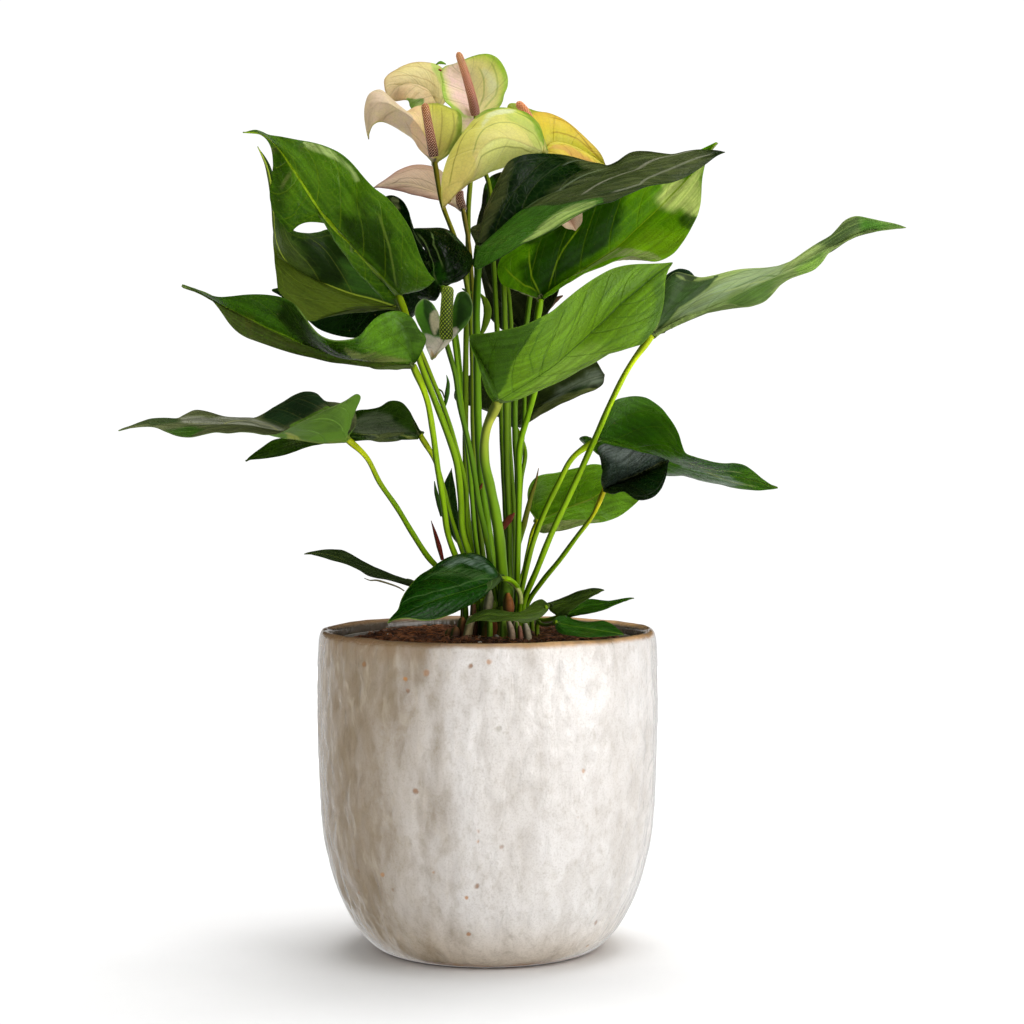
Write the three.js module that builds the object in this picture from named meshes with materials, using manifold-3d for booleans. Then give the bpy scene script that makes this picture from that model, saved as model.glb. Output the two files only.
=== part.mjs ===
// Flamingo flower in a glazed pot. Millimetres, +Z up.
// Origin: centre of the flat underside of the pot. The broad front of the plant faces -Y.
import * as THREE from 'three';
import { mergeVertices, mergeGeometries } from 'three/addons/utils/BufferGeometryUtils.js';
import Module from 'manifold-3d';

const wasm = await Module();
wasm.setup();

// ---- driving dimensions -------------------------------------------------
const POT_SEGMENTS = 48;            // facets round the glazed pot
const POT_HEIGHT = 159.6;           // foot to rim
const POT_PROFILE = [               // radius, height: outside up, over the rim, down the inside
  [0, 0], [50, 0], [54.6, 0.9], [58.4, 3.2], [62, 6.6], [66.4, 12], [71.6, 21], [76, 31.5], [79.4, 43.5],
  [82.9, 62], [84.7, 93], [85.2, 124], [84.6, 150], [84, 156.2], [82.9, 158.9], [81.4, POT_HEIGHT],
  [79.8, 159], [78.8, 156.8], [78.9, 150], [79.6, 124], [79.1, 93], [77.4, 62], [73.8, 45.5], [67.5, 27],
  [59.5, 12.5], [53, 7], [0, 7],
];
const LINER_SEGMENTS = 40;
const LINER_FLOOR_Z = 7.4;          // underside of the nursery pot, just above the pot floor
const LINER_BOTTOM_R = 50;
const LINER_TOP_R = 72.4;           // outside radius under the lip
const LINER_LIP_R = 74.6;
const LINER_LIP_Z = 150;            // underside of the lip
const LINER_TOP_Z = 154.6;
const LINER_WALL = 1.2;
const DRAIN_HOLES = 6;
const DRAIN_HOLE_R = 4;
const DRAIN_RING_R = 33;
const SOIL_GAP = 0.35;              // clearance between soil and liner
const SOIL_EDGE_Z = 150.4;
const SOIL_CENTRE_Z = 153.6;
const CROWN_CENTRE = [4.75, -1.6];
const CROWN_RADII = [24, 23];
const CROWN_BASE_Z = 153.95;
const CROWN_RISE = 10.5;
const LEAF_THICKNESS = 1.5;
const SPATHE_THICKNESS = 1.3;
const HALF_BLADE_COLUMNS = 3;
const STALK_SIDES = 6;
const STALK_STEP = 9;               // length of one facet along a stalk
const JOINT_GAP = 0.35;             // clearance between touching nodes

// ---- routes and outlines ------------------------------------------------
// A blade is a midrib with two margins. Each margin runs from the notch where
// the stalk joins, round the basal lobe and along to the drip tip.
const BLADES = {
  leaf_upper_left: { kind: 'leaf', rows: 9, fan: [0.25, 0.25],
    midrib: [[-41.8,-60,323.5],[-54.4,-63.1,336.3],[-66.7,-64.4,349.5],[-78.6,-64,363.1],[-88.6,-61.8,378.6],[-99.2,-57.8,394],[-115.9,-52,400.9]],
    marginA: [[-40.3,-60,325],[-30,-67.8,330.1],[-26.8,-79.9,333],[-31.7,-81.9,343.4],[-35.9,-81,354.3],[-42.9,-78.3,364],[-51.8,-78,371.5],[-60.4,-64.5,381.7],[-69,-63.9,389.7],[-80.1,-62.5,394.3],[-91.2,-67.5,396],[-103.4,-62.9,398.3],[-115.9,-52,400.9]],
    marginB: [[-42.7,-59.8,321.7],[-52.2,-58.1,324.5],[-59.1,-57.9,332.9],[-65.2,-56.9,342.1],[-70.8,-58.4,351.3],[-79.4,-60,356.6],[-89.7,-61.3,354.6],[-97,-61.8,357.1],[-101.8,-61.5,366.7],[-101.2,-60.9,377.5],[-100.4,-54.9,388.9],[-105.1,-53.1,398.6],[-115.9,-52,400.9]] },
  leaf_upper_left_back: { kind: 'leaf', rows: 9, fan: [0.25, 0.25],
    midrib: [[-42.7,-24,318.7],[-62,-20.1,324.3],[-81.1,-17.1,331],[-98.3,-15,341.4],[-104.2,-13.8,360.2],[-106,-13.4,380.1],[-112.9,-14,398.6]],
    marginA: [[-41.5,-24,321.1],[-43.3,-31.8,331.9],[-50.7,-24,341.7],[-59.9,-22.9,349.2],[-70.3,-20.3,355.4],[-81.8,-17.9,357.4],[-92.9,-25.3,356.5],[-101,-19.9,365.1],[-103.4,-14.4,377.3],[-106.6,-13.5,388.8],[-112.9,-14,398.6]],
    marginB: [[-43.5,-24,317.2],[-57.2,-24,318.5],[-70.8,-24,316.8],[-83.9,-22.9,312.5],[-95.2,-20.3,319.4],[-103.1,-17.9,330.5],[-105.2,-10.8,344.6],[-106.1,-6.4,358.8],[-107,-8.1,372.5],[-108.9,-11.3,385.9],[-112.9,-14,398.6]] },
  leaf_hidden_left: { kind: 'leaf', rows: 8, fan: [0.25, 0.25],
    midrib: [[-29.2,16,343.8],[-42.8,18.3,343.8],[-56.2,19.3,341.2],[-69.3,19,337.4],[-82.4,17.3,333.9],[-95.4,14.3,331],[-108.4,10,328.8]],
    marginA: [[-28.7,16,346.3],[-35.7,4.5,354.3],[-38.5,1.9,365.2],[-44.9,16.8,376.3],[-55.5,13.3,374.4],[-64.4,4.7,366.7],[-72.6,3.3,358.5],[-80.9,4.5,350.3],[-89.2,6.1,342.2],[-98.2,7.9,334.7],[-108.4,10,328.8]],
    marginB: [[-28.2,16,340.7],[-29.7,25.7,330.5],[-34.5,27.9,320.8],[-41.9,16.8,312.7],[-51.7,18.2,307.7],[-62.4,19.2,305.7],[-73.3,19.3,306.2],[-83.8,18.6,309.1],[-92.3,16.8,315.5],[-100.1,14,322.7],[-108.4,10,328.8]] },
  leaf_middle_left: { kind: 'leaf', rows: 9, fan: [0.25, 0.25],
    midrib: [[-34.2,-72,289.4],[-53.2,-78.7,290.6],[-71.7,-84,294.3],[-89.4,-88,300.5],[-106.3,-90.7,308.8],[-123,-92,317.6],[-140.1,-92,325.5]],
    marginA: [[-33.7,-72,291.1],[-27.7,-78,301.5],[-34.3,-81.6,311.5],[-45.7,-81.4,314.1],[-54.3,-99.9,306.3],[-63.4,-108.8,299.7],[-74.7,-110.3,302.1],[-82.6,-107.5,311.3],[-92.1,-100.3,319.4],[-104.1,-98.8,321.4],[-115.9,-100.7,320.2],[-128,-97.9,321.5],[-140.1,-92,325.5]],
    marginB: [[-35.6,-72,287.8],[-45.5,-72,288.1],[-55.3,-72,289.2],[-65.1,-72,290.9],[-74.4,-75.4,293.2],[-83.6,-79,295.8],[-92.8,-82.5,298],[-102.2,-85.6,299.1],[-111.1,-88.2,302.2],[-118.3,-90.2,308.3],[-123.7,-91.5,316.1],[-131.2,-92.1,321.8],[-140.1,-92,325.5]] },
  leaf_low_left: { kind: 'leaf', rows: 9, fan: [0.25, 0.25],
    midrib: [[-65.1,-88,255.8],[-83,-82.8,256.1],[-100.9,-78.4,259.4],[-119,-75,261.9],[-137.4,-72.4,262.7],[-155.7,-70.8,263.2],[-173.4,-70,259.5]],
    marginA: [[-63.7,-88,257.4],[-60.8,-79.3,266.9],[-70.5,-67.4,272.3],[-80,-68.3,276.6],[-91.2,-63.3,275.8],[-101.5,-53.6,269.9],[-111.9,-49.6,264.7],[-123.1,-50.1,265],[-133.6,-52.7,267.8],[-143.8,-55.7,266.6],[-153.6,-59.4,264.8],[-163.8,-64.4,263],[-173.4,-70,259.5]],
    marginB: [[-64.9,-88,258.3],[-59.9,-91.8,268.9],[-59.6,-97.8,275.8],[-68.4,-112.3,269.9],[-78.7,-113.8,265.3],[-88.8,-113,259.9],[-100,-108.8,257.2],[-111.9,-102.9,258.6],[-124.2,-96.1,258.3],[-136.6,-88.2,256.1],[-148.7,-81.7,258.3],[-160.8,-75.9,260.9],[-173.4,-70,259.5]] },
  leaf_low_left_back: { kind: 'leaf', rows: 8, fan: [0.25, 0.25],
    midrib: [[-32.4,-34,256.7],[-46.9,-35,256.1],[-61.3,-36,257.4],[-75.6,-37,256.3],[-89.8,-38,253.9],[-103.5,-39,249.5],[-116.9,-40,244.4]],
    marginA: [[-32.9,-34,259.1],[-36.7,-26.9,266.6],[-42.3,-21.5,272.8],[-50.4,-20.1,272.1],[-58.4,-15.7,269.4],[-66.6,-14.2,267.4],[-73.9,-13.2,263.4],[-81.8,-15.4,260.7],[-89.5,-19.5,258.4],[-97.1,-24.4,256.2],[-104.6,-30.2,254],[-110.9,-35.3,249.4],[-116.9,-40,244.4]],
    marginB: [[-33.4,-34,254.5],[-40.3,-38.7,254.2],[-47.4,-39.3,254.5],[-54.8,-34,254.9],[-61.9,-34.5,255.6],[-69,-35.1,255.5],[-75.1,-42.2,252.9],[-82.2,-42.1,251.8],[-89.1,-42,250.2],[-96,-37.8,247.4],[-102.9,-38.5,245.9],[-109.9,-39.2,245],[-116.9,-40,244.4]] },
  leaf_centre_curled: { kind: 'leaf', rows: 8, fan: [0.25, 0.25],
    midrib: [[-21.1,-52,327.8],[-19.9,-53.3,333.5],[-20,-54,339.3],[-22,-54,344.8],[-25.3,-53.3,349.7],[-29.8,-52,353.5],[-35.5,-50,355.5]],
    marginA: [[-18.8,-51.5,328],[-13.9,-41.4,330.9],[-9.5,-34.8,334.4],[-7,-33.6,339.4],[-7.6,-33,344.7],[-11.3,-33.2,348.9],[-14.8,-36,353],[-19.3,-39.5,355.8],[-24.7,-42.7,356.4],[-30.1,-46.3,355.9],[-35.5,-50,355.5]],
    marginB: [[-22.6,-51.5,325.9],[-24,-46.5,321.2],[-29.3,-41.9,321.8],[-33.8,-44.7,323.7],[-30.6,-40.7,327.9],[-27.5,-40.6,332.1],[-26.8,-42.2,337.2],[-28.1,-44.9,342.1],[-30.3,-48.4,346.6],[-32.7,-51.1,350.9],[-35.5,-50,355.5]] },
  leaf_top_right: { kind: 'leaf', rows: 10, fan: [0.25, 0.25],
    midrib: [[-3.4,-57,346.4],[12.4,-57.1,360.6],[30.7,-55.4,371.5],[51.3,-52,378.1],[72.3,-46.8,384.3],[93.8,-39.8,389.6],[116,-31,394.2]],
    marginA: [[-5.3,-56.7,348.8],[-2.2,-45.6,358.8],[4.4,-39.7,370.1],[7.7,-53.2,381.2],[16.3,-53.3,389.6],[29.2,-37.8,392.2],[42.2,-30.1,391.4],[54.9,-27.6,388.4],[66.7,-28.5,389.1],[77.2,-30.8,394.3],[90.2,-30.9,392.8],[102.9,-32.1,394.8],[116,-31,394.2]],
    marginB: [[-4.4,-57,344.1],[-4.2,-65.8,335.1],[6.6,-79.9,339.2],[16.5,-79.9,345.5],[27.2,-80.2,350.4],[37.7,-78.2,355.8],[47.7,-75.6,362.3],[59.1,-70.7,366.2],[70.2,-65,371.4],[82,-55.9,375.9],[94.5,-43.5,379.9],[105.3,-37.8,386.8],[116,-31,394.2]] },
  leaf_bright_back: { kind: 'leaf', rows: 10, fan: [0.25, 0.25],
    midrib: [[26.2,-17.2,323.4],[42.3,-10.3,335.1],[59,-4.3,346.1],[74.3,0.8,359.1],[88.7,5,373.2],[102.5,8.3,388],[115.2,10.8,403.7]],
    marginA: [[28,-17.2,323.4],[36.9,-25.2,328.9],[45.9,-27.7,334.5],[56.2,-17.2,339.4],[66.5,-13.8,343.6],[77.2,-9.9,343.5],[88.1,-6.1,344],[96.5,-2.4,351.4],[102.4,1,361],[106.4,4.1,371.6],[107,1.8,382.4],[109,4.4,393.5],[115.2,10.8,403.7]],
    marginB: [[24.5,-17.2,324.4],[12.8,-17.2,328.4],[5.1,-17.2,336.9],[11.3,-17.2,347.2],[22.3,-13.8,354.1],[33.7,-9.9,360.4],[44.4,-6.1,368.1],[54.9,-2.4,376],[66.5,1,382.5],[78.8,4.1,387.4],[91.3,6.7,392],[103.2,9,397.9],[115.2,10.8,403.7]] },
  leaf_front: { kind: 'leaf', rows: 10, fan: [0.25, 0.25],
    midrib: [[5.8,-88,272.2],[20.6,-89.8,281.2],[34.8,-89.8,291.1],[47.6,-88,302.9],[60.1,-84.4,315.2],[73.6,-79.1,326.8],[87.9,-72,337.8]],
    marginA: [[3.9,-88,271.7],[-1.1,-97.8,281.5],[-4.2,-103.1,292.2],[-7.2,-88,303],[4.3,-108.8,303.9],[15.3,-115.4,305.6],[25.4,-114.7,310.1],[34.7,-110.1,316.6],[43.7,-101.3,324.1],[53.5,-88,331.2],[64.4,-82,335.6],[76.1,-77.6,336.7],[87.9,-72,337.8]],
    marginB: [[7.2,-87.8,271],[15.6,-77,275.6],[24.2,-68.6,280.1],[32.8,-75.1,283.8],[42,-72,286.8],[50.4,-70.9,291.5],[58.8,-72.6,295.9],[67.5,-81.1,298.2],[75.4,-84.9,302],[80.6,-82.9,309.9],[83,-80.3,319.2],[83.9,-76.8,328.9],[87.9,-72,337.8]] },
  leaf_long_right: { kind: 'leaf', rows: 11, fan: [0.25, 0.25],
    midrib: [[79.8,-40,304.7],[100.5,-33.3,314.7],[121.6,-28,324.1],[142.2,-24,334.7],[163.1,-21.3,344.6],[183.2,-20,355.6],[205.7,-20,358.4]],
    marginA: [[79.3,-40,306.8],[83,-32.1,319.5],[86.8,-34.8,331.5],[97.3,-40,334.1],[111.5,-18.2,335.1],[124.8,-11.5,338.3],[138.3,-6.7,339.7],[151.2,-5.5,342.8],[162.2,-7.4,349],[171.7,-12.6,356.8],[180.3,-20.5,363.8],[193.6,-17.3,361.8],[205.7,-20,358.4]],
    marginB: [[81.2,-40,303.2],[90.8,-42.7,308.9],[101.4,-40,313.8],[111.9,-40,318.6],[123.2,-36.6,318.7],[134.7,-33,321.1],[143,-29.5,329.7],[153.8,-26.4,334.7],[163.8,-23.8,340.9],[172.2,-21.8,349],[182.7,-20.5,354.6],[194.2,-19.9,356.8],[205.7,-20,358.4]] },
  leaf_hidden_behind_front: { kind: 'leaf', rows: 8, fan: [0.25, 0.25],
    midrib: [[13.3,50.2,261.5],[20.2,46.9,267.3],[27.6,43.6,272.5],[35.3,40.2,277],[43.1,36.9,281.3],[51.1,33.6,285.1],[59.6,30.2,287.1]],
    marginA: [[10.7,50.2,262.5],[0.7,40.2,270.3],[-11.9,39.9,271.9],[-17.8,49.3,281],[-7.3,41.2,288.3],[4.5,32.1,293.1],[16.4,32.7,297.4],[28.7,39.1,301],[41.2,36.2,302.5],[52.7,33.3,297.6],[59.6,30.2,287.1]],
    marginB: [[16.4,50.2,259.9],[21,42,262.7],[25.5,36.8,265.6],[30,34.5,268.4],[34.6,31,270.9],[39.3,29.3,273.2],[44.1,29,275.5],[49,29.9,277.6],[54.2,34.4,279.4],[58.7,33.3,282],[59.6,30.2,287.1]] },
  leaf_lower_right: { kind: 'leaf', rows: 9, fan: [0.25, 0.25],
    midrib: [[54.2,-2,254],[69.7,2.2,250.5],[85,5.6,245.9],[100,8,240.4],[115.5,9.6,236.7],[131.2,10.2,233.8],[146.4,10,229.2]],
    marginA: [[54.7,-2,256],[59,-8.1,265.1],[63.9,-7,273.8],[73.9,-2,276],[83.5,0.1,272.7],[89.7,-13.5,265.5],[94.3,-17.4,256.7],[97.8,-16.9,247.5],[107.8,-11.2,244.3],[118.2,-4.9,242.1],[128.9,2.6,241.2],[137.3,5.7,234.9],[146.4,10,229.2]],
    marginB: [[52.7,-1.8,253],[45.9,6.6,254.6],[53.9,19.2,248.5],[62.2,21.6,243.4],[71.3,24.9,239.5],[80.9,27.1,236.8],[90.6,28.2,235.4],[100.4,28.4,235.4],[109.6,26.3,232.6],[119,23.2,231.1],[128,18.5,228.9],[137.1,12.9,228.3],[146.4,10,229.2]] },
  leaf_lower_right_cup: { kind: 'leaf', rows: 8, fan: [0.25, 0.25],
    midrib: [[57.3,-30,230.1],[62.7,-27.7,232],[68,-26.7,234.1],[73.1,-27,236.6],[78.2,-28.7,239.1],[83.1,-31.7,241.6],[87.9,-36,244.1]],
    marginA: [[56.6,-30,231.8],[55.9,-42.7,237.5],[55,-51.3,243.1],[53.5,-51.7,248.3],[55.9,-48.4,252.4],[61.2,-47.9,251.6],[66.6,-45.9,250.4],[72,-42.9,249.1],[77.5,-39.7,247.8],[82.9,-37,246.4],[87.9,-36,244.1]],
    marginB: [[59.1,-30,229.3],[62.9,-41,229.8],[66.7,-48.9,229.3],[70.3,-50.5,227.1],[74.1,-48.9,225.4],[78.4,-45.9,226.4],[82.5,-41.7,228.2],[85,-38.6,231.6],[86.8,-36.2,235.6],[87.7,-35.2,239.8],[87.9,-36,244.1]] },
  leaf_low_right_back: { kind: 'leaf', rows: 8, fan: [0.25, 0.25],
    midrib: [[25.6,28.5,212.9],[34.2,26.8,216.8],[43,25.2,220.4],[51.8,23.5,223.9],[60.2,21.8,227.9],[69.5,20.2,228.7],[77.8,18.5,224.4]],
    marginA: [[24.3,28.7,214.4],[20.5,39.7,221.2],[21,45.9,229.5],[26.9,46.8,235.5],[35.4,48.3,236.7],[43.7,45.6,238.6],[51.7,39,241],[59.9,33.9,240.4],[67.4,30.5,236.8],[73.4,25.3,231.2],[77.8,18.5,224.4]],
    marginB: [[24.5,28.5,210.8],[27.2,21,206.5],[33.2,14.9,207.5],[39.2,13.4,208.7],[45.1,12.1,210.2],[51,12.3,211.9],[57.2,16.1,212],[63.4,22.9,213.4],[68.8,21.5,216.2],[73.5,20,220],[77.8,18.5,224.4]] },
  leaf_low_front: { kind: 'leaf', rows: 8, fan: [0.25, 0.25],
    midrib: [[6.8,-46,187.9],[-2.3,-57.7,185.2],[-11.3,-68,183],[-20.3,-77,180.9],[-29,-84.7,178.2],[-37.4,-91,174.9],[-45.4,-96,170.8]],
    marginA: [[6.5,-45.8,189.6],[1.5,-34.4,194.4],[-4.6,-27.8,198.2],[-11.9,-30.2,199],[-18.8,-37.7,197.4],[-24.9,-46.4,194.1],[-30.6,-56.8,190.7],[-35.5,-67.5,186.5],[-39,-77,181.1],[-41.2,-85.7,175.2],[-45.4,-96,170.8]],
    marginB: [[7.4,-46,186.7],[2.5,-54.7,183.7],[-2.1,-59,180.1],[-6.8,-62.4,176.7],[-11.9,-71.3,174.4],[-17.1,-78.4,172.5],[-22.7,-83.3,171.1],[-28.4,-87.4,170.7],[-34,-92.2,171.8],[-39.7,-95,172],[-45.4,-96,170.8]] },
  leaf_rim_left: { kind: 'leaf', rows: 8, fan: [0.25, 0.25],
    midrib: [[-34,3.3,181.2],[-43.7,3.8,183.9],[-53.4,3.5,187],[-63.1,2.3,190],[-72.2,0.2,194.2],[-81.5,-2.8,197.4],[-91.3,-6.7,197.8]],
    marginA: [[-35.5,3.3,183.2],[-43.6,15.5,183.6],[-51.2,17,185.3],[-58.6,20.7,187.8],[-65.6,20.4,191.2],[-70.7,16.7,196.7],[-77.6,10.4,198.8],[-84.6,2.9,198.7],[-91.3,-6.7,197.8]],
    marginB: [[-37,3.3,179.7],[-43.5,-5,182.4],[-50.6,-3.2,184.4],[-57.5,-7.2,186],[-63.7,-8.7,189.4],[-70.2,-8.4,192.4],[-77.3,-7.1,194.3],[-84.3,-5.9,196.4],[-91.3,-6.7,197.8]] },
  leaf_small_front: { kind: 'leaf', rows: 7, fan: [0.25, 0.25],
    midrib: [[28.5,-58.1,174.8],[22.2,-60.5,172.4],[15.7,-62.5,170.9],[8.9,-64.1,171],[2.3,-65.2,172.1],[-4.2,-65.9,170.7],[-10,-66.1,167.3]],
    marginA: [[29.4,-58.1,176.5],[24.6,-49.4,177.7],[20.2,-46.4,174.1],[15.3,-46.7,171.2],[9.6,-49.5,171.7],[4.2,-53.9,173.5],[-1.4,-58.3,173.3],[-6.5,-62.7,171.3],[-10,-66.1,167.3]],
    marginB: [[29.7,-58.1,173.4],[25.8,-64.9,170.3],[21,-64.9,168.2],[15.8,-69.9,168.6],[10.6,-72.6,169.8],[5.6,-72.6,168.8],[0.3,-70.9,169.3],[-4.9,-68.5,169],[-10,-66.1,167.3]] },
  leaf_small_right: { kind: 'leaf', rows: 6, fan: [0.25, 0.25],
    midrib: [[30.3,-29.3,173.1],[35,-28.7,173.8],[39.6,-28,174.9],[44,-27.3,176.4],[48.5,-26.7,178],[52.9,-26,179.5],[57.4,-25.3,181.1]],
    marginA: [[30.2,-29.3,174.8],[33.7,-21.4,175.4],[37.1,-19.2,176.5],[40.4,-17.4,177.8],[43.6,-17.5,179.2],[47,-18.7,180.3],[50.5,-20.9,181.1],[53.9,-23.3,181.5],[57.4,-25.3,181.1]],
    marginB: [[30.8,-29.3,170.6],[33.9,-36,168.8],[37.4,-38.6,169.1],[40.5,-40.6,171.6],[43.7,-39.9,173.8],[46.9,-37.5,175.9],[50.4,-33.9,177.7],[53.9,-29.7,179.4],[57.4,-25.3,181.1]] },
  leaf_small_right_back: { kind: 'leaf', rows: 6, fan: [0.25, 0.25],
    midrib: [[38.5,-12.2,167.3],[43.8,-11.2,169.9],[49.6,-10.2,171.4],[55.5,-9.2,172.1],[61.4,-8.2,173.3],[67.2,-7.2,174.6],[73.1,-6.2,175.8]],
    marginA: [[38.3,-12.2,169.1],[42.4,-3.4,170.7],[46.4,-1.4,173],[50.7,1.2,174.4],[55.3,2.3,173.9],[59.8,1.5,173.5],[64.3,-0.7,174.2],[68.6,-3.4,175.2],[73.1,-6.2,175.8]],
    marginB: [[40,-12.2,165.8],[44,-20.8,167.5],[48.1,-22.9,168.7],[52.2,-23.7,169.6],[56.4,-22.4,170.5],[60.5,-19.7,171.9],[64.6,-15.7,173.3],[68.8,-11,174.6],[73.1,-6.2,175.8]] },
  leaf_small_right_front: { kind: 'leaf', rows: 7, fan: [0.25, 0.25],
    midrib: [[33.3,-54.4,167.3],[38.7,-55.4,166.2],[44,-56.4,165.3],[49.4,-57.4,164.5],[54.8,-58.4,163.7],[60.2,-59.4,162.9],[65.6,-60.4,162.1]],
    marginA: [[33.1,-54.4,169.2],[37.3,-45.4,169.6],[41.7,-42.5,167.9],[46,-41.7,166.6],[50.4,-43.4,166.4],[54.8,-47.3,167.4],[58.9,-52,166.8],[62.4,-56.4,164.6],[65.6,-60.4,162.1]],
    marginB: [[32.8,-54.4,164.9],[35.4,-60.8,162.2],[39.6,-63,161.7],[43.9,-65.5,161.4],[48.1,-66.3,161.1],[52.5,-65.7,161.2],[56.8,-64.2,161.4],[61.2,-62.3,161.7],[65.6,-60.4,162.1]] },
  leaf_narrow_inner: { kind: 'leaf', rows: 6, fan: [0.25, 0.25],
    midrib: [[-11.8,26,197.1],[-14.4,25.3,203.9],[-16.7,24.7,210.9],[-18.5,24,217.9],[-19.7,23.3,225.1],[-19.6,22.7,232.4],[-18.6,22,239.6]],
    marginA: [[-13.6,26,197.1],[-16.3,30,202.1],[-19.7,26,206.9],[-22.6,25.5,211.9],[-24.3,24.9,217.5],[-24.4,24.2,223.3],[-23.2,24.7,228.9],[-21.2,23.8,234.4],[-18.6,22,239.6]],
    marginB: [[-10.5,26,198.1],[-12.5,20.9,203.2],[-13.9,25.5,208.1],[-14.8,20.3,213.5],[-15.5,18.9,218.8],[-16.1,19.4,224],[-16.7,21.2,229.2],[-17.6,22.8,234.4],[-18.6,22,239.6]] },
  leaf_hidden_behind_stalks: { kind: 'leaf', rows: 9, fan: [0.25, 0.25],
    midrib: [[16.1,32.6,309.6],[7,36.2,321.5],[-0.7,38.8,334.3],[-3.7,40.6,349],[-3.8,41.5,363.9],[-0.6,41.5,378.4],[6.1,40.6,391.6]],
    marginA: [[14,32.6,308.1],[5.5,35.9,311.9],[0.2,32.6,319.4],[-1.8,33.6,328.9],[-3.6,36,338.4],[-5.8,41.5,348.2],[-6.6,43.1,357.9],[-5.5,41.6,367.3],[-3.2,41.6,376.7],[-1.3,41.5,386],[6.1,40.6,391.6]],
    marginB: [[17.9,32.6,308.6],[26.5,19.6,313.5],[32.4,13.1,321.5],[36.1,18.3,331.4],[37.5,36,342.7],[36.7,38.1,353.3],[34,39.8,363.5],[29.4,41,372.9],[23.3,41.6,381.4],[15.7,41.5,388.7],[6.1,40.6,391.6]] },
  flower_1: { kind: 'spathe', rows: 7, fan: [0.25, 0.25],
    midrib: [[-25.9,44,425.8],[-28.5,44.6,431.1],[-32.1,44.2,435.3],[-37.5,43,437.1],[-43.1,40.9,436.8],[-48,37.9,433.5],[-50.6,34,428.1]],
    marginA: [[-23.8,44,425.8],[-20.3,53.3,434.2],[-21.2,53.7,442.4],[-26.6,55.1,448.7],[-34.7,56.7,450.4],[-42.8,53.7,448.6],[-49.7,47.6,443.8],[-53.4,38.3,436.3],[-50.6,34,428.1]],
    marginB: [[-28,44,423.8],[-30.9,33.9,422],[-34,30,421.6],[-37.3,30.4,422.2],[-39.8,32.8,424.3],[-41.1,33.2,427.2],[-44.5,37.1,427.8],[-47.8,38.3,427.5],[-50.6,34,428.1]] },
  flower_2: { kind: 'spathe', rows: 8, fan: [0.25, 0.25],
    midrib: [[-6.4,14,416.9],[-6.6,17.9,422.2],[-7.2,20.9,427.4],[-8.1,23,432.4],[-9.3,24.2,437.3],[-10.9,24.6,441.9],[-12.6,24,446.4]],
    marginA: [[-4.4,14,416.4],[0.9,21.1,419.2],[5.6,24.8,422.7],[7.3,25.9,428.1],[9,24.7,433.4],[9.6,20.1,438.2],[7.6,22.1,443.7],[3.7,23.5,448.1],[-1.7,24.4,449.4],[-7.3,24.5,448.5],[-12.6,24,446.4]],
    marginB: [[-7.4,14,414.4],[-9.7,7.8,408.3],[-14.2,2,407.1],[-16.3,-0.9,412.1],[-17.9,1.6,417.9],[-21.9,8.8,423.2],[-23.1,16.4,429.8],[-23.6,23.5,436.6],[-23.6,24.4,442.3],[-18.1,24.5,444.4],[-12.6,24,446.4]] },
  flower_3: { kind: 'spathe', rows: 8, fan: [0.25, 0.25],
    midrib: [[-25.5,-19.3,390.2],[-29.3,-17.3,400.2],[-34.5,-15.3,409.6],[-42.8,-13.3,416.3],[-52.5,-11.3,420.4],[-58.3,-9.3,412.8],[-59.1,-7.3,402.5]],
    marginA: [[-24.5,-19.3,390],[-18,-15.2,395.7],[-13.5,-19.3,402.6],[-12.1,-19.3,411],[-17.8,-18.3,416.5],[-26.5,-5.5,420.1],[-35.3,1.8,419.6],[-43.1,3,418],[-48.8,0.5,424.2],[-56,-2.7,427.2],[-60.5,-2.9,420.2],[-60.6,-5,411.3],[-59.1,-7.3,402.5]],
    marginB: [[-26.9,-19.3,390.7],[-30,-13.4,393.7],[-32.8,-7,397.1],[-34.5,-6,400.6],[-37,-2.4,404],[-39.9,-0.3,406.6],[-43.2,0.2,408.6],[-46.5,-0.7,410.2],[-49.8,-2,411.6],[-53.3,-7.1,411.2],[-56.3,-10.3,409.1],[-58,-8.8,405.9],[-59.1,-7.3,402.5]] },
  flower_4: { kind: 'spathe', rows: 9, fan: [0.25, 0.25],
    midrib: [[28.2,-34.4,392.7],[17.8,-40.4,396.9],[6.7,-45.1,398.9],[-2.7,-48.4,392.7],[-7.6,-50.4,382.3],[-13.5,-51.1,372.6],[-20.8,-50.4,364]],
    marginA: [[29.7,-34,394.4],[27.3,-24.6,403.2],[23.5,-16.6,411.3],[16.6,-17.2,415.4],[8.5,-17.1,416.9],[0.4,-18.3,416.1],[-6.1,-19.2,411.2],[-11.4,-22.9,404.6],[-15.9,-29.1,397.2],[-19.3,-37.7,389],[-21.1,-48.6,380.1],[-21.7,-49.7,372],[-20.8,-50.4,364]],
    marginB: [[27.2,-34.1,391.5],[22.6,-26,393],[17.9,-17.6,393.1],[13.2,-16,392],[8.7,-17.2,390],[4.7,-21.5,386.9],[0.7,-29.5,383.4],[-3.4,-39,380.2],[-7.5,-41.2,377.7],[-11.4,-42.4,375],[-15.3,-45.3,372],[-18.3,-48.4,368.1],[-20.8,-50.4,364]] },
  flower_5: { kind: 'spathe', rows: 7, fan: [0.25, 0.25],
    midrib: [[26.4,18,396.8],[30.1,22,402.8],[36.1,24.7,405.3],[42.6,26,403.8],[48.7,26,401],[54.4,24.7,397.4],[59.7,22,393.2]],
    marginA: [[23.9,18,398.8],[16.9,19.4,404.8],[11.8,18,412.2],[9.5,19.2,421.1],[16.6,21.8,423.6],[25.3,35.2,422],[34.2,36,420],[42.3,34.9,415.4],[49.2,32,408.8],[55.6,26.8,401.7],[59.7,22,393.2]],
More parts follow.
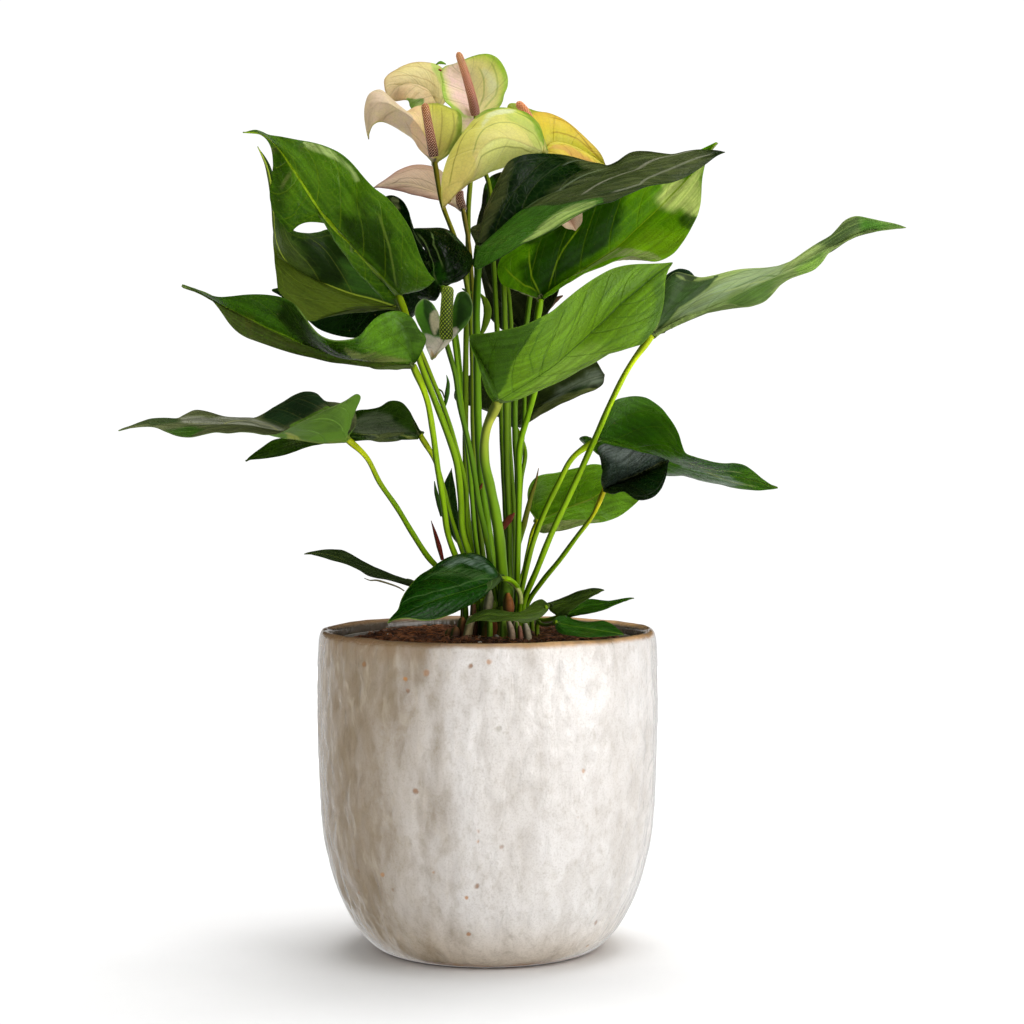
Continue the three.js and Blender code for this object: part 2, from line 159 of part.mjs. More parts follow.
    marginB: [[28.9,18,394.8],[31.8,10.1,393.1],[34.6,4,391.8],[37.7,3.7,391.4],[40.8,8,391.8],[44,13.3,392.2],[47.2,16.3,392.5],[50.4,19,392.9],[53.5,21.1,393.1],[56.7,22.3,393.2],[59.7,22,393.2]] },
  flower_6: { kind: 'spathe', rows: 7, fan: [0.25, 0.25],
    midrib: [[-12.2,2,369.2],[-18.5,1.4,374],[-25.6,0.4,377.6],[-33,-1,380.4],[-40.8,-2.9,381.8],[-48.6,-5.2,381],[-56.3,-8,379.1]],
    marginA: [[-11.7,2,371.2],[-14.9,13,378.8],[-19.1,14.2,385],[-24.4,15.1,390.2],[-31.2,13.8,392.4],[-38.4,10.8,391.7],[-45,6.4,388.8],[-50.7,0.2,383.9],[-56.3,-8,379.1]],
    marginB: [[-13.7,2,368.7],[-18.5,-5.8,370.5],[-23.6,-5.7,372.7],[-29,-8.4,373.7],[-34.4,-9.1,374.9],[-39.8,-8.5,376.3],[-45.3,-7,377.7],[-50.8,-6.8,378.6],[-56.3,-8,379.1]] },
  flower_7: { kind: 'spathe', rows: 6, fan: [0.25, 0.25],
    midrib: [[36,-9.7,368.6],[37.5,-10.7,366.9],[39,-11.7,365.2],[40.3,-12.7,363.3],[41.5,-13.7,361.3],[42.6,-14.7,359.3],[43.7,-15.7,357.3]],
    marginA: [[37.9,-9.7,371.1],[40.5,-13.2,371],[43.1,-14.5,370.7],[45.2,-15.4,369.1],[46.5,-15.8,366.8],[46.9,-15.5,364.2],[46.8,-13.4,361.8],[45.5,-14.5,359.4],[43.7,-15.7,357.3]],
    marginB: [[34.5,-9.7,366.2],[34.9,-14.5,364.1],[35.3,-16.7,362.2],[36.1,-18.2,360.6],[37.2,-18.5,359.2],[38.6,-18,358.2],[40.2,-17.3,357.7],[42,-16.5,357.5],[43.7,-15.7,357.3]] },
  flower_8: { kind: 'spathe', rows: 7, fan: [0.25, 0.25],
    midrib: [[-18.8,-68,300.6],[-20,-69,299.3],[-21.3,-70,298],[-22.4,-71,296.7],[-23.5,-72,295.3],[-24.5,-73,293.9],[-25.5,-74,292.4]],
    marginA: [[-20,-68,302],[-21.7,-68,308.5],[-23.4,-68,315.1],[-27.4,-68.8,320.3],[-32.8,-69.7,317.8],[-33.1,-70.7,311.2],[-30.2,-71.8,305.1],[-28.4,-72.9,298.6],[-25.5,-74,292.4]],
    marginB: [[-17.4,-68,301.7],[-14.5,-68,309.7],[-13.4,-68,318.1],[-10.5,-68.8,325.6],[-6.1,-69.7,318.5],[-7.4,-70.7,310.2],[-12.9,-71.8,303.8],[-19.1,-72.9,298],[-25.5,-74,292.4]] },
};
const STALKS = {
  leaf_upper_left: { radii: [1.7, 2.0], path: [[-41.8,-60,323.5],[-36.3,-55,308],[-31.8,-50.1,291.9],[-25.9,-45.3,276.1],[-20,-40.5,260.2],[-14.8,-35.8,243.8],[-12.8,-31.2,226.7],[-11.9,-26.7,209.3],[-6.9,-22.3,192.4],[-2.7,-17.9,175.2],[-2.7,-17.9,159.5]] },
  leaf_upper_left_back: { radii: [1.6, 1.9], path: [[-42.7,-24,318.7],[-34.4,-21.5,301.9],[-27.1,-18.9,284.5],[-20.3,-16.4,266.9],[-14.9,-14,248.6],[-10.7,-11.6,230],[-10,-9.2,210.8],[-5.2,-6.8,192.1],[-0.7,-4.8,173.2],[-0.7,-4.8,165.1]] },
  leaf_middle_left: { radii: [1.7, 2.0], path: [[-34.2,-72,289.4],[-28.3,-63.4,274.5],[-25.5,-55,258.2],[-23.6,-46.7,241.6],[-21.1,-38.6,224.8],[-18.9,-30.7,207.8],[-13.1,-23,191.4],[-6.7,-15.4,175],[-6.7,-15.4,159.7]] },
  leaf_low_left: { radii: [1.7, 2.0], path: [[-65.1,-88,255.8],[-56,-77.1,246.6],[-50.2,-66.4,234.2],[-42.7,-55.9,222.3],[-35.8,-45.6,209.7],[-28.3,-35.6,197.2],[-18.8,-25.8,186.1],[-11.3,-16.1,173.1],[-11.3,-16.1,156.9]] },
  leaf_low_left_back: { radii: [1.5, 1.8], path: [[-32.4,-34,256.7],[-25.4,-29.7,244.5],[-21.2,-25.4,230.5],[-17.7,-21.3,216.1],[-13.3,-17.3,201.9],[-8.4,-13.4,187.8],[-4.8,-9.5,173.1],[-4.8,-9.5,162.9]] },
  leaf_centre_curled: { radii: [1.5, 1.8], path: [[-21.1,-52,327.8],[-16.9,-47.4,311.8],[-14.7,-42.9,295.3],[-13,-38.4,278.5],[-11.1,-34,261.5],[-9,-29.7,244.5],[-7.5,-25.5,227.2],[-6.2,-21.4,209.8],[-4.1,-17.3,192.4],[-1.5,-13.2,174.8],[-1.5,-13.2,162.4]] },
  leaf_top_right: { radii: [2.3, 2.5], path: [[-3.4,-57,346.4],[-4.2,-51.7,330],[-4.8,-46.6,313.5],[-4.7,-41.6,296.7],[-4.6,-36.9,279.8],[-4.3,-32.4,262.8],[-3.4,-28.2,245.6],[-2,-24.1,228.3],[0.4,-20.2,211],[2.5,-16.4,193.5],[4.1,-12.6,175.8],[4.1,-12.6,163.4]] },
  leaf_bright_back: { radii: [1.7, 2.0], path: [[26.2,-17.2,323.4],[23.8,-14.7,305.4],[25.1,-12.9,286.9],[21,-11.8,268.9],[16,-11.1,251],[15.7,-10.6,232.3],[15.5,-10.2,213.6],[15.1,-9.7,194.9],[14.7,-4.7,175.7],[14.7,-4.7,163.8]] },
  leaf_front: { radii: [1.9, 2.1], path: [[5.8,-88,272.2],[0.3,-77.1,259.8],[-0.8,-66.4,246.2],[1.8,-55.9,232.4],[4.4,-45.8,218.3],[6.3,-35.9,203.9],[7.3,-26.2,189.1],[8.2,-16.2,174.1],[8.2,-16.2,161.4]] },
  leaf_long_right: { radii: [1.8, 2.1], path: [[79.8,-40,304.7],[69.4,-36.1,290.3],[61.2,-32.3,274.3],[54,-28.5,257.7],[46.7,-24.8,241],[39.1,-21.3,224.3],[31.5,-17.8,207.5],[24.7,-14.3,190.2],[17.9,-10.7,172.7],[17.9,-10.7,161]] },
  leaf_hidden_behind_front: { radii: [1.5, 1.8], path: [[13.3,50.2,261.5],[19,43.4,247.9],[16.9,37.1,232.9],[16.1,31.2,217.9],[15.2,25.8,203.1],[13.9,20.6,188.3],[12.3,15.2,173.8],[12.3,15.2,159.2]] },
  leaf_lower_right: { radii: [1.7, 2.0], path: [[54.2,-2,254],[42.5,-1.7,245.2],[35.1,-1.4,231.6],[28.4,-1.1,217.7],[22.9,-0.8,203.2],[19.1,-0.5,188.2],[16.2,-0.2,172.9],[16.2,-0.2,163.4]] },
  leaf_lower_right_cup: { radii: [1.5, 1.8], path: [[57.3,-30,230.1],[51.9,-25,217.5],[43.8,-20,206.2],[35.7,-15.1,194.7],[27,-10.3,183.5],[19.5,-6.4,171.4],[19.5,-6.4,161.4]] },
  leaf_low_right_back: { radii: [1.4, 1.7], path: [[25.6,28.5,212.9],[22.3,28.4,205],[20.3,24.1,196.9],[18.6,19,188.8],[16.2,14.1,181],[13.8,9.5,173.2],[13.8,9.5,161.9]] },
  leaf_low_front: { radii: [1.4, 1.7], path: [[6.8,-46,187.9],[10.9,-39.4,186.7],[14.2,-32.9,183.8],[16,-26.7,179.5],[16.2,-20.6,174.8],[15.9,-14.7,170],[15.9,-14.7,160.1]] },
  leaf_rim_left: { radii: [1.2, 1.5], path: [[-34,3.3,181.2],[-29.3,4.9,180],[-24.7,4.4,178.6],[-20.2,3.5,176.8],[-16.4,2.6,173.9],[-12.8,1.7,170.7],[-12.8,1.7,160]] },
  leaf_small_front: { radii: [1.2, 1.4], path: [[28.5,-58.1,174.8],[27.3,-49,172.3],[25.8,-40.4,170],[24.1,-32.1,168],[22,-24,167.3],[19.8,-16,167.1],[19.8,-16,157.6]] },
  leaf_small_right: { radii: [1.1, 1.4], path: [[30.3,-29.3,173.1],[28.7,-23.4,171.8],[27.2,-19.9,170.7],[25.7,-16.4,169.3],[24,-12.8,168.3],[22.3,-9.1,168.6],[22.3,-9.1,159.1]] },
  leaf_small_right_back: { radii: [1.1, 1.4], path: [[38.5,-12.2,167.3],[35.3,-8.6,166],[32,-6.8,165],[28.6,-5.4,164.3],[25.2,-4.1,164.5],[21.8,-2.8,165.1],[21.8,-2.8,160.5]] },
  leaf_small_right_front: { radii: [1.1, 1.4], path: [[33.3,-54.4,167.3],[31.8,-44.7,165.8],[30.1,-36,164.5],[28.3,-28.2,163.7],[26.5,-20.9,163.5],[24.8,-14,163.5],[24.8,-14,155.5]] },
  leaf_narrow_inner: { radii: [1.1, 1.4], path: [[-11.8,26,197.1],[-9.9,22.2,191.5],[-7.4,18.4,186.1],[-4.7,14.8,180.9],[-2.3,11.3,175.6],[0.2,7.9,170.3],[0.2,7.9,163.6]] },
  leaf_hidden_behind_stalks: { radii: [1.5, 1.8], path: [[16.1,32.6,309.6],[17.5,28.5,292.7],[18.6,25.2,275.8],[18,22,258.9],[16.2,18.9,242.2],[14.5,15.8,225.6],[13.5,12.8,208.9],[11.2,9.7,192.5],[7.5,8,176.3],[7.5,8,163.8]] },
  leaf_hidden_left: { radii: [1.4, 1.8], path: [[-29.2,16,343.8],[-20.7,14.8,326.6],[-16.1,13.7,307.7],[-13.8,12.6,288.5],[-12.2,11.6,269.1],[-10.6,10.5,249.8],[-8.6,9.5,230.6],[-6.4,8.2,211.3],[-3.1,6.9,192.3],[1.3,4.2,173.6],[1.3,4.2,164.9]] },
  flower_1: { radii: [1.5, 1.8], path: [[-25.9,44,425.8],[-10.8,40.7,407.2],[0.1,37.4,386.3],[1.5,34.4,362.5],[3.1,31.3,338.8],[4.3,28.4,315.2],[5.7,25.6,291.7],[6.8,22.9,268.2],[7.7,20.3,244.8],[8.8,17.6,221.5],[9.8,15.1,198.2],[10,11.5,175.1],[10,11.5,161.9]] },
  flower_2: { radii: [1.6, 1.9], path: [[-6.4,14,416.9],[-7.6,12.9,394.8],[-9.5,11.8,372.7],[-9.9,10.7,350.6],[-10,9.6,328.5],[-10.8,8.5,306.5],[-11.1,7.4,284.4],[-11.1,6.4,262.3],[-11,5.3,240.2],[-10.3,4.5,218.2],[-7.4,3.7,196.3],[-3.3,3.9,174.6],[-3.3,3.9,164]] },
  flower_3: { radii: [1.5, 1.8], path: [[-25.5,-19.3,390.2],[-22.2,-18.9,370.9],[-15.6,-18.5,352.6],[-10.6,-18,333.6],[-8.1,-17.3,314.2],[-7.3,-16.4,294.5],[-7.1,-15.5,274.8],[-6.7,-14.4,255],[-5.8,-13.2,235.2],[-4.2,-11.9,215.3],[-2,-10.6,195.4],[0.6,-9,175.5],[0.6,-9,164.4]] },
  flower_4: { radii: [1.7, 2.0], path: [[28.2,-34.4,392.7],[21.2,-25.8,375],[12.8,-17.2,357.6],[8.4,-12.6,338.3],[8.5,-11.8,318.1],[9.1,-11.1,297.9],[9.3,-10.5,277.6],[9.4,-9.7,257.2],[9.8,-8.8,236.8],[10.7,-7.7,216.4],[11,-6.6,195.9],[11.2,-8.4,175.5],[11.2,-8.4,164.1]] },
  flower_5: { radii: [1.6, 1.9], path: [[26.4,18,396.8],[26.6,16.7,376.5],[24.7,15.5,356.4],[22.4,14.3,336.2],[20,13,316.2],[16.9,11.8,296.2],[13.9,10.6,276.2],[13.8,9.5,256.1],[15,8.3,235.9],[15.1,7.1,215.8],[14.5,6,195.7],[13.8,5,175.5],[13.8,5,163.4]] },
  flower_6: { radii: [1.4, 1.7], path: [[-12.2,2,369.2],[-9,1.8,350],[-7.6,1.6,330.6],[-6.9,1.4,311.1],[-6.5,1.3,291.5],[-5.7,1.1,272],[-4.9,0.9,252.4],[-3.6,0.7,232.9],[-1.5,0.6,213.4],[0.9,0.4,193.9],[2.8,0.2,174.4],[2.8,0.2,165.7]] },
  flower_7: { radii: [1.4, 1.7], path: [[36,-9.7,368.6],[16.1,-6.8,363.9],[7.3,-4.6,346.1],[10.6,-3,325.3],[11.8,-1.8,304.1],[10.8,-1,282.8],[10.5,-0.4,261.5],[11.7,-0.1,240.1],[13,0.2,218.8],[13.1,0.3,197.3],[11.8,0.4,175.9],[11.8,0.4,164.8]] },
  flower_8: { radii: [1.5, 1.8], path: [[-18.8,-68,300.6],[-14.8,-61.3,285.9],[-12.7,-54.8,270.6],[-9.1,-48.3,255.3],[-6.2,-41.9,239.7],[-4,-35.7,223.8],[-0.6,-29.5,207.9],[2,-23.5,191.7],[4,-17.9,175.2],[4,-17.9,160.5]] },
};
const SPADICES = {
  flower_2: { radii: [2.6, 1.7], path: [[-6,9,416.7],[-7.6,6.8,424.4],[-9.7,4.5,432],[-12,2.2,439.4],[-14.6,0,446.7]] },
  flower_3: { radii: [2.6, 1.9], path: [[-25.8,-24.3,392.3],[-26.9,-25.5,398.7],[-28,-26.8,405],[-29.1,-28,411.3],[-30.2,-29.3,417.6]] },
  flower_5: { radii: [2.6, 2.0], path: [[26.3,9,398.3],[24.2,10.2,405.1],[22,11.5,411.8],[19.3,12.8,418.4],[14.8,14,423.9]] },
  flower_6: { radii: [2.4, 1.8], path: [[-12.3,-4,369.1],[-13.1,-4,371.3],[-13.6,-4,373.5],[-13.7,-4,375.8],[-13.8,-4,378]] },
  flower_8: { radii: [3.2, 2.6], path: [[-18.4,-76,301.7],[-18.6,-77,307.8],[-18.3,-78,314],[-17.9,-79,320.1],[-17.5,-80,326.2]] },
};
// length of stalk left off where it meets its blade, where the usual clearance is not enough
const TRIM = {};

// ---- colours ------------------------------------------------------------
const material = (color, roughness, metalness = 0) =>
  new THREE.MeshStandardMaterial({ color, roughness, metalness });
const LOOK = {
  glaze: () => material(0xd7d0c3, 0.22),
  liner: () => material(0x8d8c88, 0.55),
  soil: () => material(0x46291a, 0.95),
  crown: () => material(0x6b5a2c, 0.8),
  leaf: () => material(0x2f6414, 0.35),
  leafDark: () => material(0x1a3f1a, 0.35),
  stalk: () => material(0x6f9a1c, 0.45),
  spadix: () => material(0xb0703c, 0.6),
};
const SPATHE_COLOURS = {
  flower_1: 0xd6b878, flower_2: 0xe0b8a4, flower_3: 0xd2b878, flower_4: 0xb9c45a,
  flower_5: 0xcfa83a, flower_6: 0xbca58c, flower_7: 0xd8a090, flower_8: 0x4f7a2c,
};
const DARK_LEAVES = ['leaf_upper_left_back', 'leaf_hidden_left', 'leaf_centre_curled', 'leaf_top_right',
  'leaf_hidden_behind_front', 'leaf_hidden_behind_stalks', 'leaf_lower_right_cup', 'leaf_low_front', 'leaf_narrow_inner', 'leaf_low_right_back'];
// small or mostly hidden leaves and flowers are one node with their stalk
const ONE_PIECE = ['leaf_hidden_left', 'leaf_centre_curled', 'leaf_hidden_behind_front', 'leaf_hidden_behind_stalks', 'leaf_rim_left',
  'leaf_small_front', 'leaf_small_right', 'leaf_small_right_back', 'leaf_small_right_front',
  'leaf_narrow_inner', 'flower_7'];

// ---- helpers ------------------------------------------------------------
const vec = ([x, y, z]) => new THREE.Vector3(x, y, z);
const curveOf = (points) => {
  const c = new THREE.CatmullRomCurve3(points.map(vec), false, 'catmullrom', 0.5);
  c.arcLengthDivisions = 400;
  return c;
};

// welds vertices and drops collapsed triangles
function weld(geometry) {
  const g = geometry.index ? geometry : mergeVertices(geometry);
  for (const name of Object.keys(g.attributes)) if (name !== 'position') g.deleteAttribute(name);
  const w = mergeVertices(g, 1e-4);
  const idx = w.index.array;
  const keep = [];
  for (let i = 0; i < idx.length; i += 3) {
    const [a, b, c] = [idx[i], idx[i + 1], idx[i + 2]];
    if (a !== b && b !== c && a !== c) keep.push(a, b, c);
  }
  w.setIndex(keep);
  return w;
}

function toSolid(geometry) {
  const g = weld(geometry);
  const mesh = new wasm.Mesh({
    numProp: 3,
    vertProperties: new Float32Array(g.attributes.position.array),
    triVerts: new Uint32Array(g.index.array),
  });
  mesh.merge();
  return new wasm.Manifold(mesh);
}

function toGeometry(solid) {
  const m = solid.getMesh();
  const g = new THREE.BufferGeometry();
  g.setAttribute('position', new THREE.BufferAttribute(new Float32Array(m.vertProperties), 3));
  g.setIndex(Array.from(m.triVerts));
  return g;
}

const join = (...parts) => toGeometry(wasm.Manifold.union(parts.map(toSolid)));

// A leaf or spathe blade: a box plate whose rows run from notch to tip and whose
// columns run from margin A over the midrib to margin B, bent onto the curves.
function bladeGeometry(blade, thickness) {
  const rows = blade.rows, cols = HALF_BLADE_COLUMNS;
  const mid = curveOf(blade.midrib);
  const margins = [curveOf(blade.marginA), curveOf(blade.marginB)];
  const station = (t, start) => Math.pow(Math.min(1, Math.max(0, (t - start) / (1 - start))), 1.15);
  const grid = [];
  for (let i = 0; i <= rows; i++) {
    const t = i / rows;
    const row = [];
    for (let j = -cols; j <= cols; j++) {
      const side = j < 0 ? 0 : 1;
      const m = mid.getPointAt(station(t, blade.fan[side]));
      if (i === 0) { row.push(mid.getPointAt(0)); continue; }
      if (i === rows) { row.push(mid.getPointAt(1)); continue; }
      if (j === 0) {
        const m2 = mid.getPointAt(station(t, blade.fan[0]));
        row.push(m.add(m2).multiplyScalar(0.5));
        continue;
      }
      const e = margins[side].getPointAt(t);
      row.push(m.lerp(e, Math.abs(j) / cols));
    }
    grid.push(row);
  }
  // surface normals
  const normal = (i, j) => {
    const ii = Math.min(rows - 1, Math.max(1, i));
    const a = new THREE.Vector3().subVectors(grid[Math.min(rows, ii + 1)][j], grid[ii - 1][j]);
    const j0 = Math.max(0, j - 1), j1 = Math.min(2 * cols, j + 1);
    const b = new THREE.Vector3().subVectors(grid[ii][j1], grid[ii][j0]);
    const n = new THREE.Vector3().crossVectors(a, b);
    return n.lengthSq() < 1e-9 ? new THREE.Vector3(0, -1, 0) : n.normalize();
  };
  const normals = grid.map((row, i) => row.map((_, j) => normal(i, j)));
  const endNormal = (i) => normals[i][cols].clone();
  for (let j = 0; j <= 2 * cols; j++) { normals[0][j] = endNormal(1); normals[rows][j] = endNormal(rows - 1); }
  const plate = new THREE.BoxGeometry(2 * cols, rows, 1, 2 * cols, rows, 1);
  const p = plate.attributes.position;
  for (let k = 0; k < p.count; k++) {
    const j = Math.round(p.getX(k) + cols), i = Math.round(p.getY(k) + rows / 2), w = p.getZ(k);
    const q = grid[i][j].clone().addScaledVector(normals[i][j], w * thickness * (w > 0 ? 1 : 1));
    p.setXYZ(k, q.x, q.y, q.z);
  }
  return outward(weld(plate));
}

// turns a closed mesh inside out if its volume is negative
function outward(g) {
  const p = g.attributes.position, idx = g.index.array;
  const a = new THREE.Vector3(), b = new THREE.Vector3(), c = new THREE.Vector3();
  let volume = 0;
  for (let i = 0; i < idx.length; i += 3) {
    a.fromBufferAttribute(p, idx[i]); b.fromBufferAttribute(p, idx[i + 1]); c.fromBufferAttribute(p, idx[i + 2]);
    volume += a.dot(b.cross(c)) / 6;
  }
  if (volume < 0) {
    const flipped = [];
    for (let i = 0; i < idx.length; i += 3) flipped.push(idx[i], idx[i + 2], idx[i + 1]);
    g.setIndex(flipped);
  }
  return g;
}

const ring = (radius, sides) => {
  const s = new THREE.Shape();
  for (let k = 0; k < sides; k++) {
    const a = (2 * Math.PI * k) / sides;
    if (k === 0) s.moveTo(radius * Math.cos(a), radius * Math.sin(a));
    else s.lineTo(radius * Math.cos(a), radius * Math.sin(a));
  }
  s.closePath();
  return s;
};

// a stalk: round section along a curve, starting `trim` mm along the route
function stalkGeometry(path, radius, trim = 0, sides = STALK_SIDES) {
  const whole = curveOf(path);
  const length = whole.getLength();
  const count = Math.max(3, Math.round((length - trim) / STALK_STEP));
  const points = [];
  for (let k = 0; k <= count; k++) {
    points.push(whole.getPointAt(Math.min(1, (trim + ((length - trim) * k) / count) / length)).toArray());
  }
  const route = curveOf(points);
  const g = new THREE.ExtrudeGeometry(ring(radius, sides), { steps: count, extrudePath: route, bevelEnabled: false, curveSegments: 1 });
  return outward(weld(g));
}

// a spadix: a tapered bar with rounded ends, turned and laid along its curve
function spadixGeometry(path, [r0, r1]) {
  const c = curveOf(path), length = c.getLength();
  const steps = 7, sides = 8;
  const g = new THREE.CylinderGeometry(1, 1, steps, sides, steps, false);
  const frames = c.computeFrenetFrames(steps, false);
  const p = g.attributes.position;
  for (let k = 0; k < p.count; k++) {
    const i = Math.round(p.getY(k) + steps / 2);
    const u = i / steps;
    const round = Math.sqrt(Math.max(0.12, Math.min(1, Math.min((u * length) / r0, ((1 - u) * length) / r1))));
    const r = (r0 + (r1 - r0) * u) * round;
    const q = c.getPointAt(u)
      .addScaledVector(frames.normals[i], p.getX(k) * r)
      .addScaledVector(frames.binormals[i], p.getZ(k) * r);
    p.setXYZ(k, q.x, q.y, q.z);
  }
  return outward(weld(g));
}

const lathe = (profile, segments) =>
  outward(weld(new THREE.LatheGeometry(profile.map(([r, z]) => new THREE.Vector2(r, z)), segments).rotateX(Math.PI / 2)));

// ---- container and soil -------------------------------------------------
const object = new THREE.Group();
const add = (name, geometry, look) => {
  geometry.computeVertexNormals();
  const mesh = new THREE.Mesh(geometry, look);
  mesh.name = name;
  object.add(mesh);
  return mesh;
};

add('glazed_pot', lathe(POT_PROFILE, POT_SEGMENTS), LOOK.glaze());

const linerOuter = (z) => LINER_BOTTOM_R + ((LINER_TOP_R - LINER_BOTTOM_R) * (z - LINER_FLOOR_Z)) / (LINER_LIP_Z - LINER_FLOOR_Z);
const linerShell = lathe([
  [0, LINER_FLOOR_Z], [LINER_BOTTOM_R, LINER_FLOOR_Z], [LINER_TOP_R, LINER_LIP_Z], [LINER_LIP_R, LINER_LIP_Z + 0.6],
  [LINER_LIP_R, LINER_TOP_Z], [linerOuter(LINER_TOP_Z) - LINER_WALL, LINER_TOP_Z],
  [LINER_BOTTOM_R - LINER_WALL, LINER_FLOOR_Z + LINER_WALL], [0, LINER_FLOOR_Z + LINER_WALL],
], LINER_SEGMENTS);
let liner = toSolid(linerShell);
for (let k = 0; k < DRAIN_HOLES; k++) {
  const a = (2 * Math.PI * k) / DRAIN_HOLES;
  const drill = new THREE.CylinderGeometry(DRAIN_HOLE_R, DRAIN_HOLE_R, 6, 10).rotateX(Math.PI / 2)
    .translate(DRAIN_RING_R * Math.cos(a), DRAIN_RING_R * Math.sin(a), LINER_FLOOR_Z + LINER_WALL / 2);
  liner = liner.subtract(toSolid(drill));
}
add('nursery_pot', toGeometry(liner), LOOK.liner());

const soilRadius = (z) => linerOuter(z) - LINER_WALL / Math.cos(Math.atan((LINER_TOP_R - LINER_BOTTOM_R) / (LINER_LIP_Z - LINER_FLOOR_Z))) - SOIL_GAP;
const soilFloor = LINER_FLOOR_Z + LINER_WALL + SOIL_GAP;
add('potting_soil', lathe([
  [0, soilFloor], [soilRadius(soilFloor) - 0.6, soilFloor], [soilRadius(SOIL_EDGE_Z) - 0.6, SOIL_EDGE_Z],
  [60, SOIL_EDGE_Z + 0.9], [46, SOIL_CENTRE_Z - 0.9], [34, SOIL_CENTRE_Z], [0, SOIL_CENTRE_Z],
], 32), LOOK.soil());

const crownProfile = [[0, CROWN_BASE_Z], [0.98, CROWN_BASE_Z]];
for (let k = 1; k <= 5; k++) {
  const f = 1 - k / 5;
  crownProfile.push([f * 0.98, CROWN_BASE_Z + CROWN_RISE * (1 - f * f)]);
}
add('stem_base', outward(weld(
  new THREE.LatheGeometry(crownProfile.map(([r, z]) => new THREE.Vector2(r, z)), 20).rotateX(Math.PI / 2)
    .scale(CROWN_RADII[0], CROWN_RADII[1], 1).translate(CROWN_CENTRE[0], CROWN_CENTRE[1], 0))), LOOK.crown());

// ---- plant --------------------------------------------------------------
for (const [name, blade] of Object.entries(BLADES)) {
  const isLeaf = blade.kind === 'leaf';
  const stalk = STALKS[name];
  const radius = (stalk.radii[0] + stalk.radii[1]) / 2;
  const sheet = bladeGeometry(blade, isLeaf ? LEAF_THICKNESS : SPATHE_THICKNESS);
  const look = isLeaf ? (DARK_LEAVES.includes(name) ? LOOK.leafDark() : LOOK.leaf()) : material(SPATHE_COLOURS[name], 0.4);
  if (ONE_PIECE.includes(name)) {
    add(name, join(sheet, stalkGeometry(stalk.path, radius, -0)), look);
    continue;
  }
  const trim = TRIM[name] ?? (isLeaf ? LEAF_THICKNESS / 2 + radius + JOINT_GAP : SPATHE_THICKNESS / 2 + radius + JOINT_GAP);
  add(isLeaf ? `${name}_blade` : `${name}_spathe`, sheet, look);
  add(`${name}_stalk`, stalkGeometry(stalk.path, radius, trim), LOOK.stalk());
  if (SPADICES[name]) add(`${name}_spadix`, spadixGeometry(SPADICES[name].path, SPADICES[name].radii), LOOK.spadix());
}

export default object;
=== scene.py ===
import bpy, math
import numpy as np
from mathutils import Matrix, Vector, noise


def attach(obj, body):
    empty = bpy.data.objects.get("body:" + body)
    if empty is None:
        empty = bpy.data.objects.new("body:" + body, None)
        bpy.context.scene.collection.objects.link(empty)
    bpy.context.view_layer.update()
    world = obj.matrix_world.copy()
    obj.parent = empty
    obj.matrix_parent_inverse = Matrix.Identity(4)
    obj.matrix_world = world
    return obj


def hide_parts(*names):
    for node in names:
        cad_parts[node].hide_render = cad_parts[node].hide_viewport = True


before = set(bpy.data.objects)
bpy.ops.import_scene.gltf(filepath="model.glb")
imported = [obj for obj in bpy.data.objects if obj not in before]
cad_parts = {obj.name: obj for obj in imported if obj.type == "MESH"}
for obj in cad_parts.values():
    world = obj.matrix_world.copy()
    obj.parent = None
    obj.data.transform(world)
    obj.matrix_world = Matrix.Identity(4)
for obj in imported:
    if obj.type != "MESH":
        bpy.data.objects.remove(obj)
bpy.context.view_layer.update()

RNG = np.random.default_rng(41)

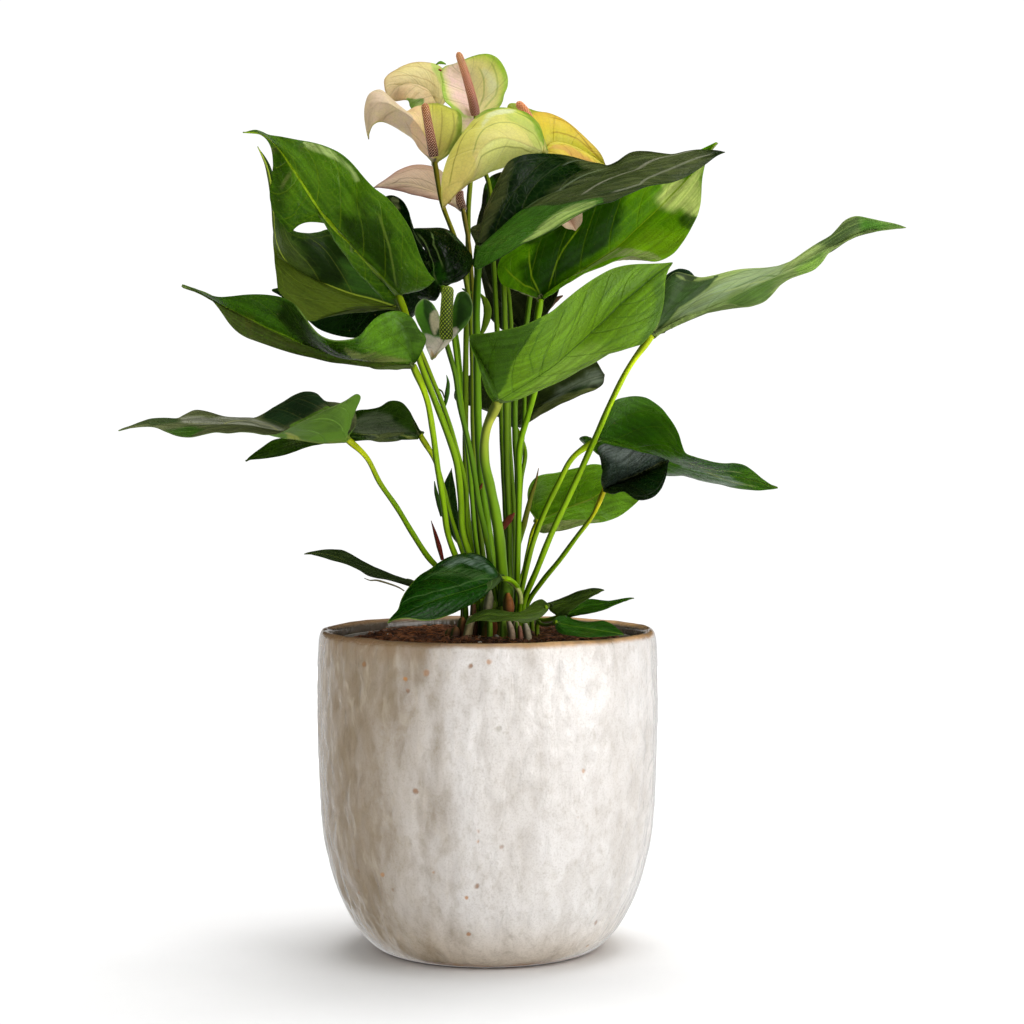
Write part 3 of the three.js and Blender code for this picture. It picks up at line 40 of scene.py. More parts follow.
# ---------------------------------------------------------------------------
# Routes and outlines in millimetres, as in the CAD.
# A blade is a midrib and two margins; each margin runs from the notch round
# the basal lobe and along to the drip tip.
# ---------------------------------------------------------------------------
BLADES = {
 'leaf_upper_left': dict(kind='leaf', fan=(0.25, 0.25),
  mid=[(-41.8,-60,323.5),(-49.1,-62.1,331.4),(-57,-63.5,338.8),(-64.1,-64.3,346.9),(-71.9,-64.5,354.5),(-78.6,-64,363.1),(-84.5,-62.9,372.4),(-90.6,-61.1,381.7),(-96.9,-58.7,391.1),(-104.8,-55.7,399.1),(-115.9,-52,400.9)],
  a=[(-40.3,-60,325),(-37.3,-61.4,325.2),(-34.8,-63.3,327.1),(-32.2,-65.6,328.8),(-29.6,-68.3,330.3),(-26.6,-71.1,329.9),(-23.8,-74.1,329.4),(-25.7,-77.3,331.5),(-27.3,-80,333.9),(-28.7,-81.6,336.4),(-30,-82.2,339.1),(-31.2,-82.2,341.9),(-32.2,-82,344.8),(-33.2,-81.7,347.7),(-34.2,-81.4,350.6),(-35.5,-81.1,353.4),(-37,-80.7,356.1),(-38.7,-80.1,358.7),(-40.5,-79.3,361.2),(-42.5,-78.5,363.6),(-44.6,-77.7,365.9),(-46.8,-77.4,368.1),(-49.3,-77.5,369.8),(-51.8,-77.2,371.6),(-54.1,-75.5,373.9),(-56.3,-71.7,376.6),(-58.5,-67.4,379.4),(-60.6,-65,382),(-62.7,-64.4,384.4),(-64.9,-64.2,386.6),(-67.3,-64.1,388.6),(-69.9,-63.8,390.3),(-72.7,-63.5,391.7),(-75.6,-63.1,392.9),(-78.5,-62.7,393.9),(-81.6,-62.5,394.7),(-84.5,-63.4,395.2),(-87.4,-65.2,395.5),(-90.3,-66.7,395.9),(-93.3,-67,396.4),(-96.4,-66.4,397),(-99.6,-65,397.5),(-102.9,-63,398.2),(-105.9,-60.2,399.8),(-109.2,-57.1,401.2),(-112.5,-54.3,401.2),(-115.9,-52,400.9)],
  b=[(-42.7,-59.8,321.7),(-45.4,-59.5,320.7),(-48.2,-59.1,321.1),(-50.5,-58.7,322.8),(-52.6,-58.6,324.9),(-54.5,-58.6,327),(-56.3,-58.4,329.2),(-58.1,-58.1,331.5),(-59.8,-57.8,333.9),(-61.4,-57.5,336.2),(-63,-57.3,338.7),(-64.6,-57.1,341.1),(-66.1,-57.1,343.5),(-67.5,-57.4,346),(-68.9,-57.8,348.4),(-70.4,-58.2,350.8),(-71.7,-58.7,353.3),(-73.4,-59.1,355.6),(-76,-59.5,356.7),(-78.7,-59.9,357.2),(-81.6,-60.3,357.4),(-84.4,-60.6,357.3),(-87.1,-60.9,356.6),(-89.6,-61.2,355.1),(-91.6,-61.5,353.1),(-93.6,-61.6,352.7),(-95.3,-61.7,355),(-97.1,-61.8,357.2),(-98.8,-61.8,359.5),(-100.2,-61.7,362),(-101.2,-61.6,364.6),(-102,-61.5,367.4),(-102.3,-61.3,370.2),(-102.2,-61.1,373.1),(-101.6,-60.9,375.9),(-101,-60.6,378.7),(-100.3,-59.8,381.6),(-100.1,-58.1,384.6),(-100.2,-56,387.6),(-100.6,-54.5,390.7),(-101.4,-53.6,393.5),(-102.8,-53.3,396.1),(-104.7,-53.1,398.3),(-107.2,-53.1,399.6),(-110,-53.1,400.4),(-112.9,-52.7,400.7),(-115.9,-52,400.9)]),
 'leaf_upper_left_back': dict(kind='leaf', fan=(0.25, 0.25),
  mid=[(-42.7,-24,318.7),(-54.2,-21.6,322.5),(-65.9,-19.4,325.5),(-77.3,-17.6,329.7),(-88.6,-16.2,334.1),(-98.3,-15,341.4),(-103.5,-14.2,352.2),(-104.6,-13.6,364.2),(-105.6,-13.4,376.1),(-107.9,-13.6,387.8),(-112.9,-14,398.6)],
  a=[(-41.5,-24,321.1),(-41.2,-24.9,323.6),(-41.1,-26.3,326.1),(-41.8,-28.2,328.4),(-42.7,-30.3,330.7),(-43.8,-31.9,332.8),(-45,-32.6,335),(-46.5,-31.9,337.1),(-48.3,-29.8,339.2),(-50.2,-27,341.2),(-52.2,-24.9,343.1),(-54.2,-24,344.9),(-56.3,-23.7,346.5),(-58.3,-23.3,348.1),(-60.5,-22.8,349.6),(-62.7,-22.2,351.1),(-64.9,-21.6,352.4),(-67.2,-21.1,353.7),(-69.5,-20.5,355),(-71.9,-20,356.1),(-74.4,-19.5,357),(-76.9,-18.9,357.5),(-79.5,-18.8,357.2),(-81.9,-19.9,356.2),(-84.2,-22.4,355.6),(-86.6,-24.8,355.1),(-89,-26.2,355.1),(-91.5,-26.6,355.3),(-94,-26.4,356),(-96.2,-25.5,357.5),(-98.1,-24,359.6),(-99.7,-22.4,361.8),(-100.7,-20.8,364.4),(-101.4,-19.3,367),(-101.9,-18.1,369.7),(-102.3,-17.1,372.3),(-102.8,-16.1,375),(-103.4,-15.1,377.6),(-104.1,-14.2,380.2),(-104.7,-13.7,382.8),(-105.4,-13.5,385.3),(-106.2,-13.5,387.7),(-107.2,-13.5,390.1),(-108.5,-13.6,392.4),(-109.9,-13.7,394.5),(-111.5,-13.8,396.5),(-112.9,-14,398.6)],
  b=[(-43.5,-24,317.2),(-46.4,-23.7,317.7),(-49.4,-23.7,318.1),(-52.4,-23.8,318.3),(-55.4,-24,318.4),(-58.3,-24,318.5),(-61.3,-24,318.4),(-64.3,-24,318.1),(-67.3,-24,317.5),(-70.2,-24,316.9),(-73.1,-24,316.1),(-75.9,-23.9,315.3),(-78.8,-23.7,314.3),(-81.7,-23.3,313.4),(-84.5,-22.8,312.4),(-87.5,-22.2,312.5),(-90,-21.6,314.3),(-92.2,-21.1,316.4),(-94.3,-20.5,318.5),(-96.5,-20,320.7),(-98.6,-19.5,322.9),(-100.7,-18.9,325.1),(-102.5,-18.4,327.5),(-103.1,-17.9,330.5),(-103.4,-17.5,333.5),(-103.8,-16.9,336.5),(-104.3,-15.9,339.5),(-104.8,-13.7,342.7),(-105.3,-10.7,345.9),(-105.8,-8.3,349),(-106.1,-7.1,352.1),(-106.2,-6.6,355.2),(-106.1,-6.5,358.2),(-106.1,-6.6,361.2),(-106.2,-6.9,364.2),(-106.4,-7.3,367.2),(-106.7,-7.8,370.2),(-107.1,-8.3,373.1),(-107.4,-8.9,376),(-107.8,-9.5,378.9),(-108.2,-10.2,381.8),(-108.7,-11,384.7),(-109.2,-11.8,387.6),(-109.9,-12.5,390.4),(-110.9,-13.1,393.1),(-111.9,-13.6,395.9),(-112.9,-14,398.6)]),
 'leaf_hidden_left': dict(kind='leaf', fan=(0.25, 0.25),
  mid=[(-29.2,16,343.8),(-37.4,17.6,344.1),(-45.5,18.6,343.4),(-53.6,19.2,341.8),(-61.5,19.4,339.8),(-69.3,19,337.4),(-77.1,18.2,335.2),(-85,16.8,333.3),(-92.8,15,331.5),(-100.6,12.8,330.1),(-108.4,10,328.8)],
  a=[(-28.7,16,346.3),(-32.7,10.3,350.7),(-36.3,5.3,355.6),(-38.2,3.7,361.5),(-39.3,7,368.2),(-42.8,12.6,374.2),(-48.5,15.8,377.4),(-54.5,14.3,375.2),(-59.6,9.7,371.1),(-64.4,5.8,366.7),(-69.1,4,362.2),(-73.6,3.7,357.6),(-78.1,4.1,353),(-82.7,4.9,348.5),(-87.4,5.7,344),(-92.1,6.7,339.6),(-97.2,7.8,335.5),(-102.6,8.9,331.8),(-108.4,10,328.8)],
  b=[(-28.2,16,340.7),(-28.9,20.8,335),(-30,25.1,329.3),(-32.5,26.5,323.8),(-35.9,24,318.7),(-40.1,20,314.3),(-45.1,17.9,310.8),(-50.5,18,308.1),(-56.4,18.6,306.4),(-62.4,19.1,305.7),(-68.5,19.2,305.6),(-74.5,19.2,306.4),(-80.4,18.8,307.9),(-85.9,18.1,310.2),(-90.5,17.2,313.9),(-94.9,15.8,317.9),(-99.2,14.2,321.9),(-103.6,12.2,325.8),(-108.4,10,328.8)]),
 'leaf_middle_left': dict(kind='leaf', fan=(0.25, 0.25),
  mid=[(-34.2,-72,289.4),(-45.6,-76.2,289.9),(-56.9,-79.8,291.2),(-68,-83,293.4),(-78.9,-85.8,296.4),(-89.4,-88,300.5),(-99.7,-89.8,305.2),(-109.7,-91,310.5),(-119.7,-91.8,315.6),(-129.5,-92.2,321.5),(-140.1,-92,325.5)],
  a=[(-33.7,-72,291.1),(-30.4,-74.9,296.2),(-27.7,-78.3,301.5),(-31.1,-80.9,306.4),(-34.3,-81.4,311.5),(-39.6,-81.7,314.3),(-45.5,-84.7,313.9),(-50.5,-91.1,310.9),(-54.4,-98.7,306.3),(-58,-104.5,301.7),(-63.5,-108,299.8),(-69.3,-109.6,299.8),(-74.7,-109.8,302.1),(-78.9,-108.9,306.4),(-82.6,-106.9,311.3),(-86.8,-104,316),(-92.1,-101.1,319.4),(-98.1,-99.4,320.9),(-104.1,-99.2,321.4),(-110,-99.8,321.1),(-116,-100.1,320.3),(-122.1,-99.4,319.9),(-128.1,-97.3,321.5),(-133.8,-94.6,324.3),(-140.1,-92,325.5)],
  b=[(-35.6,-72,287.8),(-40.6,-71.7,287.8),(-45.5,-71.8,288.1),(-50.4,-71.9,288.5),(-55.3,-72,289.2),(-60.2,-72.1,290),(-65,-72.6,290.9),(-69.8,-73.7,292),(-74.4,-75.4,293.2),(-79,-77.2,294.6),(-83.6,-79,295.8),(-88.2,-80.8,297),(-92.8,-82.5,298),(-97.5,-84.1,298.6),(-102.2,-85.5,299.1),(-106.7,-86.9,300.3),(-111.1,-88.1,302.2),(-115,-89.2,304.8),(-118.3,-90.1,308.3),(-121,-90.8,312.2),(-123.7,-91.4,316.1),(-126.9,-91.8,319.6),(-131.2,-92,321.8),(-135.6,-92.1,323.7),(-140.1,-92,325.5)]),
 'leaf_low_left': dict(kind='leaf', fan=(0.25, 0.25),
  mid=[(-65.1,-88,255.8),(-75.8,-84.8,255.2),(-86.6,-81.8,256.6),(-97.5,-79.2,258),(-108.1,-77,260.9),(-119,-75,261.9),(-130,-73.4,262.4),(-141,-72,262.8),(-152,-71,263.2),(-162.8,-70.4,262),(-173.4,-70,259.5)],
  a=[(-63.7,-88,257.4),(-60.4,-83.9,261.5),(-60.8,-78.6,266.9),(-64.8,-72.9,270.9),(-70.4,-68.7,272.3),(-75.9,-67.3,273),(-80.1,-67.3,276.6),(-85.6,-66.2,277.4),(-91.2,-62.9,275.8),(-96.4,-58.3,272.9),(-101.5,-54.3,269.9),(-106.5,-51.6,266.8),(-111.8,-50.2,264.7),(-117.5,-49.9,264.6),(-123,-50.3,265),(-128.5,-51.4,266),(-133.6,-52.8,267.8),(-138.9,-54.3,268.7),(-143.8,-55.8,266.6),(-148.3,-57.4,264.3),(-153.6,-59.5,264.8),(-158.8,-62,264.6),(-163.7,-64.7,263),(-168.5,-67.5,261),(-173.4,-70,259.5)],
  b=[(-64.9,-88,258.3),(-62.5,-89.5,263.7),(-60,-90.4,268.9),(-57.8,-92.8,274.3),(-59.5,-98.5,275.8),(-63.8,-105.7,272.4),(-68.5,-110.7,269.9),(-73.7,-112.8,267.8),(-78.8,-113.5,265.3),(-83.9,-113.4,262.8),(-88.9,-112.6,259.9),(-94.1,-110.9,257.4),(-100,-108.6,257.2),(-105.9,-105.8,258.3),(-111.9,-102.8,258.6),(-118,-99.5,257.9),(-124.2,-96,258.3),(-130.3,-92.2,257.3),(-136.5,-88.4,256.1),(-142.8,-84.9,256.4),(-148.7,-81.8,258.3),(-154.5,-78.9,260.6),(-160.8,-75.8,260.9),(-167.1,-72.7,260.1),(-173.4,-70,259.5)]),
 'leaf_low_left_back': dict(kind='leaf', fan=(0.25, 0.25),
  mid=[(-32.4,-34,256.7),(-41.1,-34.6,255.9),(-49.8,-35.2,256.3),(-58.4,-35.8,257),(-67,-36.4,257.6),(-75.6,-37,256.3),(-84.1,-37.6,254.8),(-92.6,-38.2,253.2),(-100.8,-38.8,250.5),(-108.9,-39.4,247.5),(-116.9,-40,244.4)],
  a=[(-32.9,-34,259.1),(-35.4,-29.4,264.1),(-38.2,-25.1,269),(-42.2,-22.1,272.8),(-47.9,-20.1,273.3),(-52.9,-18.1,270.6),(-58.4,-16.2,269.4),(-64,-14.8,268.6),(-68.8,-13.9,265.8),(-73.9,-13.9,263.4),(-79.1,-14.9,261.5),(-84.3,-17,259.9),(-89.5,-19.7,258.4),(-94.6,-22.9,256.9),(-99.6,-26.4,255.4),(-104.6,-30,254),(-108.9,-33.6,251),(-113,-36.9,247.8),(-116.9,-40,244.4)],
  b=[(-33.4,-34,254.5),(-38,-36.8,254.3),(-42.7,-38.5,254.3),(-47.5,-37.8,254.5),(-52.4,-35.8,254.8),(-57.2,-34.6,255.1),(-61.9,-34.8,255.6),(-66.6,-36.4,255.8),(-71,-38.9,254.8),(-75.2,-41.1,252.9),(-79.8,-42,252.1),(-84.5,-42,251.5),(-89.1,-41.4,250.2),(-93.6,-40.2,248.3),(-98.2,-39.1,246.8),(-102.9,-38.7,245.9),(-107.6,-39,245.2),(-112.3,-39.5,244.8),(-116.9,-40,244.4)]),
 'leaf_centre_curled': dict(kind='leaf', fan=(0.25, 0.25),
  mid=[(-21.1,-52,327.8),(-20.4,-52.9,331.2),(-19.7,-53.5,334.6),(-19.8,-53.9,338.1),(-20.6,-54.1,341.5),(-22,-54,344.8),(-23.9,-53.7,347.8),(-26,-53.1,350.7),(-28.7,-52.3,353),(-32,-51.3,354.5),(-35.5,-50,355.5)],
  a=[(-18.8,-51.5,328),(-16.1,-46.3,329.6),(-13.4,-41.1,331.1),(-10.8,-37,333),(-8.7,-34.8,335.3),(-7.4,-33.9,338.2),(-6.6,-33.5,341.2),(-7.2,-33.2,344.2),(-9.3,-33.1,346.5),(-11.3,-33.6,348.8),(-13.3,-34.8,351.1),(-15.2,-36.5,353.4),(-17.6,-38.4,355.1),(-20.5,-40.2,356.1),(-23.5,-42.1,356.4),(-26.5,-44,356.2),(-29.5,-46,355.9),(-32.5,-48,355.7),(-35.5,-50,355.5)],
  b=[(-22.6,-51.5,325.9),(-22.9,-48.9,323.1),(-24.5,-46,321.1),(-27.5,-43.6,321.3),(-30.4,-42.7,322),(-33.2,-42.6,322.9),(-33.1,-42.2,325.3),(-31,-41.4,327.4),(-29.1,-40.8,329.7),(-27.5,-40.9,332.1),(-26.7,-41.5,334.9),(-26.9,-42.6,337.7),(-27.5,-44.1,340.5),(-28.5,-45.8,343.1),(-29.7,-47.7,345.6),(-31.1,-49.4,348),(-32.5,-50.4,350.5),(-34,-50.5,353),(-35.5,-50,355.5)]),
 'leaf_top_right': dict(kind='leaf', fan=(0.25, 0.25),
  mid=[(-3.4,-57,346.4),(6,-57.3,354.9),(15.7,-56.9,363.4),(26.7,-55.9,370),(38.9,-54.3,374.3),(51.3,-52,378.1),(63.9,-49.1,381.7),(76.5,-45.5,385.5),(89.5,-41.3,388.7),(102.6,-36.5,391.5),(116,-31,394.2)],
  a=[(-5.3,-56.7,348.8),(-7.5,-51.8,355.1),(-2.2,-46.2,358.7),(1.9,-42.1,364),(4.4,-42.4,369.9),(6.3,-46.5,375.6),(7.6,-50.7,381.5),(10.6,-52.5,386.8),(16.3,-51.2,389.8),(22.6,-46.5,391.3),(29.1,-39.9,392),(35.7,-34.2,392.1),(42.2,-30.7,391.4),(48.6,-28.8,389.9),(54.9,-28,388.3),(61.2,-28,386.5),(66.7,-28.7,389.1),(70.9,-29.7,393.8),(77.3,-30.5,394.3),(83.7,-30.9,393.5),(90.2,-31.2,392.8),(96.5,-31.6,394.1),(102.9,-32,394.9),(109.4,-31.8,394.7),(116,-31,394.2)],
  b=[(-4.4,-57,344.1),(-6.7,-61,338.3),(-4.2,-67.1,335),(1.3,-73.9,336.9),(6.6,-78.4,339.3),(11.6,-80.1,342.2),(16.5,-80.3,345.5),(21.8,-80.2,348),(27.2,-79.9,350.4),(32.6,-79.2,352.9),(37.7,-78.2,355.8),(42.7,-76.9,359.1),(47.8,-75.4,362.3),(53.1,-73.4,365),(59.1,-70.9,366.2),(64.6,-68,368.9),(70.3,-64.8,371.5),(75.9,-60.5,374.3),(82.1,-54.7,376),(88.5,-48.5,377.3),(94.5,-43.9,379.8),(100,-40.7,383.1),(105.3,-37.7,386.8),(110.4,-34.4,390.8),(116,-31,394.2)]),
 'leaf_bright_back': dict(kind='leaf', fan=(0.25, 0.25),
  mid=[(26.2,-17.2,323.4),(35.8,-13,330.4),(45.5,-9.1,337.4),(55.6,-5.5,344),(65.5,-2.2,350.8),(74.3,0.8,359.1),(83.1,3.4,367.4),(91.6,5.7,376),(100,7.7,384.8),(107.4,9.4,394.4),(115.2,10.8,403.7)],
  a=[(28,-17.2,323.4),(32.7,-20.9,325.9),(36.9,-24.7,328.9),(41.3,-26.7,331.8),(46,-24.8,334.7),(51.1,-20.5,337.3),(56.2,-17.3,339.4),(61.3,-15.5,341.7),(66.5,-13.8,343.7),(72,-11.9,344.9),(77.2,-9.9,343.4),(82.7,-8,342.6),(88.1,-6.1,344),(92.9,-4.2,347),(96.5,-2.4,351.3),(99.7,-0.7,356.1),(102.4,1,361),(104.9,2.5,366.1),(106.4,3.7,371.6),(106.9,3.8,377.1),(107.1,3.1,382.5),(107.8,3.2,388),(109.1,5.1,393.6),(111.7,7.9,398.8),(115.2,10.8,403.7)],
  b=[(24.5,-17.2,324.4),(19.2,-17.2,327.7),(12.8,-17.2,328.4),(7.1,-17.2,330.9),(5.1,-17.2,336.9),(6.6,-17.1,343),(11.3,-16.6,347.3),(16.7,-15.5,350.9),(22.3,-13.8,354.1),(28.1,-11.9,357.1),(33.7,-9.9,360.4),(39.2,-8,364),(44.4,-6.1,368.1),(49.6,-4.2,372.1),(54.9,-2.4,376),(60.6,-0.7,379.5),(66.5,1,382.5),(72.5,2.5,385.2),(78.8,4,387.4),(85,5.4,389.7),(91.3,6.7,392),(97.3,7.9,394.7),(103.2,8.9,397.9),(109.2,9.9,400.8),(115.2,10.8,403.7)]),
 'leaf_front': dict(kind='leaf', fan=(0.25, 0.25),
  mid=[(5.8,-88,272.2),(14.7,-89.3,277.6),(23.5,-89.9,283),(32.1,-89.9,288.9),(39.9,-89.3,295.8),(47.6,-88,302.9),(55.1,-86.1,310.2),(62.7,-83.5,317.6),(70.9,-80.3,324.5),(79.1,-76.5,331.5),(87.9,-72,337.8)],
  a=[(3.9,-88,271.7),(0.6,-92.5,276.2),(-1.1,-97.5,281.5),(-2.5,-101,286.9),(-4.2,-100.7,292.2),(-6.5,-97.2,297.6),(-7,-96.1,302.7),(-1.4,-100.5,303.3),(4.2,-107.2,303.9),(9.8,-112,304.7),(15.3,-114.4,305.7),(20.5,-115.1,307.6),(25.4,-114.3,310.2),(30.3,-112.4,313),(34.7,-109.6,316.6),(39.2,-105.7,320.3),(43.7,-100.8,324.1),(48.4,-95,327.8),(53.4,-89.3,331.1),(58.7,-84.9,333.9),(64.4,-82.1,335.6),(70.2,-79.8,336.4),(76.1,-77.6,336.7),(82,-75,337.1),(87.9,-72,337.8)],
  b=[(7.2,-87.8,271),(11.2,-82.8,273.5),(15.6,-77.1,275.6),(19.8,-72.2,277.8),(24.1,-70.1,280),(28.5,-71.1,282.1),(32.9,-72.8,283.9),(37.4,-73.2,285.3),(42,-72.3,286.7),(46.3,-71.5,289.1),(50.4,-71.3,291.5),(54.7,-71.8,293.6),(58.8,-73.4,295.9),(63,-76.4,297.9),(67.5,-80.4,298.2),(72,-83.6,298.8),(75.4,-84.5,302),(78.4,-83.9,305.7),(80.6,-82.8,309.9),(82.1,-81.6,314.5),(83,-80.2,319.2),(83.5,-78.5,324.1),(83.9,-76.4,328.9),(85.3,-74.2,333.6),(87.9,-72,337.8)]),
 'leaf_long_right': dict(kind='leaf', fan=(0.25, 0.25),
  mid=[(79.8,-40,304.7),(92,-35.8,311),(104.7,-32.2,316.6),(117.5,-29,321.9),(129.8,-26.2,328.5),(142.2,-24,334.7),(154.8,-22.2,340.6),(167.1,-21,346.9),(178.8,-20.2,354),(192.1,-19.8,357.5),(205.7,-20,358.4)],
  a=[(79.3,-40,306.8),(81,-36.5,313.2),(82.9,-33.2,319.5),(84.8,-32.4,325.6),(86.8,-34.8,331.5),(91.4,-37,335.3),(97.7,-34.2,334.4),(104.5,-26.9,333.5),(111.4,-19.7,335),(118.1,-15,336.9),(124.8,-11.8,338.3),(131.6,-9.1,339.1),(138.3,-7.2,339.7),(144.9,-6.1,340.9),(151.2,-5.9,342.8),(157.2,-6.5,345.1),(162.2,-7.8,349),(166.9,-10.2,352.9),(171.5,-14.1,356.7),(174.9,-18,361.4),(180.4,-19.9,363.8),(186.9,-19.5,362.9),(193.3,-18.8,361.6),(199.7,-19,360.3),(205.7,-20,358.4)],
  b=[(81.2,-40,303.2),(85.6,-41.2,306.6),(90.8,-41.4,309),(96.1,-40.8,311.4),(101.4,-40.2,313.8),(106.6,-39.9,316.3),(112,-39.4,318.6),(117.6,-38.3,320.1),(123.2,-36.6,318.7),(129.1,-34.8,319),(134.6,-33,321.1),(139,-31.2,325.2),(143,-29.5,329.7),(148.1,-27.9,332.8),(153.8,-26.5,334.7),(159.4,-25.1,336.9),(163.8,-23.9,340.9),(167.3,-22.8,345.6),(172.2,-21.9,349),(177.4,-21.2,351.9),(182.7,-20.6,354.6),(188.3,-20.2,356.3),(194.2,-20,356.7),(200,-19.9,357.4),(205.7,-20,358.4)]),
 'leaf_hidden_behind_front': dict(kind='leaf', fan=(0.25, 0.25),
  mid=[(13.3,50.2,261.5),(17.5,48.2,265),(21.6,46.2,268.4),(26,44.2,271.5),(30.6,42.2,274.4),(35.3,40.2,277),(39.9,38.2,279.6),(44.6,36.2,282.2),(49.4,34.2,284.4),(54.5,32.2,286),(59.6,30.2,287.1)],
  a=[(10.7,50.2,262.5),(2.6,44.6,269.4),(-7.8,43.3,271.2),(-17.5,45.4,275.3),(-14.7,44.7,284),(-5.4,39.7,289.2),(4.4,35.2,293.2),(14.4,34.8,296.8),(24.5,36.7,299.9),(34.9,37,302.3),(45.3,35.2,301.6),(54.1,32.7,296),(59.6,30.2,287.1)],
  b=[(16.4,50.2,259.9),(20.2,44.3,262.2),(24,39.5,264.6),(27.7,36.1,267),(31.5,33.5,269.3),(35.4,31.2,271.3),(39.3,29.8,273.2),(43.3,29.4,275.1),(47.4,30.1,276.9),(51.6,31.7,278.5),(55.8,32.9,280),(59,32.3,282.7),(59.6,30.2,287.1)]),
 'leaf_lower_right': dict(kind='leaf', fan=(0.25, 0.25),
  mid=[(54.2,-2,254),(63.5,0.6,252),(72.8,3,249.8),(82,5,247.1),(90.9,6.6,243.5),(100,8,240.4),(109.3,9,238),(118.7,9.8,236.1),(128.1,10.2,234.4),(137.3,10.2,232.1),(146.4,10,229.2)],
  a=[(54.7,-2,256),(56.8,-4.7,260.6),(59,-7.3,265.1),(61,-8.2,269.7),(63.9,-6.4,273.8),(68.8,-3.7,275.5),(73.9,-1.9,276),(79,-1.5,275.2),(83.3,-3.5,272.7),(86.9,-7.8,269.5),(89.8,-12.4,265.5),(92.4,-15.4,261.3),(94.4,-16.9,256.7),(95.7,-17.2,251.9),(97.8,-16.1,247.5),(102.7,-14,245.7),(107.8,-11.1,244.3),(112.9,-8,242.8),(118.2,-4.7,242.1),(123.6,-1.2,242.3),(128.8,1.8,241.2),(133.3,4.2,238.3),(137.4,6.2,234.9),(141.8,8.1,232),(146.4,10,229.2)],
  b=[(52.7,-1.8,253),(49.2,2.2,256),(46,7.7,254.6),(49.6,13.7,251.2),(53.8,18.2,248.5),(58,20.6,245.9),(62.3,22,243.4),(66.7,23.3,241.3),(71.3,24.7,239.5),(76,26,237.9),(80.8,26.9,236.8),(85.7,27.6,235.9),(90.6,28.1,235.4),(95.5,28.3,235.4),(100.4,28.1,235.5),(105,27.4,234.2),(109.6,26.2,232.6),(114.3,24.7,231.8),(118.9,22.9,231.1),(123.4,20.8,229.8),(128,18.4,228.9),(132.5,15.8,228.5),(137.1,13.4,228.3),(141.7,11.5,228.8),(146.4,10,229.2)]),
 'leaf_lower_right_cup': dict(kind='leaf', fan=(0.25, 0.25),
  mid=[(57.3,-30,230.1),(60.6,-28.4,231.2),(63.8,-27.4,232.4),(67,-26.8,233.7),(70.1,-26.6,235.1),(73.1,-27,236.6),(76.2,-27.8,238.1),(79.2,-29.2,239.6),(82.1,-31,241.1),(85,-33.2,242.6),(87.9,-36,244.1)],
  a=[(56.6,-30,231.8),(56.1,-39.3,236.6),(55.4,-46.7,241.2),(54.5,-50.3,245.7),(53.5,-50.3,250),(56.7,-48.9,252.4),(61.2,-47.5,251.6),(65.7,-45.9,250.6),(70.2,-43.8,249.6),(74.7,-41.3,248.4),(79.3,-39,247.3),(83.7,-37.2,246.1),(87.9,-36,244.1)],
  b=[(59.1,-30,229.3),(62.3,-38.2,229.8),(65.6,-44.9,229.6),(68.7,-48.6,228.3),(71.5,-49.3,226.2),(74.9,-48,225.4),(78.5,-45.5,226.3),(81.8,-42.6,227.8),(84.3,-39.8,230.4),(85.9,-37.7,233.6),(87.1,-36.3,236.9),(87.7,-35.8,240.5),(87.9,-36,244.1)]),
 'leaf_low_right_back': dict(kind='leaf', fan=(0.25, 0.25),
  mid=[(25.6,28.5,212.9),(30.8,27.5,215.2),(36,26.5,217.6),(41.2,25.5,219.7),(46.5,24.5,221.8),(51.8,23.5,223.9),(56.7,22.5,226.6),(62.1,21.5,228.4),(67.6,20.5,229),(72.9,19.5,227.1),(77.8,18.5,224.4)],
  a=[(24.3,28.7,214.4),(21.3,34.3,217.7),(20.4,39.8,222.2),(20.2,43.9,226.8),(21.9,45.8,231.1),(25.2,46.7,234.6),(29.7,47.4,236.1),(34.4,47.7,236.6),(39.1,47,237.4),(43.7,45,238.6),(48.2,42,239.9),(52.6,38.6,241.2),(57.2,35.6,241.1),(61.7,33.3,239.7),(65.8,31.2,237.7),(69.6,28.7,235.2),(72.8,25.7,231.9),(75.4,22.2,228.2),(77.8,18.5,224.4)],
  b=[(24.5,28.5,210.8),(25.1,24.6,207.6),(27.9,20.4,206.5),(31.3,16.9,207.1),(34.6,14.9,207.8),(37.9,13.8,208.4),(41.2,13,209.1),(44.5,12.4,210),(47.7,12.3,211),(51,12.9,211.9),(54.4,14.7,212),(57.9,17.8,212.1),(61.3,20.8,212.8),(64.6,22.1,213.9),(67.6,21.8,215.4),(70.4,21,217.4),(73,20.2,219.6),(75.5,19.3,221.9),(77.8,18.5,224.4)]),
 'leaf_low_front': dict(kind='leaf', fan=(0.25, 0.25),
  mid=[(6.8,-46,187.9),(1.3,-53.2,186.2),(-4.1,-59.8,184.7),(-9.5,-66,183.4),(-14.9,-71.8,182.2),(-20.3,-77,180.9),(-25.5,-81.8,179.3),(-30.7,-86,177.5),(-35.7,-89.8,175.6),(-40.7,-93.2,173.4),(-45.4,-96,170.8)],
  a=[(6.5,-45.8,189.6),(3.5,-40,192),(1,-34.2,195),(-2.3,-30.1,197.3),(-6.1,-28.8,198.8),(-10.2,-30,199.2),(-14.2,-33,198.7),(-18.1,-37,197.7),(-21.6,-41.6,196),(-24.9,-46.7,194.1),(-28.1,-52.2,192.2),(-31.2,-58,190.3),(-34,-63.9,188),(-36.4,-69.5,185.4),(-38.4,-74.9,182.4),(-39.9,-79.9,179.2),(-40.9,-85.1,175.8),(-43.2,-90.5,173.3),(-45.4,-96,170.8)],
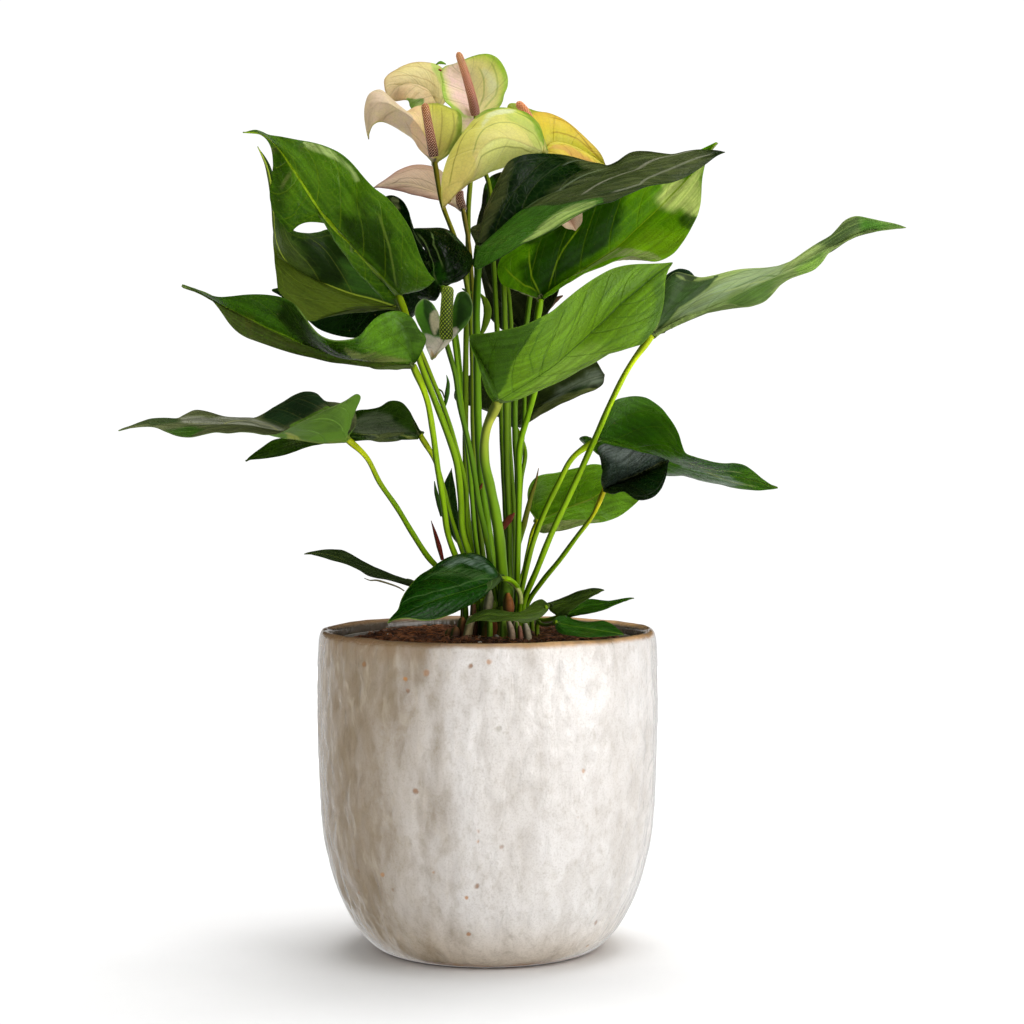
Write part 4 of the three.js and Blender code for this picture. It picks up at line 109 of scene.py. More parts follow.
  b=[(7.4,-46,186.7),(4.6,-50.4,185.1),(2,-54.7,183.3),(-0.6,-57.6,181.3),(-3.1,-59.4,179.3),(-5.7,-61.8,177.4),(-8.5,-65.6,175.9),(-11.3,-70.1,174.6),(-14.2,-74.4,173.5),(-17.2,-78,172.5),(-20.2,-81.1,171.6),(-23.3,-83.7,170.9),(-26.4,-86.1,170.6),(-29.6,-88.5,170.8),(-32.8,-90.9,171.5),(-35.9,-93,172.1),(-39.1,-94.5,172.1),(-42.3,-95.3,171.5),(-45.4,-96,170.8)]),
 'leaf_rim_left': dict(kind='leaf', fan=(0.25, 0.25),
  mid=[(-34,3.3,181.2),(-39.8,3.7,182.8),(-45.7,3.8,184.6),(-51.5,3.6,186.4),(-57.3,3.1,188.1),(-63.1,2.3,190),(-68.6,1.1,192.4),(-74,-0.4,195),(-79.6,-2.2,197),(-85.5,-4.3,197.7),(-91.3,-6.7,197.8)],
  a=[(-35.5,3.3,183.2),(-40.8,9.7,183.5),(-46.1,14.6,184.2),(-51.2,17.5,185.3),(-56.2,19.3,186.9),(-60.9,20.2,188.9),(-65.6,19.6,191.2),(-69.5,17.6,194.4),(-72.7,14.3,198),(-77.5,10.1,198.8),(-82.3,5.1,199),(-86.8,-0.5,198.5),(-91.3,-6.7,197.8)],
  b=[(-37,3.3,179.7),(-41.4,-0.8,181.4),(-45.9,-3.4,183),(-50.5,-4.8,184.4),(-55.2,-6,185.4),(-59.8,-7.4,186.7),(-63.7,-8.3,189.4),(-68,-8.4,191.6),(-72.6,-7.9,193.1),(-77.3,-7.1,194.3),(-81.9,-6.5,195.7),(-86.6,-6.4,196.9),(-91.3,-6.7,197.8)]),
 'leaf_small_front': dict(kind='leaf', fan=(0.25, 0.25),
  mid=[(28.5,-58.1,174.8),(24.7,-59.6,173.3),(20.9,-61,171.9),(17,-62.2,171),(13,-63.2,170.8),(8.9,-64.1,171),(4.9,-64.8,171.6),(0.9,-65.4,172.2),(-3,-65.8,171.3),(-6.5,-66,169.3),(-10,-66.1,167.3)],
  a=[(29.4,-58.1,176.5),(26.5,-53.3,178.2),(23,-49.4,176.8),(20.1,-47.2,174.2),(17.1,-46.9,171.9),(13.4,-47.9,171.1),(9.6,-49.9,171.7),(6,-52.5,172.9),(2.3,-55.4,173.6),(-1.4,-58.3,173.3),(-4.9,-61.2,172.3),(-7.9,-63.8,170.2),(-10,-66.1,167.3)],
  b=[(29.7,-58.1,173.4),(27.2,-61.6,171.1),(24.2,-64.2,169.4),(20.9,-66.1,168.3),(17.5,-68.2,168.1),(14.1,-70.5,169.1),(10.6,-72,169.7),(7.2,-72.4,169.4),(3.8,-71.9,168.9),(0.3,-70.8,169.3),(-3.2,-69.3,169.3),(-6.6,-67.7,168.5),(-10,-66.1,167.3)]),
 'leaf_small_right': dict(kind='leaf', fan=(0.25, 0.25),
  mid=[(30.3,-29.3,173.1),(33.1,-28.9,173.5),(35.9,-28.5,174),(38.7,-28.1,174.6),(41.4,-27.7,175.5),(44,-27.3,176.4),(46.7,-26.9,177.3),(49.4,-26.5,178.3),(52,-26.1,179.2),(54.7,-25.7,180.2),(57.4,-25.3,181.1)],
  a=[(30.2,-29.3,174.8),(32.5,-25.1,175.3),(34.8,-21.6,175.8),(37,-19.4,176.5),(39.3,-18.2,177.3),(41.4,-17.6,178.3),(43.6,-17.7,179.2),(45.9,-18.4,180),(48.2,-19.5,180.6),(50.5,-20.9,181.2),(52.8,-22.5,181.5),(55.1,-24,181.4),(57.4,-25.3,181.1)],
  b=[(30.8,-29.3,170.6),(32.9,-33,169.4),(35,-36.1,168.3),(37.4,-38.4,169.1),(39.5,-39.7,170.8),(41.6,-40.1,172.3),(43.7,-39.5,173.8),(45.8,-38.2,175.2),(48.1,-36.2,176.5),(50.4,-33.8,177.7),(52.7,-31.1,178.8),(55,-28.2,179.9),(57.4,-25.3,181.1)]),
 'leaf_small_right_back': dict(kind='leaf', fan=(0.25, 0.25),
  mid=[(38.5,-12.2,167.3),(41.7,-11.6,168.9),(45,-11,170.4),(48.4,-10.4,171.2),(52,-9.8,171.7),(55.5,-9.2,172.1),(59,-8.6,172.8),(62.5,-8,173.6),(66,-7.4,174.4),(69.5,-6.8,175.1),(73.1,-6.2,175.8)],
  a=[(38.3,-12.2,169.1),(41,-7.5,170.3),(43.7,-3.8,171.5),(46.4,-1.3,172.9),(49.2,0.3,174.2),(52.2,1.4,174.4),(55.3,1.9,174),(58.3,1.6,173.7),(61.3,0.6,173.6),(64.3,-0.8,174.2),(67.2,-2.5,174.9),(70.1,-4.3,175.4),(73.1,-6.2,175.8)],
  b=[(40,-12.2,165.8),(42.7,-16.8,166.9),(45.4,-20.4,167.8),(48.1,-22.6,168.6),(50.9,-23.3,169.3),(53.7,-23.1,169.8),(56.5,-22.1,170.5),(59.2,-20.5,171.4),(61.9,-18.3,172.4),(64.6,-15.6,173.3),(67.4,-12.6,174.1),(70.2,-9.4,175),(73.1,-6.2,175.8)]),
 'leaf_small_right_front': dict(kind='leaf', fan=(0.25, 0.25),
  mid=[(33.3,-54.4,167.3),(36.5,-55,166.7),(39.7,-55.6,166),(43,-56.2,165.5),(46.2,-56.8,165),(49.4,-57.4,164.5),(52.7,-58,164),(55.9,-58.6,163.6),(59.1,-59.2,163.1),(62.3,-59.8,162.6),(65.6,-60.4,162.1)],
  a=[(33.1,-54.4,169.2),(35.7,-49.5,170),(38.8,-45.5,169.3),(41.6,-43.1,168),(44.5,-42.2,167),(47.5,-42.6,166.5),(50.4,-43.9,166.5),(53.3,-46.1,167.1),(56.2,-48.9,167.5),(58.9,-51.9,166.8),(61.3,-54.9,165.4),(63.5,-57.7,163.8),(65.6,-60.4,162.1)],
  b=[(32.8,-54.4,164.9),(34.3,-57.9,162.8),(36.8,-60.9,161.9),(39.6,-63.1,161.7),(42.5,-64.6,161.5),(45.3,-65.6,161.2),(48.1,-66,161.1),(51,-65.8,161.2),(53.9,-65.1,161.3),(56.8,-64.1,161.4),(59.7,-62.9,161.6),(62.6,-61.7,161.8),(65.6,-60.4,162.1)]),
 'leaf_narrow_inner': dict(kind='leaf', fan=(0.25, 0.25),
  mid=[(-11.8,26,197.1),(-13.4,25.6,201.2),(-14.8,25.2,205.3),(-16.2,24.8,209.5),(-17.5,24.4,213.7),(-18.5,24,217.9),(-19.3,23.6,222.2),(-19.8,23.2,226.6),(-19.8,22.8,231),(-19.2,22.4,235.3),(-18.6,22,239.6)],
  a=[(-13.6,26,197.1),(-15.2,27.6,200.5),(-17.4,27.8,203.8),(-19.7,26.8,206.8),(-21.8,25.8,210.2),(-23.3,25.3,213.7),(-24.3,24.9,217.5),(-24.6,24.5,221.3),(-24.1,24.4,225.2),(-23.2,24.3,228.9),(-22,23.9,232.6),(-20.3,23.1,236.1),(-18.6,22,239.6)],
  b=[(-10.5,26,198.1),(-11.9,23.7,201.5),(-13,22.9,204.8),(-13.9,22.8,208.3),(-14.5,21.8,211.8),(-15.1,20.2,215.3),(-15.5,19.3,218.8),(-15.9,19.4,222.3),(-16.3,20.1,225.8),(-16.7,21.3,229.2),(-17.3,22.2,232.7),(-17.9,22.4,236.1),(-18.6,22,239.6)]),
 'leaf_hidden_behind_stalks': dict(kind='leaf', fan=(0.25, 0.25),
  mid=[(16.1,32.6,309.6),(10.7,34.9,316.8),(5.2,36.8,323.9),(0.5,38.4,331.6),(-2.2,39.7,340.1),(-3.7,40.6,349),(-4.1,41.3,358),(-3.4,41.6,366.9),(-1.5,41.6,375.6),(1.8,41.3,383.8),(6.1,40.6,391.6)],
  a=[(14,32.6,308.1),(8.8,33.8,309.2),(4.6,34.2,312.5),(1.1,33.6,316.4),(-0.2,33.1,321.5),(-1.3,33.5,326.8),(-2.4,34.6,332.1),(-3.4,36.4,337.4),(-4.6,38.7,342.8),(-5.8,40.8,348.1),(-6.5,42.2,353.5),(-6.5,42.7,358.9),(-6.1,42.3,364.2),(-5,41.8,369.4),(-3.5,41.5,374.6),(-2.9,41.5,379.9),(-1.8,41.4,385.1),(1.3,41.1,389.4),(6.1,40.6,391.6)],
  b=[(17.9,32.6,308.6),(23.1,26,310.8),(27.2,19.7,314.4),(30.6,15.5,318.7),(33.6,14.9,323.6),(35.6,18.2,329.1),(36.7,24.6,335.1),(37.4,31.7,341.3),(37.4,36.2,347.4),(36.7,38.1,353.3),(35.4,39.1,359),(33.5,39.9,364.5),(31.1,40.6,369.9),(28.1,41.1,374.9),(24.7,41.4,379.6),(20.9,41.5,384),(16.6,41.4,387.9),(11.8,41.1,391.1),(6.1,40.6,391.6)]),
 'flower_1': dict(kind='spathe', fan=(0.25, 0.25),
  mid=[(-25.9,44,425.8),(-27.5,44.4,429),(-29,44.6,432.1),(-31.2,44.4,434.7),(-34.2,43.8,436.3),(-37.5,43,437.1),(-40.9,41.8,437.3),(-44.2,40.4,436.3),(-47.1,38.6,434.4),(-49.2,36.4,431.4),(-50.6,34,428.1)],
  a=[(-23.8,44,425.8),(-21.7,47.5,429.2),(-20.4,50.9,433),(-20.2,53.2,437),(-20.7,54,440.7),(-22,54.2,444.1),(-24.3,54.6,447),(-27.4,55.4,449.1),(-31,56.1,450.1),(-34.7,56.2,450.3),(-38.3,55.5,449.9),(-41.9,53.9,448.9),(-45.2,51.7,447.3),(-48.2,48.6,444.9),(-51.1,44.7,442.5),(-53.3,40.9,439.3),(-53.3,38.1,435.3),(-52.4,36,431.5),(-50.6,34,428.1)],
  b=[(-28,44,423.8),(-29.3,40.3,423.1),(-30.6,36.3,422.3),(-31.9,32.9,421.8),(-33.3,31,421.6),(-34.8,30.2,421.7),(-36.2,30.2,422),(-37.7,30.9,422.3),(-39,31.8,423),(-39.8,32.5,424.3),(-40.1,32.9,425.7),(-40.8,33.4,427.1),(-42.2,34.5,427.6),(-43.7,36.3,427.8),(-45.2,37.9,427.7),(-46.7,38.5,427.5),(-48.1,37.7,427.5),(-49.4,36,427.8),(-50.6,34,428.1)]),
 'flower_2': dict(kind='spathe', fan=(0.25, 0.25),
  mid=[(-6.4,14,416.9),(-6.5,16.4,420.1),(-6.7,18.6,423.2),(-7.1,20.4,426.3),(-7.5,21.8,429.4),(-8.1,23,432.4),(-8.8,23.8,435.4),(-9.6,24.4,438.2),(-10.6,24.6,441),(-11.6,24.4,443.7),(-12.6,24,446.4)],
  a=[(-4.4,14,416.4),(0,19,418.5),(4.2,22.7,421.1),(6.7,24.7,425.2),(7.8,24.7,429.8),(9.3,23.3,434.1),(9.6,21.9,438.5),(8,21.9,442.9),(5.2,22.9,446.8),(1.1,23.8,449.1),(-3.6,24.3,449.3),(-8.2,24.3,448.2),(-12.6,24,446.4)],
  b=[(-7.4,14,414.4),(-9.3,9.2,409.3),(-12.8,4.5,406.2),(-15.4,1.4,409.7),(-16.6,1,414.2),(-18.6,3.9,418.9),(-21.9,9.1,423.2),(-23.1,15.3,428.7),(-23.1,20.5,434.3),(-24.2,23.4,439.5),(-21.8,24.3,443.1),(-17.1,24.3,444.6),(-12.6,24,446.4)]),
 'flower_3': dict(kind='spathe', fan=(0.25, 0.25),
  mid=[(-25.5,-19.3,390.2),(-27.8,-18.1,396.2),(-30.2,-16.9,402.2),(-33.3,-15.7,407.8),(-37.4,-14.5,412.7),(-42.8,-13.3,416.3),(-48.4,-12.1,419.4),(-54.5,-10.9,419.8),(-57.9,-9.7,414.8),(-59,-8.5,408.7),(-59.1,-7.3,402.5)],
  a=[(-24.5,-19.3,390),(-19.7,-17.3,393.2),(-16.2,-16.8,397.8),(-13.6,-17.8,402.7),(-12.3,-18.8,408.2),(-12.8,-18.4,413.8),(-17.9,-15.5,416.9),(-23.5,-10.1,419.4),(-29.5,-3.9,420.1),(-35.3,0.5,419.4),(-40.5,2.3,416.9),(-45,1.9,420),(-48.8,0.4,424.1),(-53.2,-1.3,427.5),(-58.3,-2.4,425.5),(-60.5,-3.3,420.1),(-60.9,-4.4,414.2),(-60.1,-5.8,408.3),(-59.1,-7.3,402.5)],
  b=[(-26.9,-19.3,390.7),(-29,-15.2,392.7),(-31,-11.1,394.8),(-32.7,-7.9,397),(-34,-5.9,399.5),(-35.2,-4.3,401.8),(-36.9,-2.6,403.9),(-38.9,-1.1,405.7),(-41,-0.3,407.3),(-43.2,-0.1,408.6),(-45.4,-0.4,409.7),(-47.6,-1.2,410.7),(-49.8,-2.8,411.5),(-52.1,-5.7,411.5),(-54.4,-8.6,410.7),(-56.3,-9.8,409.1),(-57.6,-9.3,407),(-58.4,-8.3,404.8),(-59.1,-7.3,402.5)]),
 'flower_4': dict(kind='spathe', fan=(0.25, 0.25),
  mid=[(28.2,-34.4,392.7),(21.9,-38.2,395.2),(15.6,-41.5,397.5),(9,-44.3,399),(2.4,-46.6,397.4),(-2.7,-48.4,392.7),(-5.6,-49.8,386.5),(-8.5,-50.7,380.2),(-12.1,-51.1,374.4),(-16.4,-51,369.2),(-20.8,-50.4,364)],
  a=[(29.7,-34,394.4),(28.1,-27.8,400.2),(26.3,-22,406),(23.5,-18.2,411.1),(19.2,-16.9,414.6),(13.9,-16.9,416),(8.5,-17.3,416.9),(3,-17.9,416.8),(-2.1,-18.7,415),(-6.1,-19.8,411.1),(-9.6,-22,406.7),(-13,-25.3,402.1),(-15.9,-29.7,397.1),(-18.3,-35.1,391.7),(-20.1,-41.1,386.1),(-21.2,-46.1,380.3),(-21.6,-48.9,374.8),(-21.5,-49.9,369.3),(-20.8,-50.4,364)],
  b=[(27.2,-34.1,391.5),(24.2,-28.6,392.6),(21,-23.1,393.1),(17.9,-18.9,393),(14.8,-16.9,392.4),(11.7,-16.7,391.4),(8.7,-17.9,390),(6,-20.5,387.9),(3.4,-24.5,385.6),(0.7,-29.8,383.4),(-2,-35.2,381.3),(-4.8,-39.2,379.5),(-7.5,-41.1,377.8),(-10.2,-42.1,375.9),(-12.7,-43.5,373.9),(-15.3,-45.3,372),(-17.4,-47.3,369.5),(-19.1,-49,366.8),(-20.8,-50.4,364)]),
 'flower_5': dict(kind='spathe', fan=(0.25, 0.25),
  mid=[(26.4,18,396.8),(28.6,20.6,400.4),(31,22.6,403.9),(34.7,24.2,405.4),(38.7,25.4,404.9),(42.6,26,403.8),(46.3,26.2,402.3),(49.9,25.8,400.3),(53.3,25,398.2),(56.5,23.8,395.7),(59.7,22,393.2)],
  a=[(23.9,18,398.8),(19.9,18.2,402),(16.2,18.2,405.5),(13.3,18.1,409.6),(10.9,18.3,414.1),(9.5,19,419.1),(10.8,20.5,423.9),(15.7,23.8,424.3),(20.3,28.7,422.6),(25.2,33.1,421.8),(30.4,35.3,421.4),(35.2,35.6,419.6),(39.8,35.2,417.1),(43.9,34.1,414),(47.7,32.5,410.3),(51.3,30.2,406.5),(54.9,27.3,402.6),(57.9,24.4,398.2),(59.7,22,393.2)],
  b=[(28.9,18,394.8),(30.5,14,393.9),(32.1,9.7,392.9),(33.7,6.1,392.1),(35.3,4.3,391.7),(37,4.1,391.5),(38.7,5.3,391.6),(40.5,7.7,391.7),(42.2,10.4,392),(44,12.9,392.2),(45.8,14.9,392.4),(47.5,16.6,392.6),(49.3,18.1,392.7),(51.1,19.4,392.9),(52.8,20.6,393),(54.6,21.5,393.1),(56.3,22,393.2),(58,22.2,393.2),(59.7,22,393.2)]),
 'flower_6': dict(kind='spathe', fan=(0.25, 0.25),
  mid=[(-12.2,2,369.2),(-16,1.7,372.1),(-19.9,1.3,374.9),(-24.2,0.7,377),(-28.6,-0.1,378.8),(-33,-1,380.4),(-37.6,-2.1,381.6),(-42.3,-3.3,381.8),(-47.1,-4.7,381.3),(-51.7,-6.3,380.3),(-56.3,-8,379.1)],
  a=[(-11.7,2,371.2),(-13.6,7.7,376.2),(-16.2,12,380.8),(-19.1,14.1,385),(-22.5,14.7,388.6),(-26.5,14.4,391.3),(-31.2,13.4,392.3),(-36,11.6,392.1),(-40.7,9.2,391),(-45,6,388.7),(-48.8,2.1,385.5),(-52.5,-2.7,382.3),(-56.3,-8,379.1)],
  b=[(-13.7,2,368.7),(-16.9,-2,370),(-20.2,-4.8,371.4),(-23.6,-6.4,372.6),(-27.2,-7.5,373.4),(-30.8,-8.4,374.1),(-34.4,-8.8,374.9),(-38,-8.6,375.8),(-41.6,-7.9,376.8),(-45.3,-7.3,377.7),(-49,-7,378.4),(-52.6,-7.3,378.8),(-56.3,-8,379.1)]),
 'flower_7': dict(kind='spathe', fan=(0.25, 0.25),
  mid=[(36,-9.7,368.6),(36.9,-10.3,367.6),(37.8,-10.9,366.6),(38.7,-11.5,365.5),(39.5,-12.1,364.4),(40.3,-12.7,363.3),(41,-13.3,362.1),(41.7,-13.9,360.9),(42.4,-14.5,359.7),(43,-15.1,358.5),(43.7,-15.7,357.3)],
  a=[(37.9,-9.7,371.1),(39.7,-11.5,371),(41.4,-13.2,371),(43.1,-14.4,370.7),(44.6,-15.1,369.8),(45.7,-15.5,368.4),(46.5,-15.7,366.8),(46.8,-15.5,365.1),(46.9,-14.8,363.4),(46.8,-14.3,361.7),(46.1,-14.3,360.1),(44.9,-14.9,358.7),(43.7,-15.7,357.3)],
  b=[(34.5,-9.7,366.2),(34.8,-12.3,364.8),(35,-14.7,363.5),(35.3,-16.5,362.2),(35.8,-17.6,361.1),(36.4,-18.2,360.1),(37.2,-18.3,359.2),(38.1,-18.1,358.5),(39.1,-17.8,358),(40.2,-17.3,357.7),(41.4,-16.8,357.6),(42.6,-16.2,357.5),(43.7,-15.7,357.3)]),
 'flower_8': dict(kind='spathe', fan=(0.25, 0.25),
  mid=[(-18.8,-68,300.6),(-19.6,-68.6,299.8),(-20.3,-69.2,299.1),(-21,-69.8,298.3),(-21.7,-70.4,297.5),(-22.4,-71,296.7),(-23.1,-71.6,295.9),(-23.8,-72.2,295.1),(-24.3,-72.8,294.2),(-24.9,-73.4,293.3),(-25.5,-74,292.4)],
  a=[(-20,-68,302),(-21.2,-68,306.3),(-22.2,-68,310.7),(-23.4,-68.2,315.1),(-25.6,-68.6,318.9),(-29.5,-69.1,320.7),(-32.8,-69.7,317.8),(-33.6,-70.4,313.4),(-32.3,-71.1,309),(-30.2,-71.8,305.1),(-29,-72.5,300.7),(-27.5,-73.2,296.5),(-25.5,-74,292.4)],
  b=[(-17.4,-68,301.7),(-15.1,-68,306.9),(-14.2,-68,312.5),(-13.4,-68.2,318.1),(-12.1,-68.6,323.6),(-8.5,-69.1,323.6),(-6.1,-69.7,318.5),(-6.4,-70.4,312.9),(-9,-71.1,307.9),(-12.9,-71.8,303.8),(-17,-72.5,299.9),(-21.2,-73.2,296.1),(-25.5,-74,292.4)]),
}
STALKS = {
 'leaf_upper_left': ((1.7, 2.0), [(-41.8,-60,323.5),(-36.3,-55,308),(-31.8,-50.1,291.9),(-25.9,-45.3,276.1),(-20,-40.5,260.2),(-14.8,-35.8,243.8),(-12.8,-31.2,226.7),(-11.9,-26.7,209.3),(-6.9,-22.3,192.4),(-2.7,-17.9,175.2),(-2.7,-17.9,159.5)]),
 'leaf_upper_left_back': ((1.6, 1.9), [(-42.7,-24,318.7),(-34.4,-21.5,301.9),(-27.1,-18.9,284.5),(-20.3,-16.4,266.9),(-14.9,-14,248.6),(-10.7,-11.6,230),(-10,-9.2,210.8),(-5.2,-6.8,192.1),(-0.7,-4.8,173.2),(-0.7,-4.8,165.1)]),
 'leaf_middle_left': ((1.7, 2.0), [(-34.2,-72,289.4),(-28.3,-63.4,274.5),(-25.5,-55,258.2),(-23.6,-46.7,241.6),(-21.1,-38.6,224.8),(-18.9,-30.7,207.8),(-13.1,-23,191.4),(-6.7,-15.4,175),(-6.7,-15.4,159.7)]),
 'leaf_low_left': ((1.7, 2.0), [(-65.1,-88,255.8),(-56,-77.1,246.6),(-50.2,-66.4,234.2),(-42.7,-55.9,222.3),(-35.8,-45.6,209.7),(-28.3,-35.6,197.2),(-18.8,-25.8,186.1),(-11.3,-16.1,173.1),(-11.3,-16.1,156.9)]),
 'leaf_low_left_back': ((1.5, 1.8), [(-32.4,-34,256.7),(-25.4,-29.7,244.5),(-21.2,-25.4,230.5),(-17.7,-21.3,216.1),(-13.3,-17.3,201.9),(-8.4,-13.4,187.8),(-4.8,-9.5,173.1),(-4.8,-9.5,162.9)]),
 'leaf_centre_curled': ((1.5, 1.8), [(-21.1,-52,327.8),(-16.9,-47.4,311.8),(-14.7,-42.9,295.3),(-13,-38.4,278.5),(-11.1,-34,261.5),(-9,-29.7,244.5),(-7.5,-25.5,227.2),(-6.2,-21.4,209.8),(-4.1,-17.3,192.4),(-1.5,-13.2,174.8),(-1.5,-13.2,162.4)]),
 'leaf_top_right': ((2.3, 2.5), [(-3.4,-57,346.4),(-4.2,-51.7,330),(-4.8,-46.6,313.5),(-4.7,-41.6,296.7),(-4.6,-36.9,279.8),(-4.3,-32.4,262.8),(-3.4,-28.2,245.6),(-2,-24.1,228.3),(0.4,-20.2,211),(2.5,-16.4,193.5),(4.1,-12.6,175.8),(4.1,-12.6,163.4)]),
 'leaf_bright_back': ((1.7, 2.0), [(26.2,-17.2,323.4),(23.8,-14.7,305.4),(25.1,-12.9,286.9),(21,-11.8,268.9),(16,-11.1,251),(15.7,-10.6,232.3),(15.5,-10.2,213.6),(15.1,-9.7,194.9),(14.7,-4.7,175.7),(14.7,-4.7,163.8)]),
 'leaf_front': ((1.9, 2.1), [(5.8,-88,272.2),(0.3,-77.1,259.8),(-0.8,-66.4,246.2),(1.8,-55.9,232.4),(4.4,-45.8,218.3),(6.3,-35.9,203.9),(7.3,-26.2,189.1),(8.2,-16.2,174.1),(8.2,-16.2,161.4)]),
 'leaf_long_right': ((1.8, 2.1), [(79.8,-40,304.7),(69.4,-36.1,290.3),(61.2,-32.3,274.3),(54,-28.5,257.7),(46.7,-24.8,241),(39.1,-21.3,224.3),(31.5,-17.8,207.5),(24.7,-14.3,190.2),(17.9,-10.7,172.7),(17.9,-10.7,161)]),
 'leaf_hidden_behind_front': ((1.5, 1.8), [(13.3,50.2,261.5),(19,43.4,247.9),(16.9,37.1,232.9),(16.1,31.2,217.9),(15.2,25.8,203.1),(13.9,20.6,188.3),(12.3,15.2,173.8),(12.3,15.2,159.2)]),
 'leaf_lower_right': ((1.7, 2.0), [(54.2,-2,254),(42.5,-1.7,245.2),(35.1,-1.4,231.6),(28.4,-1.1,217.7),(22.9,-0.8,203.2),(19.1,-0.5,188.2),(16.2,-0.2,172.9),(16.2,-0.2,163.4)]),
 'leaf_lower_right_cup': ((1.5, 1.8), [(57.3,-30,230.1),(51.9,-25,217.5),(43.8,-20,206.2),(35.7,-15.1,194.7),(27,-10.3,183.5),(19.5,-6.4,171.4),(19.5,-6.4,161.4)]),
 'leaf_low_right_back': ((1.4, 1.7), [(25.6,28.5,212.9),(22.3,28.4,205),(20.3,24.1,196.9),(18.6,19,188.8),(16.2,14.1,181),(13.8,9.5,173.2),(13.8,9.5,161.9)]),
 'leaf_low_front': ((1.4, 1.7), [(6.8,-46,187.9),(10.9,-39.4,186.7),(14.2,-32.9,183.8),(16,-26.7,179.5),(16.2,-20.6,174.8),(15.9,-14.7,170),(15.9,-14.7,160.1)]),
 'leaf_rim_left': ((1.2, 1.5), [(-34,3.3,181.2),(-29.3,4.9,180),(-24.7,4.4,178.6),(-20.2,3.5,176.8),(-16.4,2.6,173.9),(-12.8,1.7,170.7),(-12.8,1.7,160)]),
 'leaf_small_front': ((1.2, 1.4), [(28.5,-58.1,174.8),(27.3,-49,172.3),(25.8,-40.4,170),(24.1,-32.1,168),(22,-24,167.3),(19.8,-16,167.1),(19.8,-16,157.6)]),
 'leaf_small_right': ((1.1, 1.4), [(30.3,-29.3,173.1),(28.7,-23.4,171.8),(27.2,-19.9,170.7),(25.7,-16.4,169.3),(24,-12.8,168.3),(22.3,-9.1,168.6),(22.3,-9.1,159.1)]),
 'leaf_small_right_back': ((1.1, 1.4), [(38.5,-12.2,167.3),(35.3,-8.6,166),(32,-6.8,165),(28.6,-5.4,164.3),(25.2,-4.1,164.5),(21.8,-2.8,165.1),(21.8,-2.8,160.5)]),
 'leaf_small_right_front': ((1.1, 1.4), [(33.3,-54.4,167.3),(31.8,-44.7,165.8),(30.1,-36,164.5),(28.3,-28.2,163.7),(26.5,-20.9,163.5),(24.8,-14,163.5),(24.8,-14,155.5)]),
 'leaf_narrow_inner': ((1.1, 1.4), [(-11.8,26,197.1),(-9.9,22.2,191.5),(-7.4,18.4,186.1),(-4.7,14.8,180.9),(-2.3,11.3,175.6),(0.2,7.9,170.3),(0.2,7.9,163.6)]),
 'leaf_hidden_behind_stalks': ((1.5, 1.8), [(16.1,32.6,309.6),(17.5,28.5,292.7),(18.6,25.2,275.8),(18,22,258.9),(16.2,18.9,242.2),(14.5,15.8,225.6),(13.5,12.8,208.9),(11.2,9.7,192.5),(7.5,8,176.3),(7.5,8,163.8)]),
 'leaf_hidden_left': ((1.4, 1.8), [(-29.2,16,343.8),(-20.7,14.8,326.6),(-16.1,13.7,307.7),(-13.8,12.6,288.5),(-12.2,11.6,269.1),(-10.6,10.5,249.8),(-8.6,9.5,230.6),(-6.4,8.2,211.3),(-3.1,6.9,192.3),(1.3,4.2,173.6),(1.3,4.2,164.9)]),
 'flower_1': ((1.5, 1.8), [(-25.9,44,425.8),(-10.8,40.7,407.2),(0.1,37.4,386.3),(1.5,34.4,362.5),(3.1,31.3,338.8),(4.3,28.4,315.2),(5.7,25.6,291.7),(6.8,22.9,268.2),(7.7,20.3,244.8),(8.8,17.6,221.5),(9.8,15.1,198.2),(10,11.5,175.1),(10,11.5,161.9)]),
 'flower_2': ((1.6, 1.9), [(-6.4,14,416.9),(-7.6,12.9,394.8),(-9.5,11.8,372.7),(-9.9,10.7,350.6),(-10,9.6,328.5),(-10.8,8.5,306.5),(-11.1,7.4,284.4),(-11.1,6.4,262.3),(-11,5.3,240.2),(-10.3,4.5,218.2),(-7.4,3.7,196.3),(-3.3,3.9,174.6),(-3.3,3.9,164)]),
 'flower_3': ((1.5, 1.8), [(-25.5,-19.3,390.2),(-22.2,-18.9,370.9),(-15.6,-18.5,352.6),(-10.6,-18,333.6),(-8.1,-17.3,314.2),(-7.3,-16.4,294.5),(-7.1,-15.5,274.8),(-6.7,-14.4,255),(-5.8,-13.2,235.2),(-4.2,-11.9,215.3),(-2,-10.6,195.4),(0.6,-9,175.5),(0.6,-9,164.4)]),
 'flower_4': ((1.7, 2.0), [(28.2,-34.4,392.7),(21.2,-25.8,375),(12.8,-17.2,357.6),(8.4,-12.6,338.3),(8.5,-11.8,318.1),(9.1,-11.1,297.9),(9.3,-10.5,277.6),(9.4,-9.7,257.2),(9.8,-8.8,236.8),(10.7,-7.7,216.4),(11,-6.6,195.9),(11.2,-8.4,175.5),(11.2,-8.4,164.1)]),
 'flower_5': ((1.6, 1.9), [(26.4,18,396.8),(26.6,16.7,376.5),(24.7,15.5,356.4),(22.4,14.3,336.2),(20,13,316.2),(16.9,11.8,296.2),(13.9,10.6,276.2),(13.8,9.5,256.1),(15,8.3,235.9),(15.1,7.1,215.8),(14.5,6,195.7),(13.8,5,175.5),(13.8,5,163.4)]),
 'flower_6': ((1.4, 1.7), [(-12.2,2,369.2),(-9,1.8,350),(-7.6,1.6,330.6),(-6.9,1.4,311.1),(-6.5,1.3,291.5),(-5.7,1.1,272),(-4.9,0.9,252.4),(-3.6,0.7,232.9),(-1.5,0.6,213.4),(0.9,0.4,193.9),(2.8,0.2,174.4),(2.8,0.2,165.7)]),
